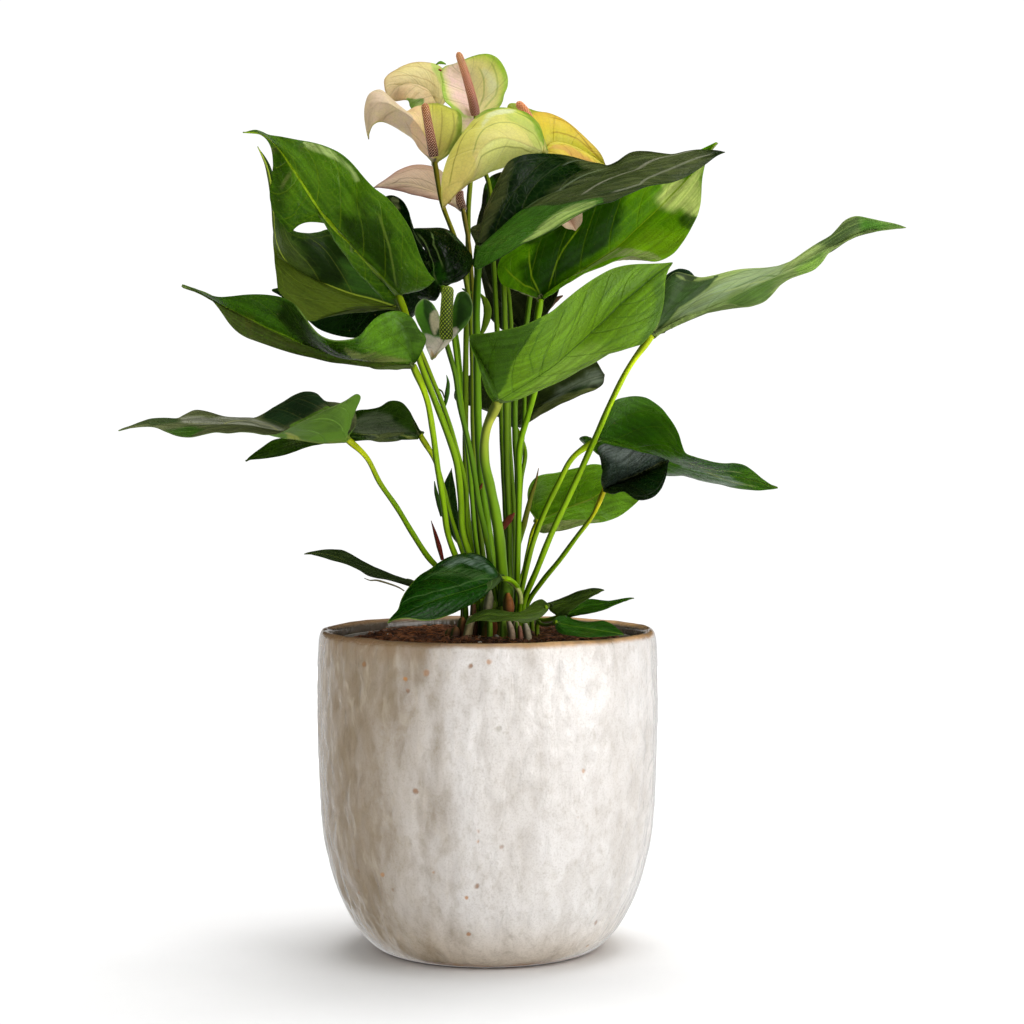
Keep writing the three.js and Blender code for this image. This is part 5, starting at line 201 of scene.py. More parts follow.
 'flower_7': ((1.4, 1.7), [(36,-9.7,368.6),(16.1,-6.8,363.9),(7.3,-4.6,346.1),(10.6,-3,325.3),(11.8,-1.8,304.1),(10.8,-1,282.8),(10.5,-0.4,261.5),(11.7,-0.1,240.1),(13,0.2,218.8),(13.1,0.3,197.3),(11.8,0.4,175.9),(11.8,0.4,164.8)]),
 'flower_8': ((1.5, 1.8), [(-18.8,-68,300.6),(-14.8,-61.3,285.9),(-12.7,-54.8,270.6),(-9.1,-48.3,255.3),(-6.2,-41.9,239.7),(-4,-35.7,223.8),(-0.6,-29.5,207.9),(2,-23.5,191.7),(4,-17.9,175.2),(4,-17.9,160.5)]),
}
SPADICES = {
 'flower_2': ((2.6, 1.7), [(-6,9,416.7),(-7.6,6.8,424.4),(-9.7,4.5,432),(-12,2.2,439.4),(-14.6,0,446.7)]),
 'flower_3': ((2.6, 1.9), [(-25.8,-24.3,392.3),(-26.9,-25.5,398.7),(-28,-26.8,405),(-29.1,-28,411.3),(-30.2,-29.3,417.6)]),
 'flower_5': ((2.6, 2.0), [(26.3,9,398.3),(24.2,10.2,405.1),(22,11.5,411.8),(19.3,12.8,418.4),(14.8,14,423.9)]),
 'flower_6': ((2.4, 1.8), [(-12.3,-4,369.1),(-13.1,-4,371.3),(-13.6,-4,373.5),(-13.7,-4,375.8),(-13.8,-4,378)]),
 'flower_8': ((3.2, 2.6), [(-18.4,-76,301.7),(-18.6,-77,307.8),(-18.3,-78,314),(-17.9,-79,320.1),(-17.5,-80,326.2)]),
}
SPECKS = [(1.5,-84.4,151.1,1.1),(-6.9,-84.3,149.2,1),(-28,-79.9,145.5,1.3),(-38,-75.8,142.2,1),(-36.6,-76.6,136.7,0.9),(5.7,-84.9,119.8,1.4),(46,-71.2,97.9,1),(-32.9,-77.8,89.7,1.1),(-3.7,-83.4,71.7,0.9),(-3.7,-83.1,66.9,0.8),(7.1,-82.7,64.1,1),(-24.5,-77,51.2,0.9),(-49.2,-63.2,47.2,0.9),(-4.2,-79.6,45.1,1.1),(-61.2,-47,35.9,0.8),(-8.9,-77.7,39.5,0.8),(52.8,-48.3,21,1),(-8.1,-70.8,20.5,1),(48.8,-40.2,8,0.9),(-57.7,-61.9,147.9,1.2)]
MARKS = {
 'leaf_top_right': {
  'flap': (1, [(0.070, 1.00), (0.068, 0.19), (0.275, 0.04), (0.312, 0.02), (0.362, -0.00), (0.400, 0.02), (0.425, 0.07), (0.445, 0.28), (0.455, 0.59), (0.482, 0.73), (0.510, 0.83), (0.547, 0.84), (0.520, 1.00), (0.473, 1.00), (0.422, 1.00), (0.375, 1.00), (0.312, 1.00), (0.255, 1.00), (0.228, 1.00), (0.168, 1.00), (0.098, 1.00)]),
  'flap_painted_highlight': (1, [(0.260, 0.98), (0.338, 0.82), (0.398, 0.74), (0.445, 0.75), (0.480, 0.81), (0.525, 0.92), (0.473, 1.00), (0.422, 1.00), (0.375, 1.00), (0.315, 1.00)]),
  'left': (1, [(0.283, -1.00), (0.307, -1.00), (0.325, -0.95), (0.330, -0.69), (0.338, -0.43), (0.325, -0.26), (0.305, -0.14), (0.288, 0.01), (0.000, -0.01), (0.050, -1.00), (0.113, -0.94), (0.217, -0.65), (0.290, -0.68)]),
  'grey': (1, [(0.503, -0.92), (0.623, -0.96), (0.700, -0.35), (0.725, -1.00), (0.782, -1.00), (0.897, -1.00), (1.000, -0.75), (0.910, 1.00), (0.810, 1.00), (0.688, 1.00), (0.573, 1.00), (0.492, 0.92), (0.443, 0.29), (0.427, 0.16), (0.495, 0.09), (0.575, -0.12), (0.620, -0.36), (0.560, -0.75)]),
  'v1': (0, [(0.422, 0.11), (0.485, 0.06), (0.552, -0.01), (0.600, -0.17), (0.642, -0.31), (0.680, -0.41)]),
  'v2': (0, [(0.512, 0.63), (0.578, 0.49), (0.672, 0.27), (0.765, 0.01), (0.833, -0.37), (0.917, -0.78)]),
  'v3': (0, [(0.575, 0.82), (0.667, 0.89), (0.792, 0.52), (0.893, 0.30), (0.970, 0.04)]),
  'v4': (0, [(0.522, -0.57), (0.555, -0.81), (0.593, -1.00)]),
 },
 'leaf_bright_back': {
  'shade': (1, [(0.268, 1.00), (0.318, 1.00), (0.445, 1.00), (0.583, 0.97), (0.665, 0.83), (0.642, 0.59), (0.623, 0.33), (0.593, 0.19), (0.545, 0.11), (0.468, 0.09), (0.357, 0.03), (0.000, -0.17), (0.163, 0.31), (0.263, 0.69), (0.320, 0.85)]),
  'gloss': (1, [(0.755, 0.33), (0.790, 0.43), (0.848, 0.29), (0.895, -0.85), (0.770, -1.00), (0.715, -1.00), (0.708, -0.86), (0.733, -0.60), (0.733, -0.32), (0.758, 0.04)]),
  'low': (1, [(0.588, 0.06), (0.642, -0.15), (0.645, -0.84), (0.700, -1.00), (0.578, -1.00), (0.492, -1.00), (0.413, -1.00), (0.555, -0.23)]),
  'dark': (1, [(0.700, -0.64), (0.720, -0.74), (0.703, -1.00), (0.652, -0.99), (0.657, -0.84)]),
  'curl': (1, [(0.072, -0.94), (0.443, -0.07), (0.530, -0.00), (0.580, 0.01), (0.560, -0.29), (0.535, -0.71), (0.503, -0.97), (0.468, -0.93), (0.398, -0.98), (0.505, -0.35), (0.393, -0.52), (0.273, -0.68), (0.258, -0.42)]),
  'v1': (0, [(0.260, 0.02), (0.258, 0.16), (0.258, 0.39), (0.275, 0.65), (0.295, 0.86)]),
  'v2': (0, [(0.253, 0.10), (0.182, 0.37), (0.180, 0.67), (0.188, 0.90)]),
  'v3': (0, [(0.297, 0.02), (0.338, 0.24), (0.367, 0.40), (0.403, 0.53), (0.458, 0.66), (0.485, 0.71)]),
  'lobe': (1, [(0.185, 1.00), (0.220, 1.00), (0.273, 0.97), (0.275, 0.66), (0.247, 0.38), (0.253, 0.10), (0.098, 0.86), (0.133, 0.98)]),
 },
 'leaf_front': {
  'left': (1, [(0.238, -1.00), (0.278, -1.00), (0.355, -1.00), (0.430, -1.00), (0.490, -1.00), (0.453, -0.85), (0.408, -0.64), (0.370, -0.48), (0.318, -0.20), (0.000, 0.35), (0.010, -1.00), (0.068, -0.96), (0.152, -1.00), (0.223, -0.99)]),
  'low': (1, [(0.000, 0.68), (0.380, 0.10), (0.510, -0.02), (0.595, 0.04), (0.630, 0.22), (0.603, 0.83), (0.478, 0.93), (0.367, 0.96), (0.240, 0.99), (0.085, 1.00)]),
  'v1': (0, [(0.422, -0.11), (0.427, -0.52), (0.465, -0.78), (0.508, -0.93)]),
  'v2': (0, [(0.450, -0.02), (0.468, -0.40), (0.517, -0.72), (0.590, -0.94)]),
  'v3': (0, [(0.510, -0.05), (0.540, -0.42), (0.605, -0.68), (0.695, -0.86)]),
  'v4': (0, [(0.593, -0.01), (0.652, -0.36), (0.725, -0.53), (0.785, -0.64)]),
  'v5': (0, [(0.685, -0.01), (0.750, -0.25), (0.823, -0.46)]),
  'v6': (0, [(0.557, 0.38), (0.635, 0.39), (0.688, 0.63), (0.728, 0.84)]),
  'v7': (0, [(0.723, 0.01), (0.745, 0.41), (0.792, 0.75)]),
  'edge': (1, [(0.917, 0.20), (0.960, 0.55), (0.878, 1.00), (0.792, 1.00), (0.720, 1.00), (0.642, 1.00), (0.675, 0.87), (0.760, 0.79), (0.840, 0.73)]),
  'v8': (0, [(0.768, 0.05), (0.855, -0.01), (0.925, 0.06), (0.978, 0.11)]),
 },
 'leaf_upper_left': {
  'shine': (1, [(0.782, -0.98), (0.753, -0.98), (0.710, -0.96), (0.657, -0.94), (0.608, -0.94), (0.550, -0.92), (0.565, -0.85), (0.610, -0.88), (0.652, -0.87), (0.703, -0.82), (0.745, -0.80), (0.772, -0.83)]),
  'base': (1, [(0.580, -0.27), (0.490, -0.55), (0.413, -0.71), (0.365, -0.63), (0.315, -0.42), (0.255, -0.04), (0.343, -0.06), (0.435, -0.06), (0.512, -0.05), (0.555, -0.09)]),
  'mid': (1, [(0.540, -0.80), (0.453, -0.84), (0.390, -0.75), (0.285, -0.56), (0.173, -0.85), (0.200, -0.23), (0.295, -0.35), (0.375, -0.64), (0.440, -0.72), (0.512, -0.64)]),
  'ridge': (0, [(0.450, -0.77), (0.403, -0.65), (0.357, -0.52), (0.315, -0.34), (0.265, -0.09)]),
  'mr': (1, [(0.682, 0.06), (0.660, -0.02), (0.603, -0.05), (0.535, -0.06), (0.450, -0.03), (0.413, 0.22), (0.517, 0.05), (0.378, 1.00), (0.650, 0.07)]),
  'grey': (1, [(0.855, 0.95), (0.823, 0.40), (0.770, 0.04), (0.748, 0.07), (0.780, 0.28), (0.792, 0.73), (0.815, 0.93)]),
  'bl': (0, [(0.625, 0.61), (0.620, 0.37), (0.610, 0.14), (0.610, -0.00)]),
  'bdark': (1, [(0.780, 0.98), (0.768, 0.34), (0.725, 0.06), (0.662, 0.02), (0.610, 0.02), (0.585, 0.60), (0.522, 0.99), (0.583, 1.00), (0.660, 1.00)]),
 },
 'leaf_upper_left_back': {
  'dark': (1, [(0.605, -0.86), (0.515, -0.96), (0.405, -0.96), (0.288, -0.93), (0.145, -0.62), (0.273, -0.44), (0.367, -0.51), (0.443, -0.50), (0.448, -0.17), (0.487, -0.01), (0.542, -0.01), (0.570, -0.11), (0.552, -0.24), (0.573, -0.37), (0.588, -0.59)]),
  'bright': (1, [(0.443, -0.50), (0.365, -0.54), (0.273, -0.44), (0.125, -0.12), (0.333, -0.07), (0.427, -0.04), (0.460, -0.08), (0.432, -0.31)]),
  'mr': (1, [(0.000, 0.73), (0.310, 0.09), (0.403, 0.11), (0.480, 0.09), (0.438, -0.04), (0.333, -0.07), (0.000, -0.83)]),
  'grey': (1, [(0.830, 0.50), (0.657, -0.94), (0.598, -0.66), (0.565, -0.26), (0.542, -0.01), (0.557, 0.41), (0.613, 0.59), (0.690, 0.47)]),
 },
 'leaf_middle_left': {
  'hump': (1, [(0.403, -0.93), (0.362, -1.00), (0.302, -1.00), (0.238, -1.00), (0.188, -1.00), (0.130, -1.00), (0.083, -1.00), (0.083, -0.45), (0.253, -0.03), (0.297, -0.11), (0.365, -0.29), (0.410, -0.67)]),
  'dark': (1, [(0.642, -1.00), (0.583, -0.99), (0.537, -0.78), (0.470, -0.97), (0.448, -0.54), (0.487, -0.09), (0.562, -0.07), (0.625, -0.09), (0.677, -0.23), (0.713, -0.58), (0.688, -0.97)]),
  'stripe': (1, [(0.458, -0.81), (0.427, -0.62), (0.343, -0.30), (0.265, -0.09), (0.323, -0.07), (0.408, -0.11), (0.465, -0.27)]),
  'rim': (0, [(0.647, -1.00), (0.603, -0.99), (0.557, -0.98), (0.517, -1.00), (0.478, -1.00), (0.440, -1.00), (0.400, -1.00)]),
  'mr': (0, [(0.888, -0.30), (0.825, -0.07), (0.760, -0.04), (0.688, -0.07), (0.625, -0.06)]),
  'shade2': (1, [(0.200, -0.88), (0.133, -1.00), (0.090, -0.84), (0.130, -0.20), (0.238, -0.29), (0.233, -0.57)]),
 },
 'leaf_low_left': {
  'lobe': (1, [(0.487, 0.32), (0.450, -0.28), (0.405, -0.39), (0.302, -0.55), (0.220, -0.85), (0.195, 0.99), (0.133, 1.00), (0.072, 0.77), (0.000, 0.07), (0.345, 0.22), (0.432, -0.09)]),
  'top': (1, [(0.503, -1.00), (0.410, -1.00), (0.350, -1.00), (0.307, -1.00), (0.240, -1.00), (0.215, -0.85), (0.325, -0.51), (0.415, -0.37), (0.487, -0.17), (0.537, -0.52)]),
  'painted_sheen_band': (1, [(0.800, -0.63), (0.723, -0.18), (0.593, -0.84), (0.542, -0.44), (0.482, -0.14), (0.540, 0.34), (0.618, 0.29), (0.715, 0.29), (0.815, 0.15)]),
  'low': (1, [(0.830, 0.95), (0.772, 0.40), (0.710, 0.65), (0.743, 1.00), (0.795, 1.00)]),
  'tip': (1, [(1.000, -1.00), (0.885, -1.00), (0.800, -1.00), (0.825, 0.20), (0.885, 1.00), (1.000, -1.00)]),
  'under': (1, [(0.478, -0.01), (0.000, 0.07), (0.253, -0.00), (0.435, -0.00), (0.453, 0.51)]),
  'v1': (0, [(0.680, -0.09), (0.590, -0.30), (0.525, -0.26), (0.403, 0.90)]),
  'v2': (0, [(0.800, 0.14), (0.723, 0.15), (0.642, -0.21)]),
 },
 'leaf_low_left_back': {
  'grey': (1, [(0.575, -0.16), (0.448, -0.72), (0.323, -0.89), (0.300, -0.61), (0.315, -0.28), (0.120, 1.00), (0.295, 0.95)]),
  'base': (0, [(0.570, 0.03), (0.475, -0.01), (0.233, 0.53), (0.007, 0.66)]),
  'tip': (1, [(0.797, -0.59), (0.708, -0.18), (0.750, 0.45), (0.838, 0.17)]),
 },
 'leaf_centre_curled': {
  'r1': (0, [(0.948, 0.66), (0.843, 0.59), (0.685, 0.66), (0.500, 0.48), (0.305, 0.11)]),
  'r2': (0, [(0.840, -0.32), (0.738, 0.14), (0.590, 0.15), (0.455, 0.05)]),
  'shine': (1, [(0.713, -0.89), (0.630, -0.95), (0.532, -0.95), (0.557, -0.79), (0.640, -0.66), (0.708, -0.65)]),
  'g': (1, [(0.638, 0.83), (0.550, 0.14), (0.348, -0.09), (0.292, 0.11), (0.497, 0.67)]),
 },
 'leaf_long_right': {
  'dark': (1, [(0.177, -1.00), (0.223, -0.90), (0.378, -0.95), (0.372, -0.68), (0.330, -0.52), (0.285, -0.43), (0.288, -0.21), (0.263, 0.01), (0.055, -0.99)]),
  'hump': (1, [(0.182, -1.00), (0.225, -1.00), (0.283, -0.99), (0.263, -0.92), (0.163, -1.00)]),
  'pale': (1, [(0.297, -0.15), (0.305, -0.37), (0.383, -0.57), (0.438, -0.78), (0.490, -0.95), (0.610, -0.98), (0.695, 0.31), (0.633, 0.08), (0.535, -0.19), (0.463, -0.06), (0.393, -0.05)]),
  'v1': (0, [(0.492, -0.31), (0.583, -0.33), (0.688, 0.11), (0.700, 0.67), (0.730, 0.84)]),
  'v2': (0, [(0.460, -0.32), (0.562, -0.22), (0.660, 0.09), (0.675, 0.45)]),
  'v3': (0, [(0.435, -0.71), (0.480, -0.90), (0.552, -0.95), (0.642, -0.80)]),
  'lobe': (1, [(0.490, 0.15), (0.537, 0.19), (0.588, 0.46), (0.613, 0.61), (0.435, 1.00), (0.370, 0.88), (0.315, 0.95)]),
  'right': (1, [(0.670, 0.36), (0.713, 0.50), (0.748, 0.72), (0.680, 1.00), (0.628, 1.00), (0.575, 1.00)]),
  'tipdark': (1, [(0.693, -0.98), (0.792, -0.77), (0.820, -0.91), (0.858, -0.95), (0.900, -0.46), (0.883, -0.13), (0.845, 0.18), (0.782, -0.26)]),
  'tip': (1, [(0.860, -1.00), (0.935, -1.00), (1.000, -0.75), (0.907, 0.99), (0.890, -0.22)]),
 },
 'leaf_lower_right': {
  'light': (1, [(0.273, -0.02), (0.050, -0.99), (0.140, -1.00), (0.200, -1.00), (0.275, -1.00), (0.325, -0.98), (0.270, -0.70), (0.247, -0.46), (0.268, -0.13)]),
  'core': (1, [(0.250, -0.09), (0.253, -0.37), (0.290, -0.64), (0.370, -0.82), (0.450, -0.75), (0.500, -0.47), (0.450, -0.12), (0.360, -0.09)]),
  'far': (1, [(0.557, -0.92), (0.652, -1.00), (0.812, -1.00), (0.858, -1.00), (0.818, -0.20), (0.688, -0.39), (0.625, -0.34)]),
  'pale': (1, [(0.625, -0.34), (0.693, -0.32), (0.820, -0.02), (0.875, 0.45), (0.758, 1.00), (0.677, 0.91), (0.647, 0.33)]),
  'v1': (0, [(0.598, -0.63), (0.672, -0.56), (0.763, -0.47), (0.863, -0.49)]),
  'v2': (0, [(0.665, -0.17), (0.760, 0.07), (0.838, 0.40), (0.932, 0.51)]),
 },
 'leaf_lower_right_cup': {
  'grey': (1, [(0.445, -1.00), (0.608, -1.00), (0.810, -1.00), (0.998, -1.00), (0.855, -0.14), (0.657, -0.13), (0.450, -0.09), (0.035, -0.26), (0.345, -0.65)]),
  'painted_sheen_lite': (1, [(0.460, -1.00), (0.605, -0.97), (0.893, -0.94), (0.735, -0.52), (0.525, -0.64), (0.450, -0.78)]),
  'v1': (0, [(0.435, -0.13), (0.645, -0.11), (0.855, -0.14), (0.958, -0.36)]),
  'g': (1, [(0.545, 0.35), (0.718, 0.29), (0.880, 0.47), (0.825, 0.93), (0.693, 0.97), (0.565, 0.81)]),
 },
 'leaf_low_right_back': {
  'low': (1, [(0.263, 0.13), (0.403, 0.09), (0.532, 0.19), (0.720, 0.18), (0.875, -0.01), (1.000, -0.74), (0.902, 1.00), (0.780, 1.00), (0.618, 1.00), (0.432, 0.72)]),
  'strip': (1, [(0.000, 0.51), (0.367, 0.53), (0.515, 0.87), (0.628, 0.94), (0.517, 1.00), (0.383, 1.00), (0.253, 1.00), (0.115, 1.00)]),
  'dark': (1, [(0.535, -1.00), (0.652, -1.00), (0.703, -0.53), (0.743, -0.12), (0.647, -0.33), (0.530, -0.68)]),
  'mr': (0, [(0.273, 0.07), (0.410, 0.04), (0.557, 0.02), (0.718, 0.06)]),
  'sheen': (1, [(0.292, -0.81), (0.335, -0.92), (0.350, -0.61), (0.310, -0.28), (0.273, -0.50)]),
 },
 'leaf_low_front': {
  's1': (1, [(0.458, -0.83), (0.338, -0.90), (0.320, -0.72), (0.338, -0.31), (0.383, -0.37), (0.390, -0.63), (0.478, -0.61)]),
  's2': (1, [(0.275, -0.85), (0.258, -0.59), (0.278, -0.07), (0.318, -0.17), (0.312, -0.54)]),
  's3': (1, [(0.603, -0.86), (0.480, -0.72), (0.393, -0.27), (0.323, -0.06), (0.468, -0.17), (0.580, -0.54)]),
  'mr': (0, [(0.860, -0.94), (0.758, -0.29), (0.623, -0.14), (0.445, -0.12), (0.283, -0.03)]),
  'v1': (0, [(0.672, -0.78), (0.547, -0.64), (0.432, -0.39), (0.318, -0.12)]),
 },
 'leaf_hidden_behind_front': {
  's1': (1, [(0.517, 0.28), (0.693, -0.02), (0.875, -0.07), (0.968, -0.49), (0.953, 0.98), (0.855, 0.65), (0.705, 0.41), (0.527, 0.54)]),
  'edge': (1, [(0.185, 0.96), (0.362, 0.95), (0.517, 0.95), (0.718, 0.96), (0.863, 0.99), (0.828, 0.72), (0.657, 0.45), (0.517, 0.28)]),
  'g': (1, [(0.685, 0.33), (0.772, 0.24), (0.880, 0.30), (0.820, 0.66), (0.700, 0.70)]),
 },
 'leaf_hidden_left': {
  's1': (1, [(0.372, -0.94), (0.338, -0.97), (0.330, -0.84), (0.355, -0.78), (0.370, -0.87)]),
 },
 'leaf_hidden_behind_stalks': {
  'mr': (0, [(0.435, -0.67), (0.375, -0.61), (0.425, -0.00), (0.328, -0.04), (0.263, 0.03)]),
  'green': (1, [(0.878, -0.95), (0.953, -0.94), (0.983, 0.99), (0.865, 0.50), (0.815, 0.23), (0.855, 0.11), (0.915, -0.19)]),
 },
 'flower_4': {
  'flap': (1, [(0.328, -1.00), (0.395, -1.00), (0.445, -1.00), (0.508, -1.00), (0.608, -1.00), (0.733, -1.00), (0.830, -1.00), (0.917, -1.00), (0.970, -1.00), (1.000, -0.75), (0.975, 0.27), (0.935, -0.02), (0.902, -0.00), (0.815, 0.53), (0.770, 0.52), (0.723, -0.08), (0.620, -0.34), (0.540, -0.62), (0.478, -0.76), (0.420, -0.84), (0.360, -0.92)]),
  'ridge': (1, [(0.338, -1.00), (0.400, -1.00), (0.445, -1.00), (0.482, -1.00), (0.485, -0.90), (0.448, -0.85), (0.393, -0.90), (0.335, -0.95)]),
  'right': (1, [(0.280, -1.00), (0.228, -1.00), (0.155, -1.00), (0.055, -1.00), (0.000, -0.80), (0.100, 0.39), (0.285, -0.23), (0.275, -0.58), (0.283, -0.86)]),
  'white': (1, [(0.443, -0.80), (0.365, -0.88), (0.305, -0.93), (0.343, -0.74), (0.415, -0.65), (0.478, -0.62), (0.547, -0.48)]),
  'v1': (0, [(0.270, 0.08), (0.305, -0.28), (0.365, -0.40), (0.450, -0.42), (0.532, -0.43), (0.635, -0.22), (0.718, -0.09)]),
  'v2': (0, [(0.300, 0.13), (0.413, 0.09), (0.510, 0.17), (0.600, 0.21), (0.685, 0.18), (0.750, 0.38)]),
  'v3': (0, [(0.240, -0.06), (0.238, -0.49), (0.285, -0.71), (0.343, -0.82)]),
  'v4': (0, [(0.485, -0.75), (0.550, -0.72), (0.652, -0.66), (0.772, -0.64), (0.905, -0.55)]),
  'v5': (0, [(0.465, -0.91), (0.552, -0.91), (0.675, -0.82)]),
  'green2': (1, [(0.375, -0.75), (0.285, -0.71), (0.247, -0.38), (0.260, -0.05), (0.343, -0.01), (0.348, -0.32), (0.405, -0.48)]),
 },
 'flower_5': {
  'v1': (0, [(0.522, -0.72), (0.593, -0.77), (0.670, -0.87), (0.753, -0.69), (0.895, -0.31)]),
  'v2': (0, [(0.475, -0.21), (0.603, -0.24), (0.718, -0.35), (0.838, -0.33), (0.958, -0.27)]),
  'v3': (0, [(0.375, -0.08), (0.525, 0.29), (0.735, 0.25), (0.938, -0.13)]),
  'low': (1, [(0.367, 0.20), (0.677, 0.35), (0.993, 1.00), (0.618, 0.91)]),
  'green': (1, [(0.278, -1.00), (0.315, -1.00), (0.403, -1.00), (0.515, -1.00), (0.413, -0.77), (0.208, -0.90), (0.230, -0.98)]),
 },
 'flower_2': {
  'rim': (1, [(0.830, 1.00), (0.853, 1.00), (0.705, 0.94), (0.570, 0.88), (0.422, 0.89), (0.335, 0.61), (0.258, 0.11), (0.300, 0.65), (0.367, 1.00), (0.540, 1.00), (0.715, 1.00)]),
  'rim2': (1, [(0.810, -1.00), (0.710, -1.00), (0.588, -1.00), (0.492, -1.00), (0.365, -1.00), (0.258, -1.00), (0.288, -0.86), (0.405, -0.89), (0.530, -0.89), (0.645, -0.88), (0.763, -0.88)]),
  'v1': (0, [(0.315, -0.08), (0.473, -0.27), (0.645, -0.40), (0.810, -0.49)]),
  'v2': (0, [(0.283, -0.24), (0.420, -0.64), (0.568, -0.73), (0.753, -0.82)]),
  'white': (1, [(0.708, -0.50), (0.630, -0.65), (0.515, -0.67), (0.415, -0.51), (0.383, -0.32), (0.545, -0.43)]),
  'pink': (1, [(0.825, 0.85), (0.963, 0.99), (0.795, 0.23), (0.560, 0.15), (0.320, 0.04), (0.448, 0.54), (0.595, 0.75)]),
 },
 'flower_1': {
  'rim': (1, [(0.410, -1.00), (0.348, -0.98), (0.275, -0.69), (0.077, -0.90), (0.212, -0.27), (0.340, -0.49), (0.403, -0.72)]),
  'v1': (0, [(0.820, -0.77), (0.700, -0.48), (0.552, -0.26), (0.320, -0.30)]),
  'v2': (0, [(0.893, -0.60), (0.755, 0.07), (0.542, 0.17), (0.240, -0.19)]),
  'v3': (0, [(0.728, -0.99), (0.590, -0.83), (0.470, -0.68), (0.345, -0.54)]),
  'lowgreen': (1, [(0.685, 0.97), (0.458, 0.50), (0.335, 1.00), (0.495, 1.00), (0.615, 1.00)]),
 },
 'flower_3': {
  'flap': (1, [(0.785, -1.00), (0.738, -1.00), (0.685, -1.00), (0.650, -0.59), (0.603, -0.62), (0.552, 0.30), (0.357, 1.00), (0.478, 1.00), (0.598, 1.00), (0.720, 0.94), (0.828, 0.88), (0.917, 0.91), (1.000, -0.39), (0.907, -1.00)]),
  'redge': (1, [(0.278, -1.00), (0.238, -1.00), (0.152, -1.00), (0.058, -1.00), (0.015, -1.00), (0.165, -0.44), (0.198, -0.75), (0.255, -0.92)]),
  'green': (1, [(0.352, -0.86), (0.263, -1.00), (0.160, -1.00), (0.072, -0.68), (0.143, -0.09), (0.302, -0.45)]),
  'v1': (0, [(0.253, -0.08), (0.292, -0.37), (0.323, -0.69), (0.365, -0.99)]),
  'v2': (0, [(0.107, -0.26), (0.203, -0.56), (0.255, -0.77), (0.305, -1.00)]),
  'v3': (0, [(0.285, -0.01), (0.390, 0.31), (0.497, 0.53), (0.618, 0.24)]),
 },
 'flower_6': {
  'v1': (0, [(0.948, 0.30), (0.780, -0.33), (0.623, -0.30), (0.478, -0.16)]),
  'v2': (0, [(0.782, -0.71), (0.620, -0.77), (0.500, -0.75), (0.405, -0.61)]),
  'v3': (0, [(0.838, 0.86), (0.675, 0.44), (0.527, 0.25), (0.352, 0.24)]),
  'fold': (1, [(0.413, -0.98), (0.290, -1.00), (0.092, -0.51), (0.258, 0.38), (0.422, 0.12), (0.453, -0.36)]),
 },
 'flower_8': {
  'in1': (1, [(0.408, -0.98), (0.345, -0.95), (0.307, -0.76), (0.315, -0.41), (0.333, -0.13), (0.537, -0.30), (0.510, -0.52), (0.468, -0.76)]),
  'in2': (1, [(0.350, 1.00), (0.425, 0.97), (0.495, 0.97), (0.562, 0.95), (0.573, 0.68), (0.638, 0.45), (0.435, 0.48), (0.362, 0.74)]),
  'tip': (1, [(0.772, -0.88), (0.542, -0.25), (0.255, -0.00), (0.782, 0.98), (0.895, 0.99), (1.000, -0.69), (0.873, -1.00)]),
  'beige': (1, [(0.410, -0.67), (0.230, -1.00), (0.285, -0.41), (0.040, -0.53), (0.520, -0.28), (0.482, -0.48)]),
  'spot': (1, [(0.833, -0.34), (0.843, 0.26), (0.975, 1.00), (0.968, -0.46)]),
 },
}
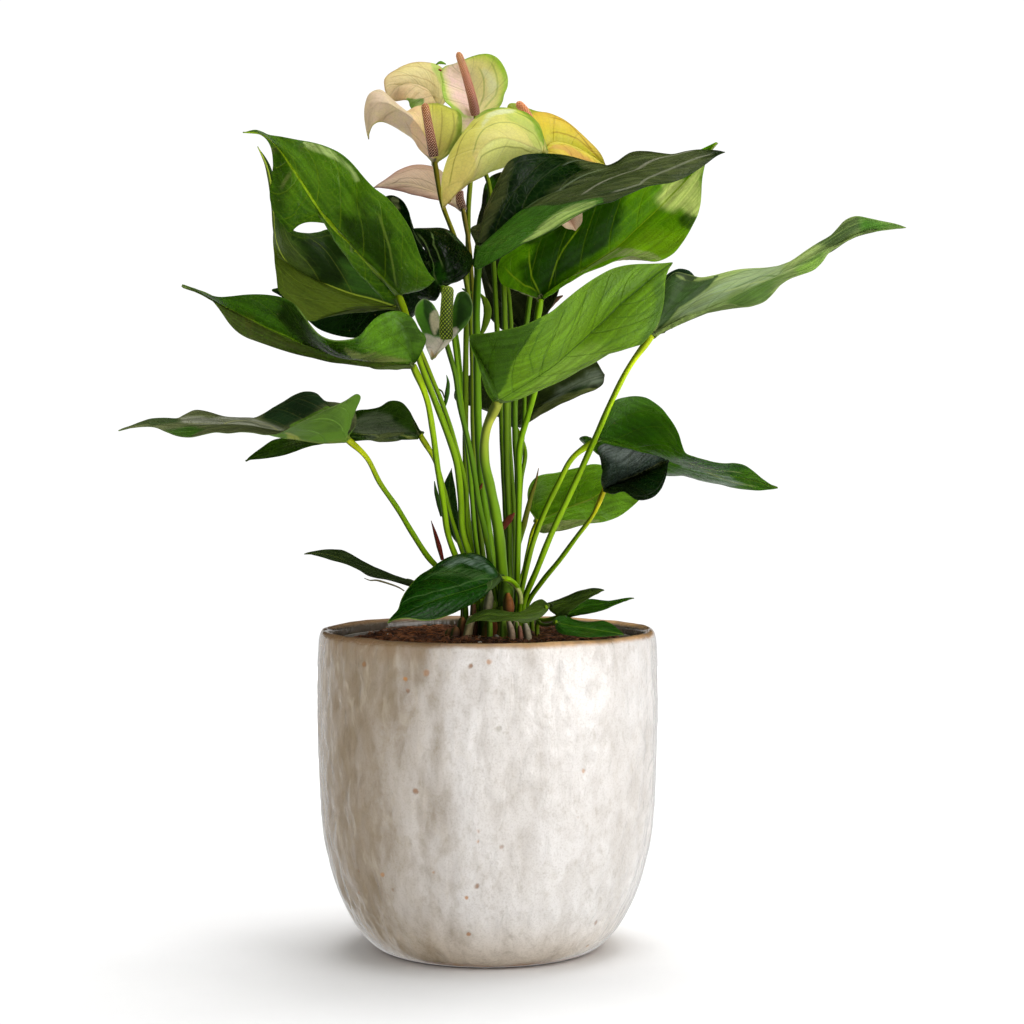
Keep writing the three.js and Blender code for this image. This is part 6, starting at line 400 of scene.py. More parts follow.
BITS = {
 'tiny_leaf': ([(-21.8,-14.0,268.4),(-20.5,-14.0,272.9),(-19.6,-14.0,278.3),(-19.3,-14.0,282.7),(-20.1,-14.0,286.2)], [0.35, 0.9, 1.25, 0.9, 0.15], ((58, 96, 18), (70, 120, 26)), 'leaf_bright'),
 'tiny_twig': ([(-27.0,-13.0,281.2),(-24.6,-13.0,279.5),(-22.3,-13.0,278.0),(-21.1,-13.0,274.8)], [0.35, 0.45, 0.4, 0.3], ((96, 110, 30), (70, 84, 30)), 'stalk_tissue'),
 'inner_leaf': ([(-4.4,14.0,305.4),(-2.1,14.0,309.9),(-0.3,14.0,316.0),(-0.2,14.0,320.5),(-1.6,14.0,324.5),(-4.0,14.0,328.0)], [0.5, 1.3, 1.9, 2.1, 1.6, 0.3], ((96, 126, 18), (116, 146, 24)), 'leaf_bright'),
 'dry_sliver': ([(-60.0,-30.0,186.8),(-57.1,-30.0,185.7),(-53.7,-30.0,185.7),(-48.3,-30.0,184.2),(-43.4,-30.0,182.4),(-40.3,-30.0,180.5)], [0.15, 0.35, 0.5, 0.45, 0.4, 0.3], ((98, 92, 60), (130, 120, 88)), 'leaf_dark'),
 'dry_tip': ([(29.1,30.0,316.2),(30.7,30.0,320.8),(33.2,30.0,324.3),(36.0,30.0,326.4),(38.3,30.0,327.6)], [0.4, 0.9, 1.5, 1.3, 0.3], ((74, 48, 30), (118, 84, 58)), 'leaf_dark'),
 'bract_pointed': ([(16.0,-6.0,202.3),(19.0,-6.0,215.2),(21.7,-6.0,225.7),(23.9,-6.0,232.7),(25.5,-6.0,240.1)], [0.8, 1.5, 1.3, 0.9, 0.15], ((104, 146, 16), (132, 92, 40)), 'stalk_tissue'),
 'bract_green': ([(-22.6,4.0,215.8),(-24.4,4.0,222.4),(-25.9,4.0,227.9),(-26.7,4.0,233.4)], [1.2, 1.4, 1.0, 0.2], ((48, 84, 14), (66, 104, 20)), 'stalk_tissue'),
 'bract_red': ([(6.6,-34.0,209.0),(8.4,-34.0,212.6),(10.6,-34.0,215.6),(13.5,-34.0,218.8)], [0.5, 1.6, 1.9, 0.4], ((76, 24, 12), (118, 48, 30)), 'stalk_tissue'),
 'bract_red_small': ([(-4.0,-34.0,229.7),(-3.0,-34.0,231.4),(-2.1,-34.0,233.3)], [0.3, 0.9, 0.3], ((96, 40, 20), (120, 60, 36)), 'stalk_tissue'),
 'bract_red_small_2': ([(5.0,-34.0,201.2),(6.7,-34.0,203.2),(8.1,-34.0,205.1)], [0.2, 0.6, 0.2], ((110, 50, 24), (120, 60, 36)), 'stalk_tissue'),
 'sheath_red': ([(-22.1,-16.0,194.9),(-23.6,-16.0,200.8),(-25.6,-16.0,207.7),(-27.7,-16.0,214.4)], [0.9, 1.3, 0.9, 0.15], ((110, 28, 20), (138, 52, 34)), 'stalk_tissue'),
 'dark_leaf_in_stems': ([(-4.9,8.0,190.5),(-6.9,8.0,198.5),(-5.9,8.0,207.1),(-4.1,8.0,215.2),(-2.4,8.0,223.8)], [1.5, 3.6, 4.2, 3.4, 0.6], ((20, 50, 10), (34, 66, 18)), 'leaf_dark'),
 'dark_leaf_in_stems_2': ([(9.2,10.0,178.2),(7.7,10.0,188.3),(9.7,10.0,197.4),(11.2,10.0,205.5)], [1.0, 2.6, 2.6, 0.5], ((24, 56, 12), (34, 66, 18)), 'leaf_dark'),
 'green_bit_top': ([(-26.3,24.2,444.1),(-24.0,24.2,445.1),(-21.2,24.2,444.3)], [0.3, 0.9, 0.3], ((96, 150, 30), (120, 160, 40)), 'stalk_tissue'),
 'red_bit_top': ([(-24.9,22.0,441.3),(-23.4,22.0,440.7)], [0.5, 0.5], ((150, 60, 46), (150, 60, 46)), 'spadix_tissue'),
 'far_lobe': ([(89.9,30.0,335.0),(93.5,30.0,337.6),(98.1,30.0,339.1),(102.2,30.0,338.4),(105.8,30.0,336.0)], [1.0, 1.9, 2.3, 2.0, 0.8], ((18, 40, 20), (28, 54, 26)), 'leaf_dark'),
 'hook_green': ([(-12.6,-4.0,329.3),(-10.6,-4.0,328.3),(-7.8,-4.0,327.1)], [0.3, 0.8, 0.5], ((60, 110, 14), (80, 130, 20)), 'leaf_bright'),
 'base_green': ([(9.1,-27.0,172.9),(9.3,-27.0,177.3),(9.5,-27.0,181.7),(9.1,-27.0,185.4),(8.9,-27.0,187.6)], [3.2, 3.7, 3.6, 2.7, 1.2], ((88, 124, 22), (120, 164, 34)), 'crown_tissue'),
 'base_pale': ([(16.4,-31.0,174.2),(16.1,-31.0,178.6),(14.4,-31.0,182.0),(11.8,-31.0,184.3),(9.1,-31.0,185.6)], [1.3, 1.4, 1.2, 1.0, 0.4], ((168, 176, 96), (196, 206, 118)), 'crown_tissue'),
 'base_orange': ([(10.6,-31.0,169.8),(10.5,-31.0,173.2),(10.3,-31.0,176.2),(10.0,-31.0,179.6)], [2.6, 2.9, 2.4, 0.9], ((112, 66, 30), (170, 104, 44)), 'crown_tissue'),
 'stub_1': ([(1.3,-30.0,156.5),(1.4,-30.0,162.4),(1.2,-30.0,167.3),(1.0,-30.0,171.2)], [1.4, 1.5, 1.3, 1.0], ((110, 150, 36), (130, 170, 50)), 'crown_tissue'),
 'stub_2': ([(7.9,-30.0,156.5),(7.9,-30.0,160.9),(7.9,-30.0,163.8),(7.9,-30.0,166.3)], [1.7, 1.7, 1.6, 1.2], ((104, 146, 34), (130, 170, 50)), 'crown_tissue'),
 'stub_3': ([(14.4,-31.0,156.6),(14.5,-31.0,160.5),(14.4,-31.0,162.9),(14.4,-31.0,165.4)], [1.0, 1.0, 0.9, 0.7], ((104, 146, 34), (130, 170, 50)), 'crown_tissue'),
 'stem_brown_1': ([(-6.9,-22.0,155.8),(-6.6,-22.0,161.7),(-6.7,-22.0,167.6),(-6.9,-22.0,173.5)], [2.0, 2.1, 1.9, 1.3], ((70, 42, 26), (108, 74, 46)), 'crown_tissue'),
 'stem_brown_2': ([(-11.4,-20.0,155.6),(-10.9,-20.0,160.5),(-10.4,-20.0,165.0)], [1.4, 1.4, 0.9], ((60, 36, 22), (98, 64, 40)), 'crown_tissue'),
 'stem_brown_3': ([(-1.6,-19.0,155.5),(-1.6,-19.0,160.4),(-1.3,-19.0,166.4)], [1.6, 1.6, 1.0], ((56, 34, 20), (92, 62, 38)), 'crown_tissue'),
 'sheath_white': ([(-0.2,-25.0,168.8),(0.5,-25.0,172.8),(1.2,-25.0,176.7),(1.5,-25.0,180.6)], [1.7, 2.4, 2.2, 0.8], ((150, 140, 104), (190, 184, 150)), 'crown_tissue'),
 'root_pale_1': ([(12.0,-33.0,156.3),(12.1,-33.0,159.7),(11.5,-33.0,162.6),(10.6,-33.0,165.8)], [1.9, 1.8, 1.7, 1.0], ((176, 140, 110), (214, 196, 170)), 'crown_tissue'),
 'root_pale_2': ([(20.1,-32.0,155.2),(19.9,-32.0,158.6),(19.3,-32.0,161.6),(18.6,-32.0,164.7)], [1.9, 1.9, 1.8, 1.1], ((186, 168, 130), (222, 212, 186)), 'crown_tissue'),
 'root_pale_3': ([(16.4,-33.0,156.3),(16.3,-33.0,159.2),(16.1,-33.0,161.6),(16.0,-33.0,163.6)], [1.3, 1.3, 1.2, 0.8], ((170, 110, 86), (206, 150, 124)), 'crown_tissue'),
}

# ---------------------------------------------------------------------------
# curves
# ---------------------------------------------------------------------------
def dense(points, per=40):
    p = np.asarray(points, float)
    q = np.vstack([2 * p[0] - p[1], p, 2 * p[-1] - p[-2]])
    t = np.arange(per)[:, None] / per
    out = []
    for i in range(len(p) - 1):
        a, b, c, d = q[i:i + 4]
        out.append(0.5 * (2 * b + (c - a) * t + (2 * a - 5 * b + 4 * c - d) * t ** 2 + (3 * b - a - 3 * c + d) * t ** 3))
    out = np.vstack(out + [p[-1:]])
    s = np.r_[0, np.cumsum(np.linalg.norm(np.diff(out, axis=0), axis=1))]
    return out, s / s[-1], s[-1]


def at(curve, u):
    pts, s, _ = curve
    return np.stack([np.interp(u, s, pts[:, k]) for k in range(3)], -1)


def unit(a):
    return a / np.maximum(1e-9, np.linalg.norm(a, axis=-1, keepdims=True))


def value_noise(points, scale, seed=0.0, octaves=3):
    out = np.empty(len(points))
    off = Vector((seed * 7.3, seed * 3.1, seed * 5.7))
    for i, p in enumerate(points):
        out[i] = noise.fractal(Vector(p) * scale + off, 0.6, 2.0, octaves)
    return out


# ---------------------------------------------------------------------------
# meshes
# ---------------------------------------------------------------------------
MM = 0.001


def mesh_object(name, verts_mm, faces, uvs=None, material=None, smooth=True, attrs=None):
    me = bpy.data.meshes.new(name)
    me.from_pydata((np.asarray(verts_mm) * MM).tolist(), [], [tuple(int(i) for i in f) for f in faces])
    me.update()
    if uvs:
        loops = np.empty(len(me.loops), dtype=np.int32)
        me.loops.foreach_get("vertex_index", loops)
        for key, arr in uvs.items():
            layer = me.uv_layers.new(name=key)
            layer.data.foreach_set("uv", np.asarray(arr, dtype=np.float32)[loops].ravel())
    if attrs:
        for key, arr in attrs.items():
            layer = me.attributes.new(key, "FLOAT", "POINT")
            layer.data.foreach_set("value", np.asarray(arr, dtype=np.float32))
    if smooth:
        me.polygons.foreach_set("use_smooth", [True] * len(me.polygons))
    ob = bpy.data.objects.new(name, me)
    bpy.context.scene.collection.objects.link(ob)
    if material:
        me.materials.append(material)
    return ob


def fix_outward(ob):
    """Turns the faces over if the closed mesh has a negative volume."""
    me = ob.data
    v = np.empty(len(me.vertices) * 3); me.vertices.foreach_get("co", v); v = v.reshape(-1, 3)
    me.calc_loop_triangles()
    t = np.empty(len(me.loop_triangles) * 3, dtype=np.int32); me.loop_triangles.foreach_get("vertices", t); t = t.reshape(-1, 3)
    vol = np.einsum("ij,ij->i", v[t[:, 0]], np.cross(v[t[:, 1]], v[t[:, 2]])).sum()
    if vol < 0:
        me.flip_normals()
    return ob


def own(ob, node):
    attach(ob, "root")
    if node:
        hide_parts(node)
    return ob


def grid_faces(rows, cols, base=0, flip=False, wrap=False):
    f = []
    n = cols + (0 if wrap else 1)
    for i in range(rows):
        for j in range(cols):
            a = base + i * n + j
            b = base + i * n + (j + 1) % n
            c = base + (i + 1) * n + (j + 1) % n
            d = base + (i + 1) * n + j
            f.append((a, d, c, b) if flip else (a, b, c, d))
    return f


# ---------------------------------------------------------------------------
# shader building
# ---------------------------------------------------------------------------
def lin(c):
    c = np.asarray(c, float) / 255.0
    v = np.where(c <= 0.04045, c / 12.92, ((c + 0.055) / 1.055) ** 2.4)
    return (float(v[0]), float(v[1]), float(v[2]), 1.0)


class Nodes:
    """Small helper for writing node trees."""

    def __init__(self, name):
        self.mat = bpy.data.materials.new(name)
        self.mat.use_nodes = True
        self.t = self.mat.node_tree
        self.t.nodes.clear()
        self.out = self.t.nodes.new("ShaderNodeOutputMaterial")
        self.bsdf = self.t.nodes.new("ShaderNodeBsdfPrincipled")
        self.t.links.new(self.bsdf.outputs[0], self.out.inputs[0])

    def n(self, kind, **props):
        node = self.t.nodes.new("ShaderNode" + kind)
        for k, v in props.items():
            setattr(node, k, v)
        return node

    def link(self, a, b):
        self.t.links.new(a, b)

    def put(self, socket, value):
        if hasattr(value, "is_output") or isinstance(value, bpy.types.NodeSocket):
            self.link(value, socket)
        else:
            socket.default_value = value

    def uv(self, key):
        sep = self.n("SeparateXYZ")
        self.link(self.n("UVMap", uv_map=key).outputs[0], sep.inputs[0])
        return sep.outputs[0], sep.outputs[1]

    def attr(self, key):
        return self.n("Attribute", attribute_name=key).outputs["Fac"]

    def obj(self):
        return self.n("TexCoord").outputs["Object"]

    def math(self, op, a, b=0.0, c=None, clamp=False):
        m = self.n("Math", operation=op, use_clamp=clamp)
        self.put(m.inputs[0], a)
        self.put(m.inputs[1], b)
        if c is not None:
            self.put(m.inputs[2], c)
        return m.outputs[0]

    def smooth(self, x, lo, hi, a=0.0, b=1.0):
        m = self.n("MapRange", interpolation_type="SMOOTHSTEP")
        self.put(m.inputs["Value"], x)
        m.inputs["From Min"].default_value = lo
        m.inputs["From Max"].default_value = hi
        m.inputs["To Min"].default_value = a
        m.inputs["To Max"].default_value = b
        return m.outputs["Result"]

    def mix(self, fac, a, b):
        m = self.n("Mix", data_type="RGBA")
        self.put(m.inputs[0], fac)
        self.put(m.inputs[6], a)
        self.put(m.inputs[7], b)
        return m.outputs[2]

    def noise(self, scale, detail=3.0, vector=None, rough=0.55, distortion=0.0):
        m = self.n("TexNoise")
        m.inputs["Scale"].default_value = scale
        m.inputs["Detail"].default_value = detail
        m.inputs["Roughness"].default_value = rough
        m.inputs["Distortion"].default_value = distortion
        self.link(vector if vector is not None else self.obj(), m.inputs["Vector"])
        return m.outputs["Fac"]

    def voronoi(self, scale, feature="F1", vector=None, out="Distance"):
        m = self.n("TexVoronoi", feature=feature)
        m.inputs["Scale"].default_value = scale
        self.link(vector if vector is not None else self.obj(), m.inputs["Vector"])
        return m.outputs[out]

    def scaled(self, x, y, z, vector=None):
        m = self.n("Mapping")
        m.inputs["Scale"].default_value = (x, y, z)
        self.link(vector if vector is not None else self.obj(), m.inputs["Vector"])
        return m.outputs[0]

    def bump(self, height, strength=0.3, distance=0.001, normal=None):
        m = self.n("Bump")
        m.inputs["Strength"].default_value = strength
        m.inputs["Distance"].default_value = distance
        self.link(height, m.inputs["Height"])
        if normal is not None:
            self.link(normal, m.inputs["Normal"])
        return m.outputs[0]

    def set(self, **kw):
        for k, v in kw.items():
            self.put(self.bsdf.inputs[k.replace("_", " ")], v)
        return self.mat


def through(s, colour, amount):
    """Adds light that passes through a thin blade."""
    tr = s.n("BsdfTranslucent")
    s.put(tr.inputs["Color"], colour)
    mx = s.n("MixShader")
    mx.inputs[0].default_value = amount
    s.link(s.bsdf.outputs[0], mx.inputs[1])
    s.link(tr.outputs[0], mx.inputs[2])
    s.link(mx.outputs[0], s.out.inputs[0])


def streaks(s, t, v, half, along=4.0, across=34.0):
    """Fine grain running lengthwise over a blade; its pitch is set in millimetres, so it stays open at a narrow tip."""
    c = s.n("CombineXYZ")
    dm, _ = s.uv("dist")
    s.put(c.inputs[0], s.math("MULTIPLY", t, along))
    s.put(c.inputs[1], s.math("MULTIPLY", dm, across * 2.0))
    s.put(c.inputs[2], s.math("MULTIPLY", s.smooth(half, 0.4, 0.6), 3.0))
    return s.noise(1.0, 3.0, c.outputs[0])


def apply_marks(s, node, specs, col, rough, height, t, v, half, wobble, blue=0.7, relief=None):
    """Paints the named areas and lines of a blade. Every mark carries its signed distance in millimetres."""
    grain = streaks(s, t, v, half)
    for key, spec in specs.items():
        closed = MARKS[node][key][0]
        k = s.attr("k_" + key)
        if closed:
            soft = spec.get("soft", 1.0)
            k = s.math("ADD", k, s.math("MULTIPLY", s.math("SUBTRACT", wobble, 0.5), spec.get("wob", 2.5 * soft)))
            m = s.smooth(k, -soft, soft)
        else:
            w = spec.get("w", 0.7)
            m = s.smooth(s.math("ABSOLUTE", k), 0.25 * w, w, 1.0, 0.0)
            m = s.math("MULTIPLY", m, s.smooth(s.attr("e_" + key), -5.0, 0.3, 1.0, 0.0))
        if spec.get("streak"):
            q = spec["streak"]
            m = s.math("MULTIPLY", m, s.smooth(grain, 0.36, 0.62, 1.0 - q, 1.0))
        c = spec["col"]
        full = (c[0], c[1], c[2] * spec.get("blue", blue))
        tint = lin(full)
        if relief is not None and closed:
            tint = s.mix(relief, lin([min(255, 1.10 * q) for q in full]), lin([0.70 * q for q in full]))
        col = s.mix(s.math("MULTIPLY", m, spec.get("amt", 0.85)), col, tint)
        if "rough" in spec:
            rough = s.math("ADD", rough, s.math("MULTIPLY", m, spec["rough"]))
        if "lift" in spec:
            height = s.math("ADD", height, s.math("MULTIPLY", m, spec["lift"]))
    return col, rough, height


def leaf_material(name, dark, light, vein, under, rough=0.3, veins=9, bend=-1.3, edge=None, spots=0.2,
                  tip=None, sheen=0.0, contrast=0.16, glow=0.12, other=None, marks=None, midrib=(1.0, 0.7), lat=None,
                  under_mid=0.5, specular=0.23, net=1.0):
    """other: dark and light of the second half; lat: colour, strength and width of the lateral veins."""
    s = Nodes(name)
    dark, light, vein = [(c[0], c[1], c[2] * 0.5) for c in (dark, light, vein)]
    under = (under[0], under[1], under[2] * 0.75)
    t, v = s.uv("UVMap")
    side, half = s.uv("side")
    dm, de = s.uv("dist")           # millimetres / 100 from midrib and from margin
    big = s.noise(18.0, 2.0)
    fine = s.noise(240.0, 2.0)
    pucker = s.noise(130.0, 2.0)
    patchy = s.math("ADD", s.math("MULTIPLY", big, 0.6), s.math("MULTIPLY", pucker, 0.4))
    base = s.mix(s.smooth(patchy, 0.38, 0.64), lin(dark), lin(light))
    if other is not None:
        o2 = s.mix(s.smooth(patchy, 0.38, 0.64), lin((other[0][0], other[0][1], other[0][2] * 0.5)), lin((other[1][0], other[1][1], other[1][2] * 0.5)))
        base = s.mix(s.smooth(half, 0.49, 0.51), base, o2)
    r = s.math("ADD", rough - 0.14, s.math("MULTIPLY", fine, 0.14))
    # lateral veins follow the ribs and bow forward
    wob = s.math("MULTIPLY", s.math("SUBTRACT", big, 0.5), 0.5)
    q = s.math("ADD", s.math("ADD", s.math("MULTIPLY", t, float(veins)), s.math("MULTIPLY", s.math("POWER", v, 1.6), bend)), wob)
    d = s.math("ABSOLUTE", s.math("SUBTRACT", s.math("FRACT", s.math("ADD", q, 0.5)), 0.5))
    lw = 1.0 if lat is None else lat[2]
    lat_m = s.smooth(d, 0.008 * lw, 0.05 * lw, 1.0, 0.0)
    lat_m = s.math("MULTIPLY", lat_m, s.smooth(v, 0.80, 0.97, 1.0, 0.1))
    d2 = s.math("ABSOLUTE", s.math("SUBTRACT", s.math("FRACT", s.math("MULTIPLY", q, 2.0)), 0.5))
    lat2 = s.math("MULTIPLY", s.smooth(d2, 0.01, 0.06, 0.35, 0.0), s.smooth(v, 0.2, 0.5))
    halo = s.smooth(d, 0.0, 0.22, 1.0, 0.0)
    coll = s.math("MULTIPLY", s.smooth(s.math("ABSOLUTE", s.math("SUBTRACT", v, 0.90)), 0.0, 0.016, 1.0, 0.0), 0.5)
    bent = s.n("VectorMath", operation="ADD")
    wn = s.n("TexNoise")
    wn.inputs["Scale"].default_value = 150.0
    s.link(s.obj(), wn.inputs["Vector"])
    ws = s.n("VectorMath", operation="SCALE")
    s.link(wn.outputs["Color"], ws.inputs[0])
    ws.inputs["Scale"].default_value = 0.003
    s.link(s.obj(), bent.inputs[0])
    s.link(ws.outputs[0], bent.inputs[1])
    netm = s.smooth(s.voronoi(340.0, "DISTANCE_TO_EDGE", bent.outputs[0]), 0.0, 0.11, 1.0, 0.0)
    netf = s.smooth(s.voronoi(880.0, "DISTANCE_TO_EDGE", bent.outputs[0]), 0.0, 0.16, 1.0, 0.0)
    mid = s.smooth(dm, 0.0016 * midrib[0], 0.0066 * midrib[0], 1.0, 0.0)
    veinm = s.math("MAXIMUM", s.math("MAXIMUM", lat_m, lat2), coll)
    lc = (vein, 0.55 * contrast + 0.05) if lat is None else (lat[0], lat[1])
    col = s.mix(s.math("MULTIPLY", halo, 0.30 * contrast), base, lin(light))
    col = s.mix(s.math("MULTIPLY", s.smooth(pucker, 0.35, 0.65), 0.18), col, lin([0.55 * c for c in dark]))
    col = s.mix(s.math("MULTIPLY", netm, 0.24 * net), col, lin([0.6 * a1 + 0.4 * a2 for a1, a2 in zip(light, vein)]))
    col = s.mix(s.math("MULTIPLY", netf, 0.08 * net), col, lin([0.5 * c for c in dark]))
    lengthwise = streaks(s, t, v, half, 3.0, 22.0)
    col = s.mix(s.smooth(lengthwise, 0.42, 0.66, 0.0, 0.30), col, lin([0.62 * c for c in dark]))
    col = s.mix(s.smooth(lengthwise, 0.34, 0.50, 0.22, 0.0), col, lin([min(255, 1.2 * c + 5) for c in light]))
    h = s.math("SUBTRACT", s.math("MULTIPLY", fine, 0.22), s.math("MULTIPLY", veinm, 0.9))
    h = s.math("SUBTRACT", h, s.math("MULTIPLY", netm, 0.35 * net))
    h = s.math("ADD", h, s.math("MULTIPLY", pucker, 1.6))
    if marks:
        areas = {k: w for k, w in marks.items() if MARKS[name][k][0]}
        lines = {k: w for k, w in marks.items() if not MARKS[name][k][0]}
        relief = s.math("ADD", s.math("MULTIPLY", netf, 0.12), s.math("MULTIPLY", s.smooth(lengthwise, 0.38, 0.64), 0.45))
        relief = s.math("ADD", relief, s.math("MULTIPLY", s.smooth(pucker, 0.35, 0.65), 0.35), clamp=True)
        col, r, h = apply_marks(s, name, areas, col, r, h, t, v, half, pucker, relief=relief)
    col = s.mix(s.math("MULTIPLY", veinm, lc[1]), col, lin(lc[0]))
    col = s.mix(s.math("MULTIPLY", mid, midrib[1]), col, lin(vein))
    if marks and lines:
        col, r, h = apply_marks(s, name, lines, col, r, h, t, v, half, pucker)
    if tip is not None:
        col = s.mix(s.math("MULTIPLY", s.smooth(t, 0.86, 1.0), 0.8), col, lin(tip))
    rim = s.smooth(de, 0.0, 0.008, 1.0, 0.0)
    col = s.mix(s.math("MULTIPLY", rim, 0.75 if edge else 0.3), col, lin(edge or light))
    # specks of dust and small blemishes
    cells = s.voronoi(210.0, "F1")
    sp = s.math("MULTIPLY", s.smooth(cells, 0.05, 0.12, 1.0, 0.0), s.smooth(s.noise(60.0, 1.0), 0.52, 0.62))
    col = s.mix(s.math("MULTIPLY", sp, spots), col, lin((150, 140, 80)))
    blot = s.smooth(s.noise(42.0, 3.0), 0.66, 0.74)
    col = s.mix(s.math("MULTIPLY", blot, spots * 0.6), col, lin((104, 92, 34)))
    # underside: paler, matter, raised veins
    un = s.mix(s.smooth(patchy, 0.38, 0.62), lin(under), lin([0.8 * c for c in under]))
    un = s.mix(s.math("MULTIPLY", s.math("MAXIMUM", veinm, mid), under_mid), un, lin([min(255, 1.25 * c + 18) for c in under]))
    un = s.mix(s.math("MULTIPLY", netm, 0.16), un, lin([0.75 * c for c in under]))
    if marks:
        through_both = {k: dict(w) for k, w in marks.items() if w.get("both")}
        for w in through_both.values():
            w.pop("rough", None)
            w.pop("lift", None)
        if through_both:
            un, _, _ = apply_marks(s, name, through_both, un, None, None, t, v, half, pucker)
    full = s.mix(side, col, un)
    r = s.math("ADD", r, s.math("MULTIPLY", s.smooth(big, 0.3, 0.7), 0.06))
    r = s.math("ADD", r, s.math("MULTIPLY", side, 0.24))
    s.set(Base_Color=full, Roughness=r, Specular_IOR_Level=specular + sheen, Normal=s.bump(h, 0.6, 0.0006))
    s.bsdf.inputs["Coat Weight"].default_value = 0.02 + sheen * 0.5
    s.bsdf.inputs["Coat Roughness"].default_value = 0.15
    if glow > 0:
        through(s, s.mix(0.5, full, lin(light)), glow)
    return s.mat


def spathe_material(name, a, b, back, veins=5, rough=0.38, edge=None, tips=(), bend=-0.6, glow=0.34, patch=None, vein_dark=0.22,
                    marks=None, vein_col=None, fine_veins=0.3, mottle=0.18, leftward=None):
    """a and b: colours of each half at the midrib, half way out and at the margin. tips: (half, t from, t to, colour, amount)."""
    s = Nodes(name)
    t, v = s.uv("UVMap")
    side, half = s.uv("side")
    dm, de = s.uv("dist")
    big = s.noise(38.0, 3.0)
    fine = s.noise(420.0, 3.0)
    pucker = s.noise(190.0, 3.0)
    both = []
    lift = lambda c: [255 * (q / 255) ** 0.74 for q in c[:2]] + [255 * (c[2] / 255) ** 0.86]
    a, b, back = [lift(c) for c in a], [lift(c) for c in b], lift(back)
    for three in (a, b):
        c = s.mix(s.smooth(v, 0.05, 0.55), lin(three[0]), lin(three[1]))
        both.append(s.mix(s.smooth(v, 0.55, 0.98), c, lin(three[2])))
    col = s.mix(s.smooth(half, 0.45, 0.55), both[0], both[1])
    for which, t0, t1, colour, amount in tips:
        m = s.smooth(t, t0, t1)
        if which == "a":
            m = s.math("MULTIPLY", m, s.smooth(half, 0.45, 0.55, 1.0, 0.0))
        if which == "b":
            m = s.math("MULTIPLY", m, s.smooth(half, 0.45, 0.55))
        col = s.mix(s.math("MULTIPLY", m, amount), col, lin(colour))
    if patch is not None:
        col = s.mix(s.math("MULTIPLY", s.smooth(big, 0.47, 0.62), 0.6), col, lin(patch))
    if leftward is not None:        # blush towards -X
        sx = s.n("SeparateXYZ")
        s.link(s.obj(), sx.inputs[0])
        col = s.mix(s.math("MULTIPLY", s.smooth(sx.outputs[0], leftward[0] * MM, leftward[1] * MM, 1.0, 0.0), leftward[3]), col, lin(lift(leftward[2])))
    if edge is not None:
        col = s.mix(s.math("MULTIPLY", s.smooth(de, 0.001, 0.014, 1.0, 0.0), 0.8), col, lin(edge))
    q = s.math("ADD", s.math("MULTIPLY", t, float(veins)), s.math("MULTIPLY", v, bend))
    d = s.math("ABSOLUTE", s.math("SUBTRACT", s.math("FRACT", s.math("ADD", q, 0.5)), 0.5))
    lat = s.smooth(d, 0.005, 0.05, 1.0, 0.0)
    dq = s.math("ABSOLUTE", s.math("SUBTRACT", s.math("FRACT", s.math("MULTIPLY", q, 3.0)), 0.5))
    lat2 = s.smooth(dq, 0.04, 0.22, fine_veins, 0.0)
    mid = s.smooth(dm, 0.001, 0.006, 1.0, 0.0)
    vm = s.math("MAXIMUM", s.math("MAXIMUM", lat, lat2), mid)
    r = s.math("ADD", rough - 0.05, s.math("MULTIPLY", fine, 0.12))
    h = s.math("SUBTRACT", s.math("MULTIPLY", fine, 0.4), s.math("MULTIPLY", vm, 0.9))
    h = s.math("ADD", h, s.math("MULTIPLY", pucker, 2.0))
    if marks:
        marks = {k: dict(w, col=lift(w["col"])) for k, w in marks.items()}
        areas = {k: w for k, w in marks.items() if MARKS[name][k][0]}
        col, r, h = apply_marks(s, name, areas, col, r, h, t, v, half, pucker, 1.0)
    vc = vein_col or [0.62 * c for c in a[1]]
    col = s.mix(s.math("MULTIPLY", vm, vein_dark), col, lin(vc))
    if marks:
        lines = {k: w for k, w in marks.items() if not MARKS[name][k][0]}
        if lines:
            col, r, h = apply_marks(s, name, lines, col, r, h, t, v, half, pucker, 1.0)
    mott = s.smooth(s.noise(150.0, 3.0), 0.38, 0.7)
    col = s.mix(s.math("MULTIPLY", mott, mottle), col, lin([min(255, 1.12 * c) for c in a[1]]))
    net = s.smooth(s.voronoi(520.0, "DISTANCE_TO_EDGE"), 0.0, 0.12, 1.0, 0.0)
    col = s.mix(s.math("MULTIPLY", net, 0.14), col, lin(vc))
    blot = s.smooth(s.noise(85.0, 2.0), 0.64, 0.72)
    col = s.mix(s.math("MULTIPLY", blot, 0.16), col, lin((140, 96, 48)))
    un = s.mix(s.smooth(big, 0.35, 0.65), lin(back), lin([0.84 * c for c in back]))
    un = s.mix(s.math("MULTIPLY", vm, 0.35), un, lin([0.7 * c for c in back]))
    if marks:
        through_both = {k: dict(w) for k, w in marks.items() if w.get("both")}
        for w in through_both.values():
            w.pop("rough", None)
            w.pop("lift", None)
        if through_both:
            un, _, _ = apply_marks(s, name, through_both, un, None, None, t, v, half, pucker, 1.0)
    full = s.mix(side, col, un)
    s.set(Base_Color=full, Roughness=r, Normal=s.bump(h, 0.6, 0.0006))
    s.bsdf.inputs["Coat Weight"].default_value = 0.05
    s.bsdf.inputs["Coat Roughness"].default_value = 0.3
    through(s, full, glow)
    return s.mat


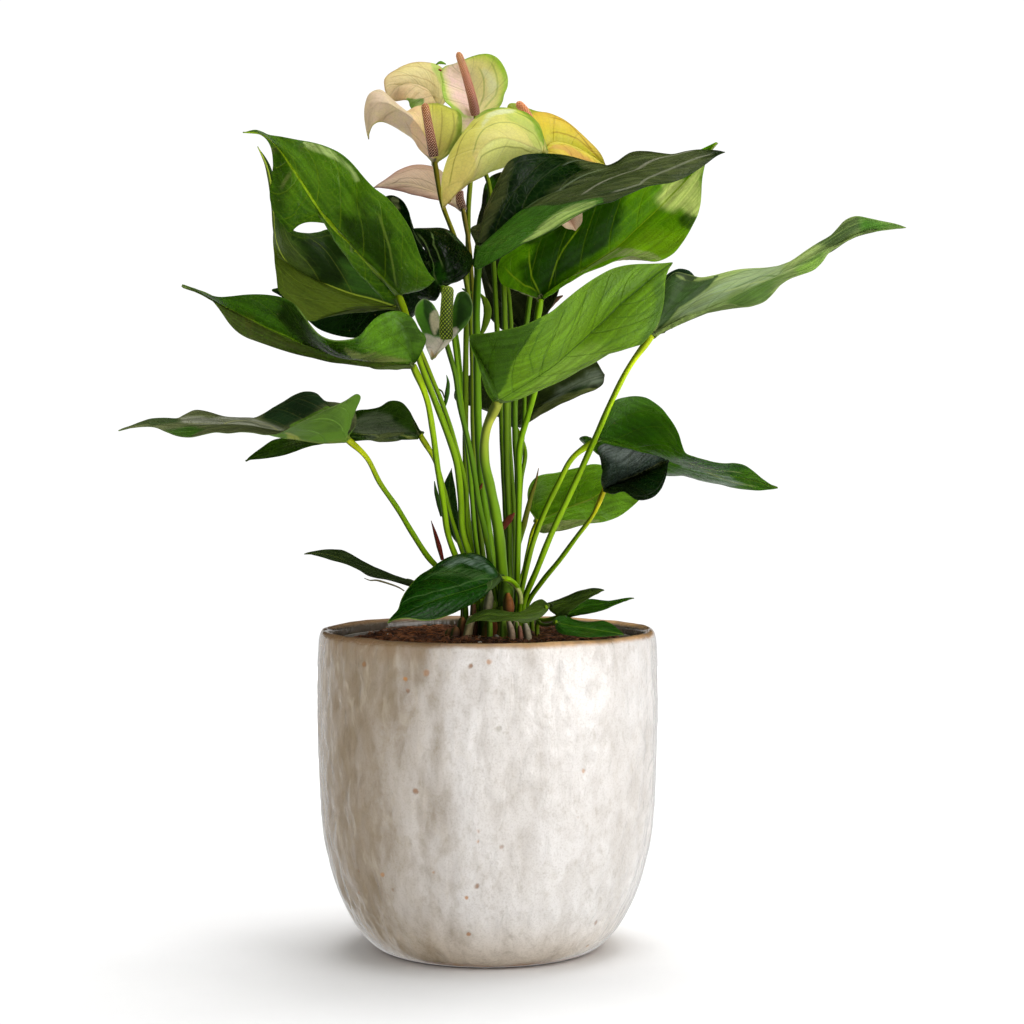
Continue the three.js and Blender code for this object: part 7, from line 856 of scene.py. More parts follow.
def stalk_material(name, top, middle, low, streak=(70, 110, 20), rough=0.36, joint=None):
    s = Nodes(name)
    a, u = s.uv("UVMap")            # round, along (0 at the blade)
    col = s.mix(s.smooth(u, 0.03, 0.34), lin(top), lin(middle))
    col = s.mix(s.smooth(u, 0.6, 1.0), col, lin(low))
    if joint is not None:
        col = s.mix(s.smooth(u, 0.05, 0.09, 0.8, 0.0), col, lin(joint))
    along = s.n("CombineXYZ")
    s.put(along.inputs[0], s.math("MULTIPLY", a, 4.5))
    s.put(along.inputs[1], s.math("MULTIPLY", u, 5.0))
    ln = s.noise(1.0, 2.0, along.outputs[0])
    col = s.mix(s.math("MULTIPLY", s.smooth(ln, 0.42, 0.66), 0.35), col, lin(streak))
    # painted shade: the stalk is darkened on the side whose normal points towards -X, away from the key light, broken
    # up by the lengthwise ribs
    nrm = s.n("SeparateXYZ")
    s.link(s.n("NewGeometry").outputs["Normal"], nrm.inputs[0])
    shade = s.smooth(s.math("ADD", nrm.outputs[0], s.math("MULTIPLY", s.math("SUBTRACT", ln, 0.5), 0.5)), -0.70, 0.25, 0.88, 0.0)
    col = s.mix(shade, col, lin((16, 40, 0)))
    blot = s.smooth(s.noise(75.0, 3.0), 0.66, 0.74)
    col = s.mix(s.math("MULTIPLY", blot, 0.2), col, lin((112, 80, 26)))
    h = s.math("ADD", ln, s.math("MULTIPLY", s.noise(220.0, 1.0), 0.18))
    s.set(Base_Color=col, Roughness=s.math("ADD", rough - 0.05, s.math("MULTIPLY", ln, 0.12)), Specular_IOR_Level=0.16, Normal=s.bump(h, 0.3, 0.0003))
    return s.mat


# ---------------------------------------------------------------------------
# blades
# ---------------------------------------------------------------------------
def station(t, start):
    return np.clip((t - start) / (1 - start), 0, 1) ** 1.15


def blade(node, material, slot_name, cad_node, nt=84, nv=20, thick=0.75, veins=9, bend=-1.3, camber=1.6, wave=1.1, quilt=0.2,
          top="both", flip=False, curl=0.0, seed=1, name=None, margin_wave=1.0, groove=0.5, curl_side=None, fan=None):
    """A thin closed leaf or spathe from its midrib and margins."""
    b = dict(BLADES[name or node])
    if fan is not None:
        b["fan"] = fan
    mid, ma, mb = dense(b["mid"]), dense(b["a"]), dense(b["b"])
    t = np.linspace(0, 1, nt + 1) ** 1.0
    t[-1] = 0.9985
    v = np.r_[np.linspace(0, 0.985, nv), 1.0]
    halves = []
    for curve, start in ((ma, b["fan"][0]), (mb, b["fan"][1])):
        m = at(mid, station(t, start))
        e = at(curve, t)
        p = m[:, None] + (e - m)[:, None] * v[None, :, None]
        width = np.linalg.norm(e - m, axis=1)
        halves.append((p, width))
    G = np.concatenate([halves[0][0][:, :0:-1], halves[1][0]], axis=1)      # nt+1, 2nv+1, 3
    W = np.concatenate([np.repeat(halves[0][1][:, None], nv, 1), np.repeat(halves[1][1][:, None], nv + 1, 1)], axis=1)
    V = np.concatenate([v[:0:-1], v])[None, :].repeat(nt + 1, 0)
    T = t[:, None].repeat(2 * nv + 1, 1)
    S = np.concatenate([np.zeros(nv), [0.5], np.ones(nv)])[None, :].repeat(nt + 1, 0)

    def normals(g):
        du = np.gradient(g, axis=0)
        dv = np.gradient(g, axis=1)
        # keep the crease at the midrib rounded over a few columns
        n = np.cross(du, dv)
        bad = np.linalg.norm(n, axis=-1) < 1e-7
        n = unit(n)
        for i in range(1, nt + 1):
            n[i][bad[i]] = n[i - 1][bad[i]]
        return n

    def steady(n):
        # where the rows run along the midrib the normal can turn over beside it: keep to the side it has further out
        k = max(2, int(round(0.25 * nv)))
        for way in (-1, 1):
            ref = n[:, nv + way * k]
            for j in range(k):
                wrong = (n[:, nv + way * j] * ref).sum(-1) < 0
                n[wrong, nv + way * j] = ref[wrong]
        return n
    N = steady(normals(G))
    # smooth the normals a little along the blade
    for _ in range(3):
        P = N.copy()
        P[1:-1] = unit(N[:-2] + 2 * N[1:-1] + N[2:])
        N = P
    pick = {"both": S >= 0, "a": S < 0.4, "b": S > 0.6}[top]
    facing = float(((-N[..., 1]) * W)[pick].sum())
    sign = 1.0 if facing >= 0 else -1.0
    if flip:
        sign = -sign
    N = N * sign
    taper = np.sin(np.pi * np.clip(T, 0.0, 1.0)) ** 0.5
    wide = np.clip(W / 22.0, 0, 1.2)
    # arch between midrib and margin
    off = camber * 4 * V * (1 - V) * taper * wide
    # swelling between the lateral veins, with a groove along each
    q = T * veins + bend * V ** 1.6
    ph = np.abs(((q + 0.5) % 1.0) - 0.5)
    off += quilt * (1 - np.exp(-(ph / 0.16) ** 2)) * np.clip(V * 6, 0, 1) * np.clip((1 - V) * 5, 0, 1) * wide
    # groove of the midrib
    off -= groove * np.exp(-((V * W) / 1.1) ** 2)
    # margin waves and slow undulation
    P3 = G.reshape(-1, 3)
    slow = value_noise(P3, 0.035, seed, 2).reshape(T.shape)
    hold = 1 - 0.8 * V ** 4
    off += wave * slow * np.clip(V * 1.6, 0, 1) * wide * hold
    off += margin_wave * np.sin(T * 31 + 2.3 * seed + 2.0 * S) * V ** 3 * taper * 0.18 * wide
    off += curl * (V ** 2.2) * taper * wide
    if curl_side is not None:
        which, amount = curl_side
        off += amount * (V ** 2.0) * taper * (S < 0.4 if which == "a" else S > 0.6)
    C = G + N * off[..., None]
    N2 = steady(normals(C) * sign)
    th = thick * (0.45 + 0.55 * np.clip((1 - V) * 3, 0, 1)) + 1.5 * np.exp(-((V * W) / 1.3) ** 2) * np.clip(1.15 - T, 0.25, 1)
    th *= np.clip((1 - T) * 12, 0.5, 1)
    upper = C
    lower = C - N2 * th[..., None]
    # distances for the shader
    DM = V * W / 100.0
    DE = (1 - V) * W / 100.0
    nrow, ncol = nt, 2 * nv
    verts = np.vstack([upper.reshape(-1, 3), lower.reshape(-1, 3)])
    n = (nt + 1) * (2 * nv + 1)
    faces = grid_faces(nrow, ncol) + grid_faces(nrow, ncol, n, flip=True)
    c = ncol + 1
    for i in range(nrow):
        a, d = i * c, (i + 1) * c
        faces.append((a, d, d + n, a + n))
        a, d = i * c + ncol, (i + 1) * c + ncol
        faces.append((d, a, a + n, d + n))
    for j in range(ncol):
        a, d = j, j + 1
        faces.append((d, a, a + n, d + n))
        a, d = nrow * c + j, nrow * c + j + 1
        faces.append((a, d, d + n, a + n))
    flat = lambda arr: np.r_[arr.ravel(), arr.ravel()]
    uvs = {"UVMap": np.c_[flat(T), flat(V)],
           "side": np.c_[np.r_[np.zeros(n), np.ones(n)], flat(S)],
           "dist": np.c_[flat(DM), flat(DE)]}
    attrs = {}
    chart = np.where(S < 0.4, -V, V)

    def place(tt, ss):
        curve, start = (ma, b["fan"][0]) if ss < 0 else (mb, b["fan"][1])
        tt = np.array([tt])
        m, e = at(mid, station(tt, start))[0], at(curve, tt)[0]
        return m + (e - m) * abs(ss)
    for key, (closed, pts) in MARKS.get(node, {}).items():
        fine_pts = []
        loop = pts + pts[:1] if closed else pts
        for (t0, s0), (t1, s1) in zip(loop[:-1], loop[1:]):
            for w in np.linspace(0, 1, 5)[:-1]:
                fine_pts.append((t0 + (t1 - t0) * w, s0 + (s1 - s0) * w))
        fine_pts.append(loop[-1])
        P = np.array([place(*q) for q in fine_pts])
        A, B = P[:-1], P[1:]
        X = G.reshape(-1, 3)
        dist = np.full(len(X), 1e9)
        signed = np.zeros(len(X))
        past = np.zeros(len(X))
        run, total = 0.0, float(np.linalg.norm(B - A, axis=1).sum())
        Q = [(x0, y0) for x0, y0 in fine_pts]
        x, y = T.ravel(), chart.ravel()
        for k, (p0, p1) in enumerate(zip(A, B)):
            dd = p1 - p0
            long = max(1e-6, float(np.linalg.norm(dd)))
            w = (X - p0) @ dd / long ** 2
            lo = -1e9 if (k == 0 and not closed) else 0.0
            hi = 1e9 if (k == len(A) - 1 and not closed) else 1.0
            wc = np.clip(w, lo, hi)
            dk = np.linalg.norm(X - p0 - wc[:, None] * dd, axis=1)
            near = dk < dist
            dist = np.where(near, dk, dist)
            if not closed:
                (x0, y0), (x1, y1) = Q[k], Q[k + 1]
                turn = (x1 - x0) * (y - y0) - (y1 - y0) * (x - x0)
                signed = np.where(near, np.where(turn >= 0, dk, -dk), signed)
                along = run + wc * long
                past = np.where(near, np.maximum(-along, along - total), past)
            run += long
        if closed:
            inside = np.zeros(len(x), bool)
            for (x0, y0), (x1, y1) in zip(loop[:-1], loop[1:]):
                if y0 == y1:
                    continue
                cut = ((y0 > y) != (y1 > y)) & (x < (x1 - x0) * (y - y0) / (y1 - y0) + x0)
                inside ^= cut
            # edges of the area that run along the margin are open, so the colour reaches the rim
            dist = np.where(inside, np.maximum(dist, np.where(V.ravel() > 0.93, 2.0, 0.0)), -dist)
        else:
            dist = signed
            attrs["e_" + key] = np.r_[past, past]
        attrs["k_" + key] = np.r_[dist, dist]
    ob = mesh_object("look_" + node + ("_blade" if b["kind"] == "leaf" else "_spathe"), verts, faces, uvs, material, attrs=attrs)
    fix_outward(ob)
    return own(ob, cad_node)


def tube(name, path, radius, material, sides=14, step=2.0, lump=0.05, seed=0.0, ends=True):
    """A round bar along a path; radius is a function of the distance along it."""
    c = dense(path, 24)
    length = c[2]
    rings = max(6, int(length / (step * 1)))
    u = np.linspace(0, 1, rings + 1)
    p = at(c, u)
    tan = unit(np.gradient(p, axis=0))
    ref = np.array([0.0, -1.0, 0.0])
    frames = []
    x = unit(np.cross(tan[0], np.cross(ref, tan[0]) + 1e-6))
    for k in range(rings + 1):
        x = unit(x - tan[k] * np.dot(x, tan[k]))
        frames.append((x, np.cross(tan[k], x)))
    a = np.linspace(0, 2 * np.pi, sides, endpoint=False)
    V, UV = [], []
    for k in range(rings + 1):
        r = radius(u[k] * length, length)
        rr = r * (1 + lump * np.sin(a * 2 + 5 * u[k] + seed) + lump * 0.6 * np.sin(a * 3 - 9 * u[k] + 2 * seed))
        V.append(p[k] + rr[:, None] * (np.cos(a)[:, None] * frames[k][0] + np.sin(a)[:, None] * frames[k][1]))
        UV += [(ai / (2 * np.pi), u[k]) for ai in a]
    V = np.vstack(V)
    faces = grid_faces(rings, sides, wrap=True)
    n0 = len(V)
    V = np.vstack([V, p[:1] - tan[0] * 0.2, p[-1:] + tan[-1] * 0.2])
    UV += [(0.5, 0), (0.5, 1)]
    for j in range(sides):
        faces.append(((j + 1) % sides, j, n0))
        faces.append((rings * sides + j, rings * sides + (j + 1) % sides, n0 + 1))
    ob = mesh_object(name, V, faces, {"UVMap": np.array(UV)}, material)
    return fix_outward(ob)


def stalk(node, top, middle, low, cad_node, slot_name="stalk_tissue", extra=1.0, lump=0.05, streak=(70, 110, 20), joint=None, swell=0.35, grow=0.0, **kw):
    (r0, r1), path = STALKS[node]
    mat = stalk_material("stalk_" + node, top, middle, low, streak=streak, joint=joint)
    r0, r1 = r0 * extra, r1 * extra

    def radius(d, length):
        r = (r0 + (r1 - r0) * (d / length)) * (1 + grow * (d / length))
        r *= 1 + swell * math.exp(-((d - 5) / 5.5) ** 2)        # knee below the blade
        r *= 1 + 0.35 * math.exp(-((length - d) / 9.0) ** 2)    # sheath at the foot
        r *= 1 + 0.03 * math.sin(d * 0.35 + len(path))
        return r
    path = [list(q) for q in path]
    path[-1][2] -= 3.0
    ob = tube("look_" + node + "_stalk", path, radius, mat, lump=lump, seed=len(node))
    return own(ob, cad_node)


def smoothstep(x, a, b):
    t = np.clip((np.asarray(x, float) - a) / (b - a), 0, 1)
    return t * t * (3 - 2 * t)


# ---------------------------------------------------------------------------
# camera: long lens, slightly above, so that horizontal circles read as thin ellipses
# ---------------------------------------------------------------------------
cam_data = bpy.data.cameras.new("camera")
cam_data.sensor_width = 36.0
cam_data.lens = 84.375
cam_data.clip_start = 0.05
cam_data.clip_end = 30.0
cam = bpy.data.objects.new("camera", cam_data)
cam.location = (0.01225, -1.2, 0.262)
cam.rotation_euler = (math.radians(90 - 2.1), 0, 0)
bpy.context.scene.collection.objects.link(cam)
bpy.context.scene.camera = cam

# ---------------------------------------------------------------------------
# glazed pot
# ---------------------------------------------------------------------------
OUTER = [(50, 0), (54.6, 0.9), (58.4, 3.2), (62, 6.6), (66.4, 12), (71.6, 21), (76, 31.5), (79.4, 43.5), (82.9, 62),
         (84.7, 93), (85.2, 124), (84.6, 150), (84, 156.2), (82.9, 158.9), (81.4, 159.6)]
INNER = [(81.4, 159.6), (79.8, 159), (78.8, 156.8), (78.9, 150), (79.6, 124), (79.1, 93), (77.4, 62), (73.8, 45.5),
         (67.5, 27), (59.5, 12.5), (53, 7)]


def pot_material():
    s = Nodes("glaze_offwhite")
    ob = s.obj()
    sep = s.n("SeparateXYZ")
    s.link(ob, sep.inputs[0])
    x, z = sep.outputs[0], sep.outputs[2]
    cloud = s.noise(13.0, 4.0, s.scaled(1, 1, 0.55), 0.6, 0.4)
    streak = s.noise(46.0, 5.0, s.scaled(1, 1, 0.30), 0.62, 0.8)
    mott = s.noise(120.0, 4.0, s.scaled(1, 1, 0.7), 0.6, 0.5)
    fine = s.noise(330.0, 4.0, s.scaled(1, 1, 0.7))
    grit = s.noise(1100.0, 2.0)
    thin = s.attr("thin")                        # 1 in the hollows of the dents, pits and wrinkles; the glaze is darkened there as painted shade of the relief
    # the glaze is white on the right and front and turns a darker warm greige round the left (-X), the side away from
    # the key light: partly the glaze's own tone and partly painted shade. The same mask strengthens the darker streaks,
    # trails and hollows towards the left.
    lean = s.math("ADD", x, s.math("MULTIPLY", s.math("SUBTRACT", cloud, 0.5), 0.10))
    left = s.smooth(lean, -0.070, 0.008, 1.0, 0.0)
    col = s.mix(s.smooth(cloud, 0.36, 0.66), lin((245, 242, 240)), lin((235, 230, 225)))
    # painted light: the lower right of the pot, towards the key light, is lightened nearly to white
    low_right = s.math("MULTIPLY", s.smooth(x, -0.01, 0.06), s.smooth(z, 0.008, 0.085, 1.0, 0.0))
    col = s.mix(s.math("MULTIPLY", low_right, 0.9), col, lin((255, 253, 251)))
    # partly painted shade: the left side of the pot is darkened towards warm greige
    col = s.mix(s.math("MULTIPLY", left, 0.84), col, lin((148, 129, 102)))
    col = s.mix(s.smooth(s.math("ADD", z, s.math("MULTIPLY", cloud, 0.02)), 0.008, 0.044, 0.62, 0.0), col, lin((206, 182, 146)))
    topleft = s.math("MULTIPLY", left, s.smooth(z, 0.118, 0.152))
    col = s.mix(s.math("MULTIPLY", topleft, 0.12), col, lin((112, 90, 62)))
    m = s.math("MULTIPLY", s.smooth(streak, 0.42, 0.70), s.math("ADD", 0.12, s.math("MULTIPLY", left, 0.52)))
    col = s.mix(m, col, lin((140, 122, 94)))
    m2 = s.math("MULTIPLY", s.smooth(mott, 0.44, 0.68), s.math("ADD", 0.08, s.math("MULTIPLY", left, 0.34)))
    col = s.mix(m2, col, lin((158, 142, 116)))
    m3 = s.math("MULTIPLY", s.smooth(fine, 0.50, 0.70), s.smooth(mott, 0.36, 0.62, 0.02, 0.22))
    col = s.mix(m3, col, lin((150, 134, 108)))
    col = s.mix(s.math("MULTIPLY", s.smooth(grit, 0.46, 0.70), 0.16), col, lin((132, 112, 84)))
    # painted shade in the hollows, stronger towards the left
    col = s.mix(s.math("MULTIPLY", s.smooth(thin, 0.25, 0.9), s.math("ADD", 0.14, s.math("MULTIPLY", left, 0.28))), col, lin((134, 116, 88)))
    # the glaze ran: narrow upright trails, darker where it is thin
    trail = s.noise(150.0, 3.0, s.scaled(1, 1, 0.33), 0.55, 0.4)
    col = s.mix(s.math("MULTIPLY", s.smooth(trail, 0.52, 0.72), s.math("ADD", 0.05, s.math("MULTIPLY", left, 0.26))), col, lin((120, 102, 76)))
    col = s.mix(s.math("MULTIPLY", s.smooth(trail, 0.30, 0.46, 1.0, 0.0), s.math("ADD", 0.06, s.math("MULTIPLY", left, 0.26))), col, lin((214, 202, 182)))
    # scattered pinholes burnt through to the clay
    pin = s.voronoi(95.0, "F1")
    keep = s.smooth(s.noise(31.0, 2.0), 0.60, 0.66)
    pm = s.math("MULTIPLY", s.smooth(pin, 0.06, 0.13, 1.0, 0.0), keep)
    col = s.mix(s.math("MULTIPLY", pm, 0.45), col, lin((150, 112, 74)))
    pits = None
    for i, (px, py, h, r) in enumerate(SPECKS):
        d = s.n("VectorMath", operation="DISTANCE")
        s.link(ob, d.inputs[0])
        d.inputs[1].default_value = (px * MM, py * MM, h * MM)
        wob = s.math("MULTIPLY", s.math("SUBTRACT", fine, 0.5), 0.0026)
        near = s.smooth(s.math("ADD", d.outputs["Value"], wob), r * 0.0005, r * 0.0017, 1.0, 0.0)
        tint = (140, 132, 104) if i == 5 else ((196, 136, 74), (150, 108, 72), (178, 128, 84))[i % 3]
        col = s.mix(s.math("MULTIPLY", near, 0.35 if i == 5 else 0.6 + 0.2 * (i % 2)), col, lin(tint))
        pits = near if pits is None else s.math("MAXIMUM", pits, near)
    # bare rim and foot, toasted by the kiln
    wavy = s.math("MULTIPLY", s.math("SUBTRACT", s.noise(35.0, 3.0), 0.5), 0.0034)
    zz = s.math("ADD", z, wavy)
    rim = s.smooth(zz, 0.1562, 0.1586)
    # the rim's toasted colour is dark brown towards -X and golden towards +X: painted shade and light following the key
    # light at the right
    rim_col = s.mix(s.smooth(x, -0.05, 0.06), lin((122, 92, 60)), lin((206, 156, 92)))
    rim_col = s.mix(s.math("MULTIPLY", s.smooth(s.noise(120.0, 3.0), 0.42, 0.68), 0.5), rim_col, lin((112, 80, 52)))
    col = s.mix(s.math("MULTIPLY", rim, 0.9), col, rim_col)
    drip = s.math("MULTIPLY", s.smooth(zz, 0.146, 0.1570), s.smooth(streak, 0.3, 0.62))
    col = s.mix(s.math("MULTIPLY", drip, s.math("ADD", 0.16, s.math("MULTIPLY", left, 0.4))), col, lin((150, 122, 90)))
    foot = s.smooth(zz, 0.0016, 0.0032, 1.0, 0.0)
    col = s.mix(s.math("MULTIPLY", foot, 0.85), col, lin((176, 132, 92)))
    # taupe glaze inside
    inside = s.attr("inside")
    incol = s.mix(s.smooth(streak, 0.4, 0.65), lin((112, 100, 86)), lin((80, 70, 58)))
    col = s.mix(s.math("MULTIPLY", inside, s.smooth(zz, 0.1572, 0.159, 1.0, 0.0)), col, incol)
    rough = s.math("ADD", 0.11, s.math("MULTIPLY", s.smooth(fine, 0.4, 0.7), 0.10))
    rough = s.math("ADD", rough, s.math("MULTIPLY", rim, 0.18))
    rough = s.math("ADD", rough, s.math("MULTIPLY", foot, 0.3))
    rough = s.math("ADD", rough, s.math("MULTIPLY", m2, 0.16))
    h = s.math("SUBTRACT", s.math("ADD", s.math("MULTIPLY", fine, 0.40), s.math("MULTIPLY", grit, 0.10)),
               s.math("MULTIPLY", s.math("MAXIMUM", pits, pm), 0.9))
    h2 = s.math("ADD", s.noise(105.0, 3.0, s.scaled(1, 1, 0.5), 0.5, 0.8), s.math("MULTIPLY", streak, 0.5))
    n1 = s.bump(h2, 0.62, 0.0030)
    s.set(Base_Color=col, Roughness=rough, Normal=s.bump(h, 0.55, 0.0007, n1))
    s.bsdf.inputs["Coat Weight"].default_value = 0.8
    s.bsdf.inputs["Coat Roughness"].default_value = 0.04
    return s.mat


def glazed_pot():
    na = 300
    nz = 132
    out = dense([(r, 0, z) for r, z in OUTER], 30)
    inn = dense([(r, 0, z) for r, z in INNER], 30)
    zo = np.linspace(0, 1, nz)
    po = at(out, np.r_[zo])[:, [0, 2]]
    pi = at(inn, np.linspace(0, 1, nz * 5 // 9))[1:, [0, 2]]
    prof = np.vstack([[(0.01, 0)], [(25, 0)], po, pi, [(25, 7)], [(0.01, 7)]])
    inside = np.r_[0, 0, np.zeros(len(po)), np.ones(len(pi)), 1, 1]
    a = np.linspace(0, 2 * np.pi, na, endpoint=False)
    R = prof[:, 0][:, None] * np.ones(na)[None]
    Z = prof[:, 1][:, None] * np.ones(na)[None]
    A = a[None] * np.ones(len(prof))[:, None]
    mask = smoothstep(Z, 3, 22) * (1 - 0.72 * smoothstep(Z, 149, 158)) * (1 - 0.72 * np.abs(np.sin(A)) ** 6)
    # hand-pressed facets: tall shallow hollows and ridges, plus a slow wobble of the wall
    pts = np.stack([np.sin(A) * 84, -np.cos(A) * 84, Z], -1).reshape(-1, 3)
    tall = value_noise(pts * [1, 1, 0.42], 0.060, 3.0, 2)
    mids = value_noise(pts * [1, 1, 0.62], 0.125, 8.0, 3)
    fine = value_noise(pts * [1, 1, 0.8], 0.34, 12.0, 2)
    wrinkle = value_noise(pts * [1, 1, 0.38], 0.21, 33.0, 2).reshape(R.shape) * (0.25 + 0.75 * smoothstep(-np.sin(A), -0.25, 0.6)) * (1 - 0.8 * np.abs(np.sin(A)) ** 8)
    slow = value_noise(pts, 0.013, 5.0, 1)
    dent = (0.72 * tall + 0.50 * mids + 0.13 * fine + 0.60 * slow).reshape(R.shape)
    # round thumb pits
    rng = np.random.default_rng(7)
    pits = np.zeros_like(R)
    for _ in range(170):
        pa, pz, pr, pd = rng.uniform(0, 2 * np.pi), rng.uniform(12, 150), rng.uniform(1.6, 5.0), rng.uniform(0.10, 0.40)
        da = (A - pa + np.pi) % (2 * np.pi) - np.pi
        d2 = (da * 84 / pr) ** 2 + ((Z - pz) / (pr * rng.uniform(1.0, 2.0))) ** 2
        pits -= pd * np.exp(-d2) - 0.35 * pd * np.exp(-((np.sqrt(d2) - 1.3) / 0.35) ** 2)
    groove = np.exp(-((((A - math.radians(-55)) + np.pi) % (2 * np.pi) - np.pi) * 84 / 2.2) ** 2) * np.exp(-((Z - 148) / 7) ** 2)
    R2 = R + mask * (1.25 * dent + 1.4 * pits + 0.80 * wrinkle - 0.35 * groove) * (1 - 0.6 * inside[:, None])
    lip = smoothstep(Z, 157.5, 159.5)
    Z2 = Z + lip * 0.35 * value_noise(pts * [1, 1, 0], 0.045, 21.0, 2).reshape(Z.shape)
    V = np.stack([R2 * np.sin(A), -R2 * np.cos(A), Z2], -1).reshape(-1, 3)
    # painted shade of the relief: 1 in the hollows of the wall, where the glaze shader darkens the colour
    thin = np.clip(0.35 - 0.9 * (dent + pits) - 0.7 * wrinkle, 0, 1) * (1 - inside[:, None])
    faces = grid_faces(len(prof) - 1, na, wrap=True)
    n = len(V)
    V = np.vstack([V, [(0, 0, 0)], [(0, 0, 7)]])
    for j in range(na):
        faces.append(((j + 1) % na, j, n))
        k = (len(prof) - 1) * na
        faces.append((k + j, k + (j + 1) % na, n + 1))
    ob = mesh_object("look_glazed_pot", V, faces, None, pot_material(), attrs={
        "inside": np.r_[np.repeat(inside, na), 0, 1], "thin": np.r_[thin.ravel(), 0, 0]})
    fix_outward(ob)
    return own(ob, "glazed_pot")


glazed_pot()


# ---------------------------------------------------------------------------
# nursery pot, compost, crown
# ---------------------------------------------------------------------------
def liner_material():
    s = Nodes("grey_plastic")
    n = s.noise(55.0, 3.0)
    f = s.noise(700.0, 2.0)
    col = s.mix(s.smooth(n, 0.35, 0.7), lin((120, 116, 108)), lin((96, 90, 82)))
    col = s.mix(s.math("MULTIPLY", s.smooth(s.noise(180.0, 3.0), 0.56, 0.7), 0.5), col, lin((92, 72, 54)))
    s.set(Base_Color=col, Roughness=s.math("ADD", 0.42, s.math("MULTIPLY", n, 0.15)), Normal=s.bump(f, 0.12, 0.0002))
    return s.mat


def nursery_pot():
    na = 96
    prof = [(0.01, 7.4), (20, 7.4), (36, 7.4), (48.6, 7.4), (50, 8.2), (50.6, 10)]
    for k in range(1, 12):
        z = 10 + (150 - 10) * k / 12
        prof.append((50.6 + (72.4 - 50.6) * k / 12, z))
    prof += [(72.4, 149.4), (72.9, 150), (74.3, 150.1), (74.6, 150.6), (74.6, 153.9), (74.3, 154.6), (73.6, 154.6), (73.2, 154.2),
             (73.2, 150.9), (72.2, 150.2), (71.2, 149.0)]
    for k in range(11, 0, -1):
        z = 10 + (150 - 10) * k / 12
        prof.append((49.4 + (71.2 - 49.4) * k / 12, z))
    prof += [(49.2, 9.4), (48.6, 8.7), (36, 8.6), (20, 8.6), (0.01, 8.6)]
    prof = np.array(prof, float)
    a = np.linspace(0, 2 * np.pi, na, endpoint=False)
    A = a[None] * np.ones(len(prof))[:, None]
    R = prof[:, :1] * np.ones(na)[None]
    Z = prof[:, 1:] * np.ones(na)[None]
    R = R + 0.35 * np.sin(3 * A + 1.0) * smoothstep(Z, 60, 150) * 0.6
    V = np.stack([R * np.sin(A), -R * np.cos(A), Z], -1).reshape(-1, 3)
    faces = grid_faces(len(prof) - 1, na, wrap=True)
    ob = mesh_object("look_nursery_pot", V, faces, None, liner_material())
    fix_outward(ob)
    return own(ob, "nursery_pot")


nursery_pot()


def soil_material():
    s = Nodes("coir")
    n = s.noise(120.0, 4.0)
    f = s.noise(620.0, 4.0)
    col = s.mix(s.smooth(n, 0.34, 0.66), lin((54, 30, 15)), lin((28, 15, 8)))
    col = s.mix(s.math("MULTIPLY", s.smooth(f, 0.52, 0.72), 0.55), col, lin((104, 60, 28)))
    grain = s.voronoi(420.0, "F1", out="Color")
    bw = s.n("RGBToBW")
    s.link(grain, bw.inputs[0])
    col = s.mix(s.math("MULTIPLY", s.smooth(bw.outputs[0], 0.62, 0.9), 0.5), col, lin((104, 62, 36)))
    s.set(Base_Color=col, Roughness=s.math("ADD", 0.72, s.math("MULTIPLY", f, 0.2)), Normal=s.bump(f, 0.9, 0.0012))
    return s.mat


def fibre_material(name, a, b):
    s = Nodes(name)
    n = s.noise(240.0, 3.0)
    col = s.mix(s.smooth(n, 0.35, 0.68), lin(a), lin(b))
    s.set(Base_Color=col, Roughness=s.math("ADD", 0.6, s.math("MULTIPLY", n, 0.25)), Normal=s.bump(s.noise(900.0, 2.0), 0.4, 0.0003))
    return s.mat


def soil_height(r):
    return np.interp(r, [0, 34, 46, 60, 66, 71], [156.6, 156.4, 156.0, 155.0, 153.6, 151.0])


def soil():
    na, nr = ((200, 56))
    r = np.r_[0.01, np.linspace(1.5, 70.8, nr)]
    a = np.linspace(0, 2 * np.pi, na, endpoint=False)
    A = a[None] * np.ones(len(r))[:, None]
    R = r[:, None] * np.ones(na)[None]
    X, Y = R * np.sin(A), -R * np.cos(A)
    P = np.stack([X, Y, np.zeros_like(X)], -1).reshape(-1, 3)
    h = value_noise(P, 0.11, 2.0, 3).reshape(R.shape) * 1.5 + value_noise(P, 0.42, 6.0, 3).reshape(R.shape) * 0.9
    Z = soil_height(R) + h * smoothstep(R, 71, 64) - 0.3
    top = np.stack([X, Y, Z], -1).reshape(-1, 3)
    side = [(70.9, 148), (66, 110), (58, 60), (49, 9.3), (20, 9.2), (0.01, 9.2)]
    rest = np.vstack([np.stack([q * np.sin(a), -q * np.cos(a), np.full(na, z)], -1) for q, z in side])
    V = np.vstack([top, rest])
    faces = grid_faces(len(r) + len(side) - 1, na, wrap=True)
    ob = mesh_object("look_potting_soil", V, faces, None, soil_material())
    fix_outward(ob)
    own(ob, "potting_soil")


soil()


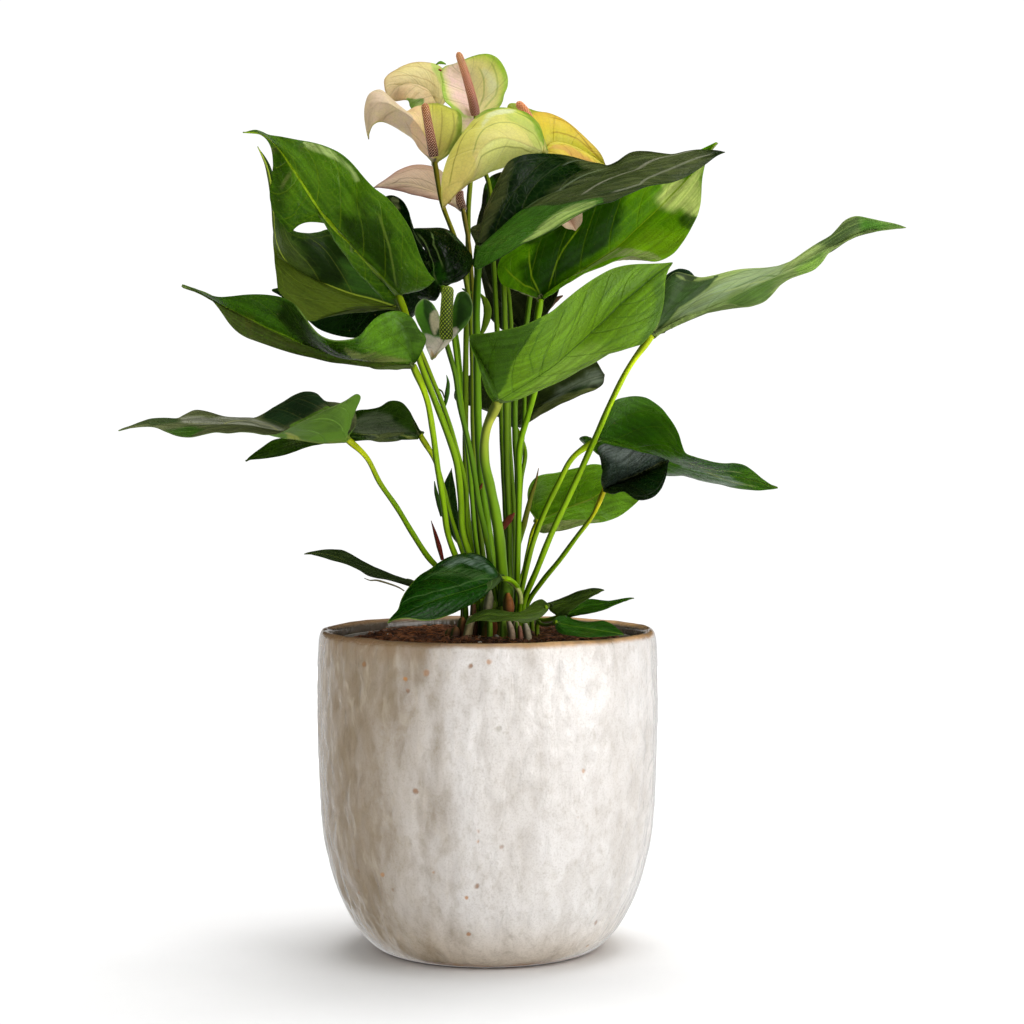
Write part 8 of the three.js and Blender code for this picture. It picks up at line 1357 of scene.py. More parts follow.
def chunks():
    """Crumbs and chips of coir lying on the compost."""
    rng = np.random.default_rng(11)
    ico = [(0, 0, 1)] + [(0.894 * math.cos(k * 1.2566), 0.894 * math.sin(k * 1.2566), 0.447) for k in range(5)] + \
          [(0.894 * math.cos(k * 1.2566 + 0.628), 0.894 * math.sin(k * 1.2566 + 0.628), -0.447) for k in range(5)] + [(0, 0, -1)]
    tri = [(0, k + 1, (k + 1) % 5 + 1) for k in range(5)] + [(k + 1, k + 6, (k + 1) % 5 + 1) for k in range(5)] + \
          [(k + 6, (k + 1) % 5 + 6, (k + 1) % 5 + 1) for k in range(5)] + [(11, (k + 1) % 5 + 6, k + 6) for k in range(5)]
    ico = np.array(ico)
    for name, count, size, mat in (("look_coir_crumbs", 3600, (0.5, 1.6), fibre_material("crumb", (84, 48, 24), (34, 19, 11))),
                                   ("look_coir_chips", 320, (1.2, 2.8), fibre_material("chip", (120, 72, 38), (58, 34, 18))),
                                   ("look_perlite", 16, (0.9, 1.6), fibre_material("perlite", (226, 222, 212), (190, 184, 170)))):
        V, F = [], []
        for _ in range(count):
            rr = math.sqrt(rng.uniform(0.0, 1.0)) * 69.0
            aa = rng.uniform(0, 2 * np.pi)
            s = rng.uniform(*size) * np.array([rng.uniform(0.7, 1.6), rng.uniform(0.6, 1.0), rng.uniform(0.35, 0.8)])
            p = ico * s * (1 + rng.uniform(-0.22, 0.22, (12, 1)))
            c, w = math.cos(aa * 7), math.sin(aa * 7)
            tx = rng.normal(0, 0.35)
            p = p @ np.array([[c, w, 0], [-w, c, 0], [0, 0, 1]])
            p = p @ np.array([[1, 0, tx], [0, 1, 0], [-tx, 0, 1]])
            rr = min(rr, 70.0 - s.max() * 1.25)
            centre = np.array([rr * math.sin(aa), -rr * math.cos(aa), soil_height(rr) + s[2] * 0.35 + 0.1])
            F += [tuple(len(V) + q for q in t) for t in tri]
            V += list(p + centre)
        ob = mesh_object(name, V, F, None, mat, smooth=False)
        own(ob, None)


chunks()


def fibres():
    rng = np.random.default_rng(19)
    for name, count, mat in (("look_coir_fibres", 560, fibre_material("fibre_tan", (146, 90, 48), (92, 54, 28))),
                             ("look_coir_fibres_dark", 380, fibre_material("fibre_dark", (92, 56, 36), (52, 32, 22)))):
        V, F = [], []
        for _ in range(count):
            rr = math.sqrt(rng.uniform(0.02, 1)) * 67
            aa = rng.uniform(0, 2 * np.pi)
            L = rng.uniform(3, 13)
            d = rng.uniform(0, 2 * np.pi)
            bend = rng.normal(0, 0.9)
            lift = rng.uniform(0.2, 1.7)
            rad = rng.uniform(0.11, 0.26)
            x0, y0 = rr * math.sin(aa), -rr * math.cos(aa)
            pts = []
            for k in range(7):
                u = k / 6 - 0.5
                th = d + bend * u
                x = x0 + L * u * math.cos(th)
                y = y0 + L * u * math.sin(th)
                q = math.hypot(x, y)
                if q > 69.5:
                    x, y = x * 69.5 / q, y * 69.5 / q
                    q = 69.5
                z = soil_height(q) + 0.5 + lift * (1 - (2 * u) ** 2) + 0.5 * u * math.sin(5 * aa)
                pts.append((x, y, z))
            pts = np.array(pts)
            tan = unit(np.gradient(pts, axis=0))
            nx = unit(np.cross(tan, [0, 0, 1.0]))
            nz = np.cross(nx, tan)
            base = len(V)
            for k in range(7):
                w = rad * (1 - 0.5 * abs(2 * (k / 6) - 1))
                for m in range(4):
                    ang = m * math.pi / 2
                    V.append(pts[k] + w * (math.cos(ang) * nx[k] + math.sin(ang) * nz[k]))
            for k in range(6):
                for m in range(4):
                    a0 = base + k * 4 + m
                    a1 = base + k * 4 + (m + 1) % 4
                    F.append((a0, a1, a1 + 4, a0 + 4))
            F.append((base + 3, base + 2, base + 1, base))
            F.append((base + 24, base + 25, base + 26, base + 27))
        ob = mesh_object(name, V, F, None, mat)
        own(ob, None)


fibres()


def crown_material():
    s = Nodes("crown")
    n = s.noise(70.0, 4.0)
    f = s.noise(330.0, 3.0)
    col = s.mix(s.smooth(n, 0.35, 0.64), lin((116, 92, 42)), lin((64, 42, 24)))
    col = s.mix(s.math("MULTIPLY", s.smooth(s.noise(44.0, 2.0), 0.52, 0.66), 0.6), col, lin((110, 128, 44)))
    col = s.mix(s.math("MULTIPLY", s.smooth(f, 0.5, 0.7), 0.5), col, lin((148, 104, 60)))
    s.set(Base_Color=col, Roughness=s.math("ADD", 0.55, s.math("MULTIPLY", f, 0.2)), Normal=s.bump(f, 0.7, 0.0012))
    return s.mat


def crown():
    na, nr = ((120, 36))
    a = np.linspace(0, 2 * np.pi, na, endpoint=False)
    u = np.linspace(0, 1, nr)
    A = a[None] * np.ones(nr)[:, None]
    U = u[:, None] * np.ones(na)[None]
    X = 4.75 + 23.6 * np.sin(U * np.pi / 2) * np.sin(A)
    Y = -1.6 - 22.6 * np.sin(U * np.pi / 2) * np.cos(A)
    Z = 153.9 + 10.0 * np.cos(U * np.pi / 2)
    P = np.stack([X, Y, Z], -1).reshape(-1, 3)
    h = value_noise(P, 0.16, 4.0, 3).reshape(X.shape) * 1.6
    Z = Z + h * (1 - U ** 6) - 0.6
    V = np.vstack([np.stack([X, Y, Z], -1).reshape(-1, 3), np.stack([4.75 + 23.6 * np.sin(a), -1.6 - 22.6 * np.cos(a), np.full(na, 151.5)], -1)])
    faces = grid_faces(nr, na, wrap=True)
    n = len(V)
    V = np.vstack([V, [(4.75, -1.6, V[:na, 2].mean())], [(4.75, -1.6, 151.5)]])
    for j in range(na):
        faces.append(((j + 1) % na, j, n))
        faces.append((nr * na + j, nr * na + (j + 1) % na, n + 1))
    ob = mesh_object("look_stem_base", V, faces, None, crown_material())
    fix_outward(ob)
    own(ob, "stem_base")


crown()

# short stumps, sheaths and roots at the crown
CROWN_BITS = [
    # name, colour a, colour b, radii, points
    ("green_base_1", (150, 176, 60), (96, 120, 36), (4.0, 5.2), [(0.4, -21, 176), (0.9, -20, 170), (1.4, -19, 163), (1.6, -18, 157)]),
    ("green_base_2", (140, 160, 56), (110, 110, 42), (3.0, 4.2), [(7.4, -22, 173), (7.2, -21, 167), (6.8, -20, 161), (6.4, -19, 156)]),
    ("old_sheath_1", (176, 110, 54), (128, 74, 38), (2.6, 3.8), [(2.8, -25.5, 168.8), (2.0, -25, 164.5), (1.2, -24.4, 160), (0.6, -23.6, 156)]),
    ("old_sheath_2", (140, 96, 56), (96, 60, 36), (2.2, 3.2), [(-12.0, -21, 167), (-12.6, -21, 162), (-13.4, -20.8, 157), (-14, -20, 153)]),
    ("old_stem_1", (120, 84, 52), (74, 50, 34), (1.9, 2.6), [(-15.2, -24, 162.5), (-15.8, -24.5, 158.5), (-16.6, -25, 154.5), (-17.4, -25.4, 151)]),
    ("old_stem_2", (110, 76, 46), (80, 54, 36), (1.7, 2.4), [(-18.6, -19, 161), (-19.4, -19.6, 157), (-20.6, -20, 153), (-21.4, -20.4, 150.5)]),
    ("pale_sheath_1", (206, 196, 158), (168, 150, 108), (1.7, 2.5), [(-7.6, -24, 168), (-8.6, -24.6, 163), (-9.8, -25.2, 158), (-10.6, -25.8, 153.5)]),
    ("pale_sheath_2", (196, 180, 140), (150, 130, 92), (1.6, 2.2), [(13.6, -21.5, 166), (14.2, -22, 161.5), (15.2, -22.6, 157), (16.2, -23, 153)]),
    ("root_1", (228, 224, 210), (196, 186, 164), (1.3, 2.1), [(4.2, -25.0, 158.5), (4.6, -27.6, 156.6), (4.9, -29.6, 154.2), (5.0, -30.6, 151.4)]),
    ("root_2", (224, 216, 200), (188, 176, 150), (1.2, 1.9), [(11.6, -23.6, 158), (12.6, -26.4, 156.4), (13.2, -28.6, 154.0), (13.6, -29.8, 151.2)]),
    ("root_3", (206, 150, 130), (176, 120, 100), (1.0, 1.5), [(8.6, -24.6, 157.6), (9.0, -27.2, 155.8), (9.2, -29.0, 153.6), (9.4, -30.0, 151.2)]),
    ("root_4", (214, 204, 180), (170, 150, 118), (0.9, 1.5), [(-3.4, -24.0, 158), (-4.0, -26.6, 156), (-4.6, -28.4, 153.8), (-5.0, -29.6, 151.3)]),
    ("root_5", (196, 184, 154), (150, 130, 96), (0.9, 1.3), [(20.2, -16, 158), (22.2, -18.4, 156), (23.8, -20.4, 153.8), (25, -21.6, 151.4)]),
]
for nm, ca, cb, (ra, rb), pts in CROWN_BITS:
    m = stalk_material("bit_" + nm, ca, cb, cb, streak=[0.7 * c for c in ca], rough=0.55)
    ob = tube("look_" + nm, pts, lambda d, L, ra=ra, rb=rb: (ra + (rb - ra) * d / L) * (0.35 + 0.65 * min(1, d / 2.2) ** 0.5), m,
              sides=14, step=0.8, lump=0.10, seed=len(nm) * 1.7)
    own(ob, None)


def flat_bar(name, path, widths, material, thick=0.45, sides=12):
    """A slim blade or sheath: an oval bar, wide across the view from the front and thin in depth."""
    c = dense(path, 16)
    n = 24
    u = np.linspace(0, 1, n + 1)
    p = at(c, u)
    w = np.interp(u, np.linspace(0, 1, len(widths)), widths)
    tan = unit(np.gradient(p, axis=0))
    x = unit(np.cross(tan, [0.0, -1.0, 0.0]))
    y = unit(np.cross(tan, x))
    a = np.linspace(0, 2 * np.pi, sides, endpoint=False)
    V, UV = [], []
    for k in range(n + 1):
        th = max(0.12, min(w[k], thick))
        V.append(p[k] + w[k] * np.cos(a)[:, None] * x[k] + th * np.sin(a)[:, None] * y[k])
        UV += [(q / (2 * np.pi), u[k]) for q in a]
    V = np.vstack(V)
    faces = grid_faces(n, sides, wrap=True)
    m = len(V)
    V = np.vstack([V, p[:1], p[-1:]])
    UV += [(0.5, 0), (0.5, 1)]
    for j in range(sides):
        faces.append(((j + 1) % sides, j, m))
        faces.append((n * sides + j, n * sides + (j + 1) % sides, m + 1))
    ob = mesh_object(name, V, faces, {"UVMap": np.array(UV)}, material)
    return fix_outward(ob)


for nm, (pts, widths, (ca, cb), slot_name) in BITS.items():
    m = stalk_material("bit_" + nm, ca, [0.5 * (q + w) for q, w in zip(ca, cb)], cb, streak=[0.62 * c for c in ca], rough=0.45)
    round_bit = slot_name == "crown_tissue" or nm == "tiny_twig"
    own(flat_bar("look_" + nm, pts, widths, m, thick=9.0 if round_bit else 0.55), None)


# ---------------------------------------------------------------------------
# leaves
# ---------------------------------------------------------------------------
DARK = {"leaf_upper_left_back", "leaf_hidden_left", "leaf_centre_curled", "leaf_top_right", "leaf_hidden_behind_front",
        "leaf_hidden_behind_stalks", "leaf_lower_right_cup", "leaf_low_front", "leaf_narrow_inner", "leaf_low_right_back"}
ONE = {"leaf_hidden_left", "leaf_centre_curled", "leaf_hidden_behind_front", "leaf_hidden_behind_stalks", "leaf_rim_left", "leaf_small_front",
       "leaf_small_right", "leaf_small_right_back", "leaf_small_right_front", "leaf_narrow_inner"}

LOOK = {
    # name: dict(dark, light, vein, under, ...shader..., geo=dict(...), stalk=(top, middle, low))
    # painted highlight: shine is a pale glossy band along the curled upper margin
    "leaf_upper_left": dict(dark=(54, 96, 8), light=(88, 132, 40), vein=(160, 194, 50), under=(92, 118, 64), rough=0.30, midrib=(2.0, 0.95),
                            marks=dict(bdark=dict(col=(34, 64, 4), amt=0.7, soft=3), mid=dict(col=(36, 68, 6), amt=0.6, soft=5), base=dict(col=(26, 52, 2), amt=0.85, soft=4),
                                       shine=dict(col=(176, 198, 168), amt=0.85, soft=0.9, streak=0.6, rough=-0.06),
                                       grey=dict(col=(96, 100, 78), amt=0.7, soft=1.5, streak=0.5), ridge=dict(col=(112, 136, 66), amt=0.6, w=1.1), bl=dict(col=(104, 116, 80), amt=0.6, w=1.4)),
                            geo=dict(wave=1.3, camber=2.4, nt=120, nv=26, fan=(0.25, -0.45), groove=-0.5), stalk=((140, 170, 30), (112, 150, 18), (96, 132, 20))),
    # painted shadow: the dark area on the upper half is the shade cast by leaf_upper_left
    "leaf_upper_left_back": dict(dark=(30, 58, 4), light=(56, 90, 24), vein=(182, 204, 120), under=(84, 102, 48), rough=0.42, midrib=(1.6, 0.95),
                                 other=((78, 98, 34), (104, 124, 54)),
                                 marks=dict(grey=dict(col=(78, 98, 46), amt=0.8, soft=3), dark=dict(col=(22, 46, 2), amt=0.85, soft=3), bright=dict(col=(64, 110, 40), amt=0.8, soft=3),
                                            ),
                                 geo=dict(wave=1.0, camber=1.8, nt=110, nv=24, groove=-0.35), stalk=((128, 150, 22), (100, 136, 18), (92, 124, 20))),
    # painted sheen: s1 is a pale streaked sheen on the near-black blade
    "leaf_hidden_left": dict(dark=(4, 22, 4), light=(16, 44, 14), vein=(50, 84, 36), under=(72, 92, 60), rough=0.22,
                             marks=dict(s1=dict(col=(160, 172, 160), amt=0.6, soft=1.0, streak=0.6)),
                             geo=dict(wave=1.5, camber=1.4, nt=110, nv=24), stalk=((80, 116, 16), (74, 112, 14), (84, 110, 18))),
    "leaf_middle_left": dict(dark=(30, 64, 2), light=(54, 96, 10), vein=(110, 146, 40), under=(92, 112, 64), rough=0.30, midrib=(0.7, 0.35),
                             other=((56, 70, 46), (84, 94, 72)),
                             marks=dict(hump=dict(col=(94, 142, 40), amt=0.88, soft=2.5), shade2=dict(col=(58, 90, 38), amt=0.6, soft=4), dark=dict(col=(20, 42, 0), amt=0.92, soft=4),
                                        stripe=dict(col=(132, 140, 108), amt=0.8, soft=1.2, streak=0.6, both=True), rim=dict(col=(122, 152, 92), amt=0.8, w=0.8), mr=dict(col=(112, 146, 36), amt=0.85, w=0.8)),
                             tip=(60, 92, 8), geo=dict(wave=1.0, camber=2.2, nt=120, nv=24), stalk=((144, 176, 26), (112, 150, 16), (100, 136, 18))),
    # painted reflection: the grey base colour of the far part and the grey band are the sheen of the light above and
    # behind seen at a grazing angle; the lobe shows the green top side
    "leaf_low_left": dict(net=0.35, dark=(74, 82, 96), light=(116, 124, 158), vein=(130, 136, 104), under=(90, 128, 48), rough=0.42, midrib=(0.8, 0.4),
                          marks=dict(top=dict(col=(24, 48, 22), amt=0.95, soft=2.5, blue=1.0), painted_sheen_band=dict(col=(146, 148, 130), amt=0.8, soft=1.5, streak=0.7, blue=1.0), low=dict(col=(48, 92, 16), amt=0.85, soft=2),
                                     tip=dict(col=(32, 62, 30), amt=0.7, soft=2), lobe=dict(col=(90, 130, 44), amt=0.95, soft=0.5, wob=0.4, both=True), under=dict(col=(150, 158, 92), amt=0.8, soft=0.7, both=True),
                                     v1=dict(col=(146, 150, 128), amt=0.6, w=0.7), v2=dict(col=(146, 150, 128), amt=0.6, w=0.7)),
                          geo=dict(wave=1.2, camber=1.4, nt=120, nv=24), stalk=((140, 154, 20), (84, 116, 10), (48, 78, 8))),
    "leaf_low_left_back": dict(dark=(22, 46, 2), light=(44, 74, 14), vein=(96, 124, 48), under=(84, 96, 62), rough=0.34, midrib=(0.8, 0.4),
                               marks=dict(grey=dict(col=(94, 104, 78), amt=0.85, soft=2, streak=0.5, blue=1.0), base=dict(col=(132, 142, 96), amt=0.8, w=0.9), tip=dict(col=(50, 64, 34), amt=0.7, soft=2)),
                               geo=dict(wave=0.9, camber=1.4), stalk=((140, 160, 30), (104, 140, 18), (92, 124, 20))),
    # painted highlights: r1 and r2 are pale glossy streaks and shine a sheen on the dark curled blade
    "leaf_centre_curled": dict(dark=(6, 20, 4), light=(18, 42, 14), vein=(60, 90, 46), under=(60, 84, 50), rough=0.24, midrib=(0.8, 0.15),
                               marks=dict(r1=dict(col=(128, 152, 120), amt=0.75, w=0.8), r2=dict(col=(128, 152, 120), amt=0.65, w=0.7), shine=dict(col=(110, 140, 124), amt=0.5, soft=1.2, streak=0.5),
                                          g=dict(col=(34, 84, 14), amt=0.7, soft=1.5)),
                               geo=dict(wave=1.0, camber=2.6), stalk=((96, 132, 18), (88, 128, 14), (88, 120, 18))),
    # painted sheen and highlight: the grey and left areas are grey sheen of the light behind on the dark blade, and the
    # light patch on the flap is a painted highlight
    "leaf_top_right": dict(dark=(4, 22, 2), light=(14, 42, 12), vein=(120, 136, 100), under=(72, 92, 62), rough=0.34, midrib=(1.0, 0.0), contrast=0.06,
                           marks=dict(grey=dict(col=(82, 92, 68), amt=0.8, soft=4, streak=0.6), left=dict(col=(74, 80, 58), amt=0.8, soft=1.4, streak=0.4), flap=dict(col=(56, 98, 30), amt=0.95, soft=0.5, wob=0.5),
                                      flap_painted_highlight=dict(col=(166, 190, 140), amt=0.85, soft=1.5, streak=0.9), v1=dict(col=(116, 132, 96), amt=0.4, w=0.7, blue=1.0), v2=dict(col=(164, 162, 140), amt=0.38, w=0.9, blue=1.0),
                                      v3=dict(col=(158, 160, 136), amt=0.34, w=0.8, blue=1.0), v4=dict(col=(96, 108, 84), amt=0.6, w=0.8, blue=1.0)),
                           geo=dict(wave=1.1, camber=2.2, nt=130, nv=28), stalk=((64, 104, 20), (84, 124, 14), (88, 122, 18))),
    # painted light and shade: shade is the shadow that leaf_top_right casts on this blade, gloss a pale highlight and
    # curl a sheen along the curled margin, all painted into the colour
    "leaf_bright_back": dict(dark=(76, 130, 6), light=(108, 164, 18), vein=(150, 186, 40), under=(150, 158, 138), rough=0.30, midrib=(0.8, 0.75), glow=0.2, specular=0.05,
                             marks=dict(lobe=dict(col=(82, 138, 12), amt=0.75, soft=4), shade=dict(col=(26, 64, 0), amt=0.93, soft=3), low=dict(col=(116, 162, 14), amt=0.85, soft=4), gloss=dict(col=(214, 228, 180), amt=0.85, soft=2.5, streak=0.3),
                                        dark=dict(col=(20, 50, 0), amt=0.8, soft=2), curl=dict(col=(156, 164, 146), amt=0.85, soft=0.8, streak=0.8, both=True),
                                        v1=dict(col=(140, 172, 36), amt=0.7, w=0.6), v2=dict(col=(140, 172, 36), amt=0.7, w=0.6), v3=dict(col=(136, 168, 34), amt=0.7, w=0.6)),
                             geo=dict(wave=1.2, camber=1.8, nt=120, nv=28), stalk=((120, 170, 14), (108, 150, 14), (98, 134, 18))),
    # painted shade: the darker left part of the blade, with its sharp diagonal edge, is shade painted into the colour
    "leaf_front": dict(dark=(92, 134, 30), light=(112, 155, 46), vein=(58, 94, 10), under=(92, 120, 62), rough=0.42, midrib=(1.0, 0.8), lat=((54, 88, 12), 0.35, 0.8),
                       marks=dict(low=dict(col=(122, 156, 68), amt=0.65, soft=1.5, streak=0.5), left=dict(col=(54, 90, 12), amt=0.9, soft=0.7, wob=0.6), edge=dict(col=(60, 98, 34), amt=0.6, soft=2),
                                  v1=dict(col=(56, 94, 14), amt=0.55, w=0.6), v2=dict(col=(56, 94, 14), amt=0.55, w=0.6), v3=dict(col=(56, 94, 14), amt=0.55, w=0.6), v4=dict(col=(56, 94, 14), amt=0.55, w=0.6),
                                  v5=dict(col=(56, 94, 14), amt=0.45, w=0.6), v6=dict(col=(56, 94, 14), amt=0.45, w=0.6), v7=dict(col=(56, 94, 14), amt=0.45, w=0.6), v8=dict(col=(56, 94, 14), amt=0.45, w=0.6)),
                       geo=dict(wave=0.8, camber=2.2, nt=120, nv=28, quilt=0.4), stalk=((146, 156, 250), (88, 122, 90), (70, 106, 60))),
    # painted sheen: the grey-green base colour and the pale streaked area are the sheen of the light above and behind
    # on a near-flat blade
    "leaf_long_right": dict(net=0.5, dark=(112, 136, 138), light=(154, 176, 186), vein=(84, 116, 58), under=(92, 112, 72), rough=0.45, midrib=(0.8, 0.5), lat=((90, 118, 66), 0.3, 0.8), glow=0.06,
                            marks=dict(pale=dict(col=(150, 170, 132), amt=0.7, soft=2, streak=0.6, blue=1.0), lobe=dict(col=(80, 118, 54), amt=0.8, soft=2), right=dict(col=(120, 162, 76), amt=0.85, soft=2),
                                       dark=dict(col=(42, 74, 38), amt=0.92, soft=0.7, wob=0.6), hump=dict(col=(22, 46, 24), amt=0.9, soft=1), tipdark=dict(col=(46, 74, 46), amt=0.85, soft=2, streak=0.4),
                                       tip=dict(col=(62, 124, 14), amt=0.85, soft=3), v1=dict(col=(72, 104, 54), amt=0.65, w=0.8), v2=dict(col=(164, 180, 146), amt=0.5, w=0.8), v3=dict(col=(84, 112, 66), amt=0.6, w=0.7)),
                            geo=dict(wave=1.1, camber=1.8, nt=130, nv=26), stalk=((172, 196, 60), (120, 158, 14), (92, 128, 16))),
    # painted sheen: s1 is a pale streaked sheen on the blade
    "leaf_hidden_behind_front": dict(dark=(28, 40, 22), light=(64, 78, 56), vein=(70, 80, 66), under=(70, 84, 62), rough=0.36, midrib=(0.8, 0.3),
                                     marks=dict(s1=dict(col=(160, 172, 150), amt=0.95, soft=3, streak=0.4, blue=1.0), edge=dict(col=(140, 148, 118), amt=0.7, soft=0.9, streak=0.6), g=dict(col=(30, 62, 8), amt=0.85, soft=1.4)),
                                     geo=dict(wave=1.0, camber=1.6), stalk=((96, 130, 16), (84, 120, 14), (88, 114, 18))),
    "leaf_hidden_behind_stalks": dict(dark=(8, 14, 6), light=(40, 50, 38), vein=(84, 90, 78), under=(64, 76, 56), rough=0.42, midrib=(0.8, 0.2),
                                      marks=dict(mr=dict(col=(116, 120, 110), amt=0.75, w=0.8), green=dict(col=(54, 104, 4), amt=0.9, soft=1)),
                                      geo=dict(wave=0.8, camber=1.2), stalk=((84, 116, 18), (80, 116, 14), (84, 110, 18))),
    # painted sheen: the pale grey streaked area on the far half is a grey sheen
    "leaf_lower_right": dict(dark=(46, 92, 8), light=(72, 120, 28), vein=(104, 138, 54), under=(84, 108, 60), rough=0.34, midrib=(0.8, 0.4),
                             marks=dict(light=dict(col=(70, 114, 46), amt=0.8, soft=4), core=dict(col=(38, 84, 2), amt=0.8, soft=5), far=dict(col=(38, 80, 30), amt=0.85, soft=2, streak=0.4),
                                        pale=dict(col=(136, 150, 136), amt=0.75, soft=1.5, streak=0.8, blue=1.0), v1=dict(col=(136, 146, 124), amt=0.6, w=0.7), v2=dict(col=(136, 146, 124), amt=0.55, w=0.7)),
                             geo=dict(wave=1.0, camber=1.8, nt=120, nv=24), stalk=((142, 172, 30), (116, 150, 16), (94, 130, 18))),
    # painted sheen: the grey and light grey streaked areas are sheen on the dark flap
    "leaf_lower_right_cup": dict(dark=(4, 18, 2), light=(12, 36, 8), vein=(84, 92, 76), under=(14, 34, 10), rough=0.34, midrib=(0.8, 0.2),
                                 marks=dict(grey=dict(col=(62, 74, 66), amt=0.88, soft=2.5, streak=0.7, blue=1.0, both=True), painted_sheen_lite=dict(col=(112, 122, 114), amt=0.5, soft=3, streak=0.6, blue=1.0, both=True), g=dict(col=(12, 44, 10), amt=0.5, soft=3),
                                            v1=dict(col=(116, 122, 104), amt=0.6, w=0.9)),
                                 geo=dict(wave=0.8, camber=2.6), stalk=((176, 170, 40), (104, 140, 18), (60, 90, 16))),
    "leaf_low_right_back": dict(dark=(84, 134, 16), light=(110, 158, 34), vein=(160, 186, 84), under=(150, 162, 130), rough=0.34, midrib=(0.8, 0.6),
                                marks=dict(low=dict(col=(108, 158, 40), amt=0.9, soft=0.7, wob=0.6), strip=dict(col=(160, 168, 146), amt=0.9, soft=0.5, wob=0.4, streak=0.5, both=True), dark=dict(col=(100, 148, 24), amt=0.7, soft=3),
                                           mr=dict(col=(132, 150, 86), amt=0.8, w=0.8), sheen=dict(col=(104, 132, 104), amt=0.5, soft=3)),
                                geo=dict(wave=0.9, camber=1.6), stalk=((176, 186, 40), (112, 148, 20), (98, 134, 20))),
    # painted sheen: s1, s2 and s3 are whitish sheen on the dark glossy blade
    "leaf_low_front": dict(dark=(8, 44, 4), light=(24, 72, 16), vein=(84, 120, 80), under=(70, 98, 52), rough=0.26, midrib=(0.8, 0.4), edge=(120, 150, 50),
                           marks=dict(s1=dict(col=(160, 180, 168), amt=0.55, soft=2.5, streak=0.7, blue=1.0), s2=dict(col=(146, 168, 154), amt=0.48, soft=2.2, streak=0.7, blue=1.0), s3=dict(col=(104, 134, 114), amt=0.4, soft=2.5, streak=0.85),
                                      mr=dict(col=(90, 124, 96), amt=0.4, w=0.6), v1=dict(col=(84, 116, 90), amt=0.3, w=0.6)),
                           geo=dict(wave=0.8, camber=2.6, nt=110, nv=26, quilt=0.5), stalk=((110, 148, 24), (96, 136, 18), (92, 124, 20))),
    "leaf_rim_left": dict(dark=(24, 38, 26), light=(50, 66, 58), vein=(92, 104, 62), under=(84, 96, 72), rough=0.40, net=0.0,
                          geo=dict(wave=0.8, camber=1.2), stalk=((60, 56, 24), (56, 60, 20), (70, 76, 28))),
    "leaf_small_front": dict(dark=(36, 60, 28), light=(80, 104, 66), vein=(96, 120, 66), under=(92, 112, 72), rough=0.40,
                             geo=dict(wave=0.8, camber=1.2), stalk=((104, 136, 34), (92, 122, 26), (92, 112, 34))),
    "leaf_small_right": dict(dark=(30, 50, 24), light=(62, 82, 50), vein=(96, 120, 66), under=(80, 100, 64), rough=0.38,
                             geo=dict(wave=0.7, camber=1.0), stalk=((104, 136, 34), (92, 122, 26), (92, 112, 34))),
    "leaf_small_right_back": dict(dark=(36, 84, 16), light=(62, 114, 26), vein=(110, 146, 50), under=(90, 116, 64), rough=0.36,
                                  geo=dict(wave=0.7, camber=0.9), stalk=((104, 136, 34), (92, 122, 26), (92, 112, 34))),
    "leaf_small_right_front": dict(dark=(20, 62, 16), light=(46, 94, 34), vein=(100, 138, 60), under=(84, 110, 60), rough=0.36,
                                   geo=dict(wave=0.7, camber=1.0), stalk=((104, 136, 34), (92, 122, 26), (92, 112, 34))),
    "leaf_narrow_inner": dict(dark=(18, 50, 10), light=(40, 78, 26), vein=(76, 110, 44), under=(76, 100, 56), rough=0.32,
                              geo=dict(wave=0.7, camber=1.0), stalk=((100, 136, 26), (92, 126, 20), (92, 118, 24))),
}

for i, (name, k) in enumerate(LOOK.items()):
    k = dict(k)
    geo = k.pop("geo")
    top, middle, low = k.pop("stalk")
    slot_name = "leaf_dark" if name in DARK else "leaf_bright"
    cad_blade = name if name in ONE else name + "_blade"
    cad_stalk = name if name in ONE else name + "_stalk"
    m = leaf_material(name, **k)
    small = name in ONE and name not in ("leaf_hidden_left", "leaf_hidden_behind_front", "leaf_hidden_behind_stalks", "leaf_centre_curled")
    if small:
        geo = dict(dict(nt=60, nv=12, thick=0.6, groove=0.3, quilt=0.18, margin_wave=0.5), **geo)
    blade(name, m, slot_name, cad_blade, seed=i + 1, **geo)
    top, middle, low = [(min(255, c[0] * 1.32), min(255, c[1] * 1.28), c[2] * 0.28) for c in (top, middle, low)]
    stalk(name, top, middle, low, cad_stalk, joint=[0.8 * c for c in top], extra={"leaf_front": 0.98, "leaf_long_right": 0.76, "leaf_lower_right": 0.74, "leaf_lower_right_cup": 0.72, "leaf_low_left": 0.74,
                                                                                 "leaf_upper_left": 0.85, "leaf_middle_left": 0.8, "leaf_top_right": 0.8, "leaf_bright_back": 0.8}.get(name, 0.72),
          grow=0.6 if name == "leaf_front" else 0.0)

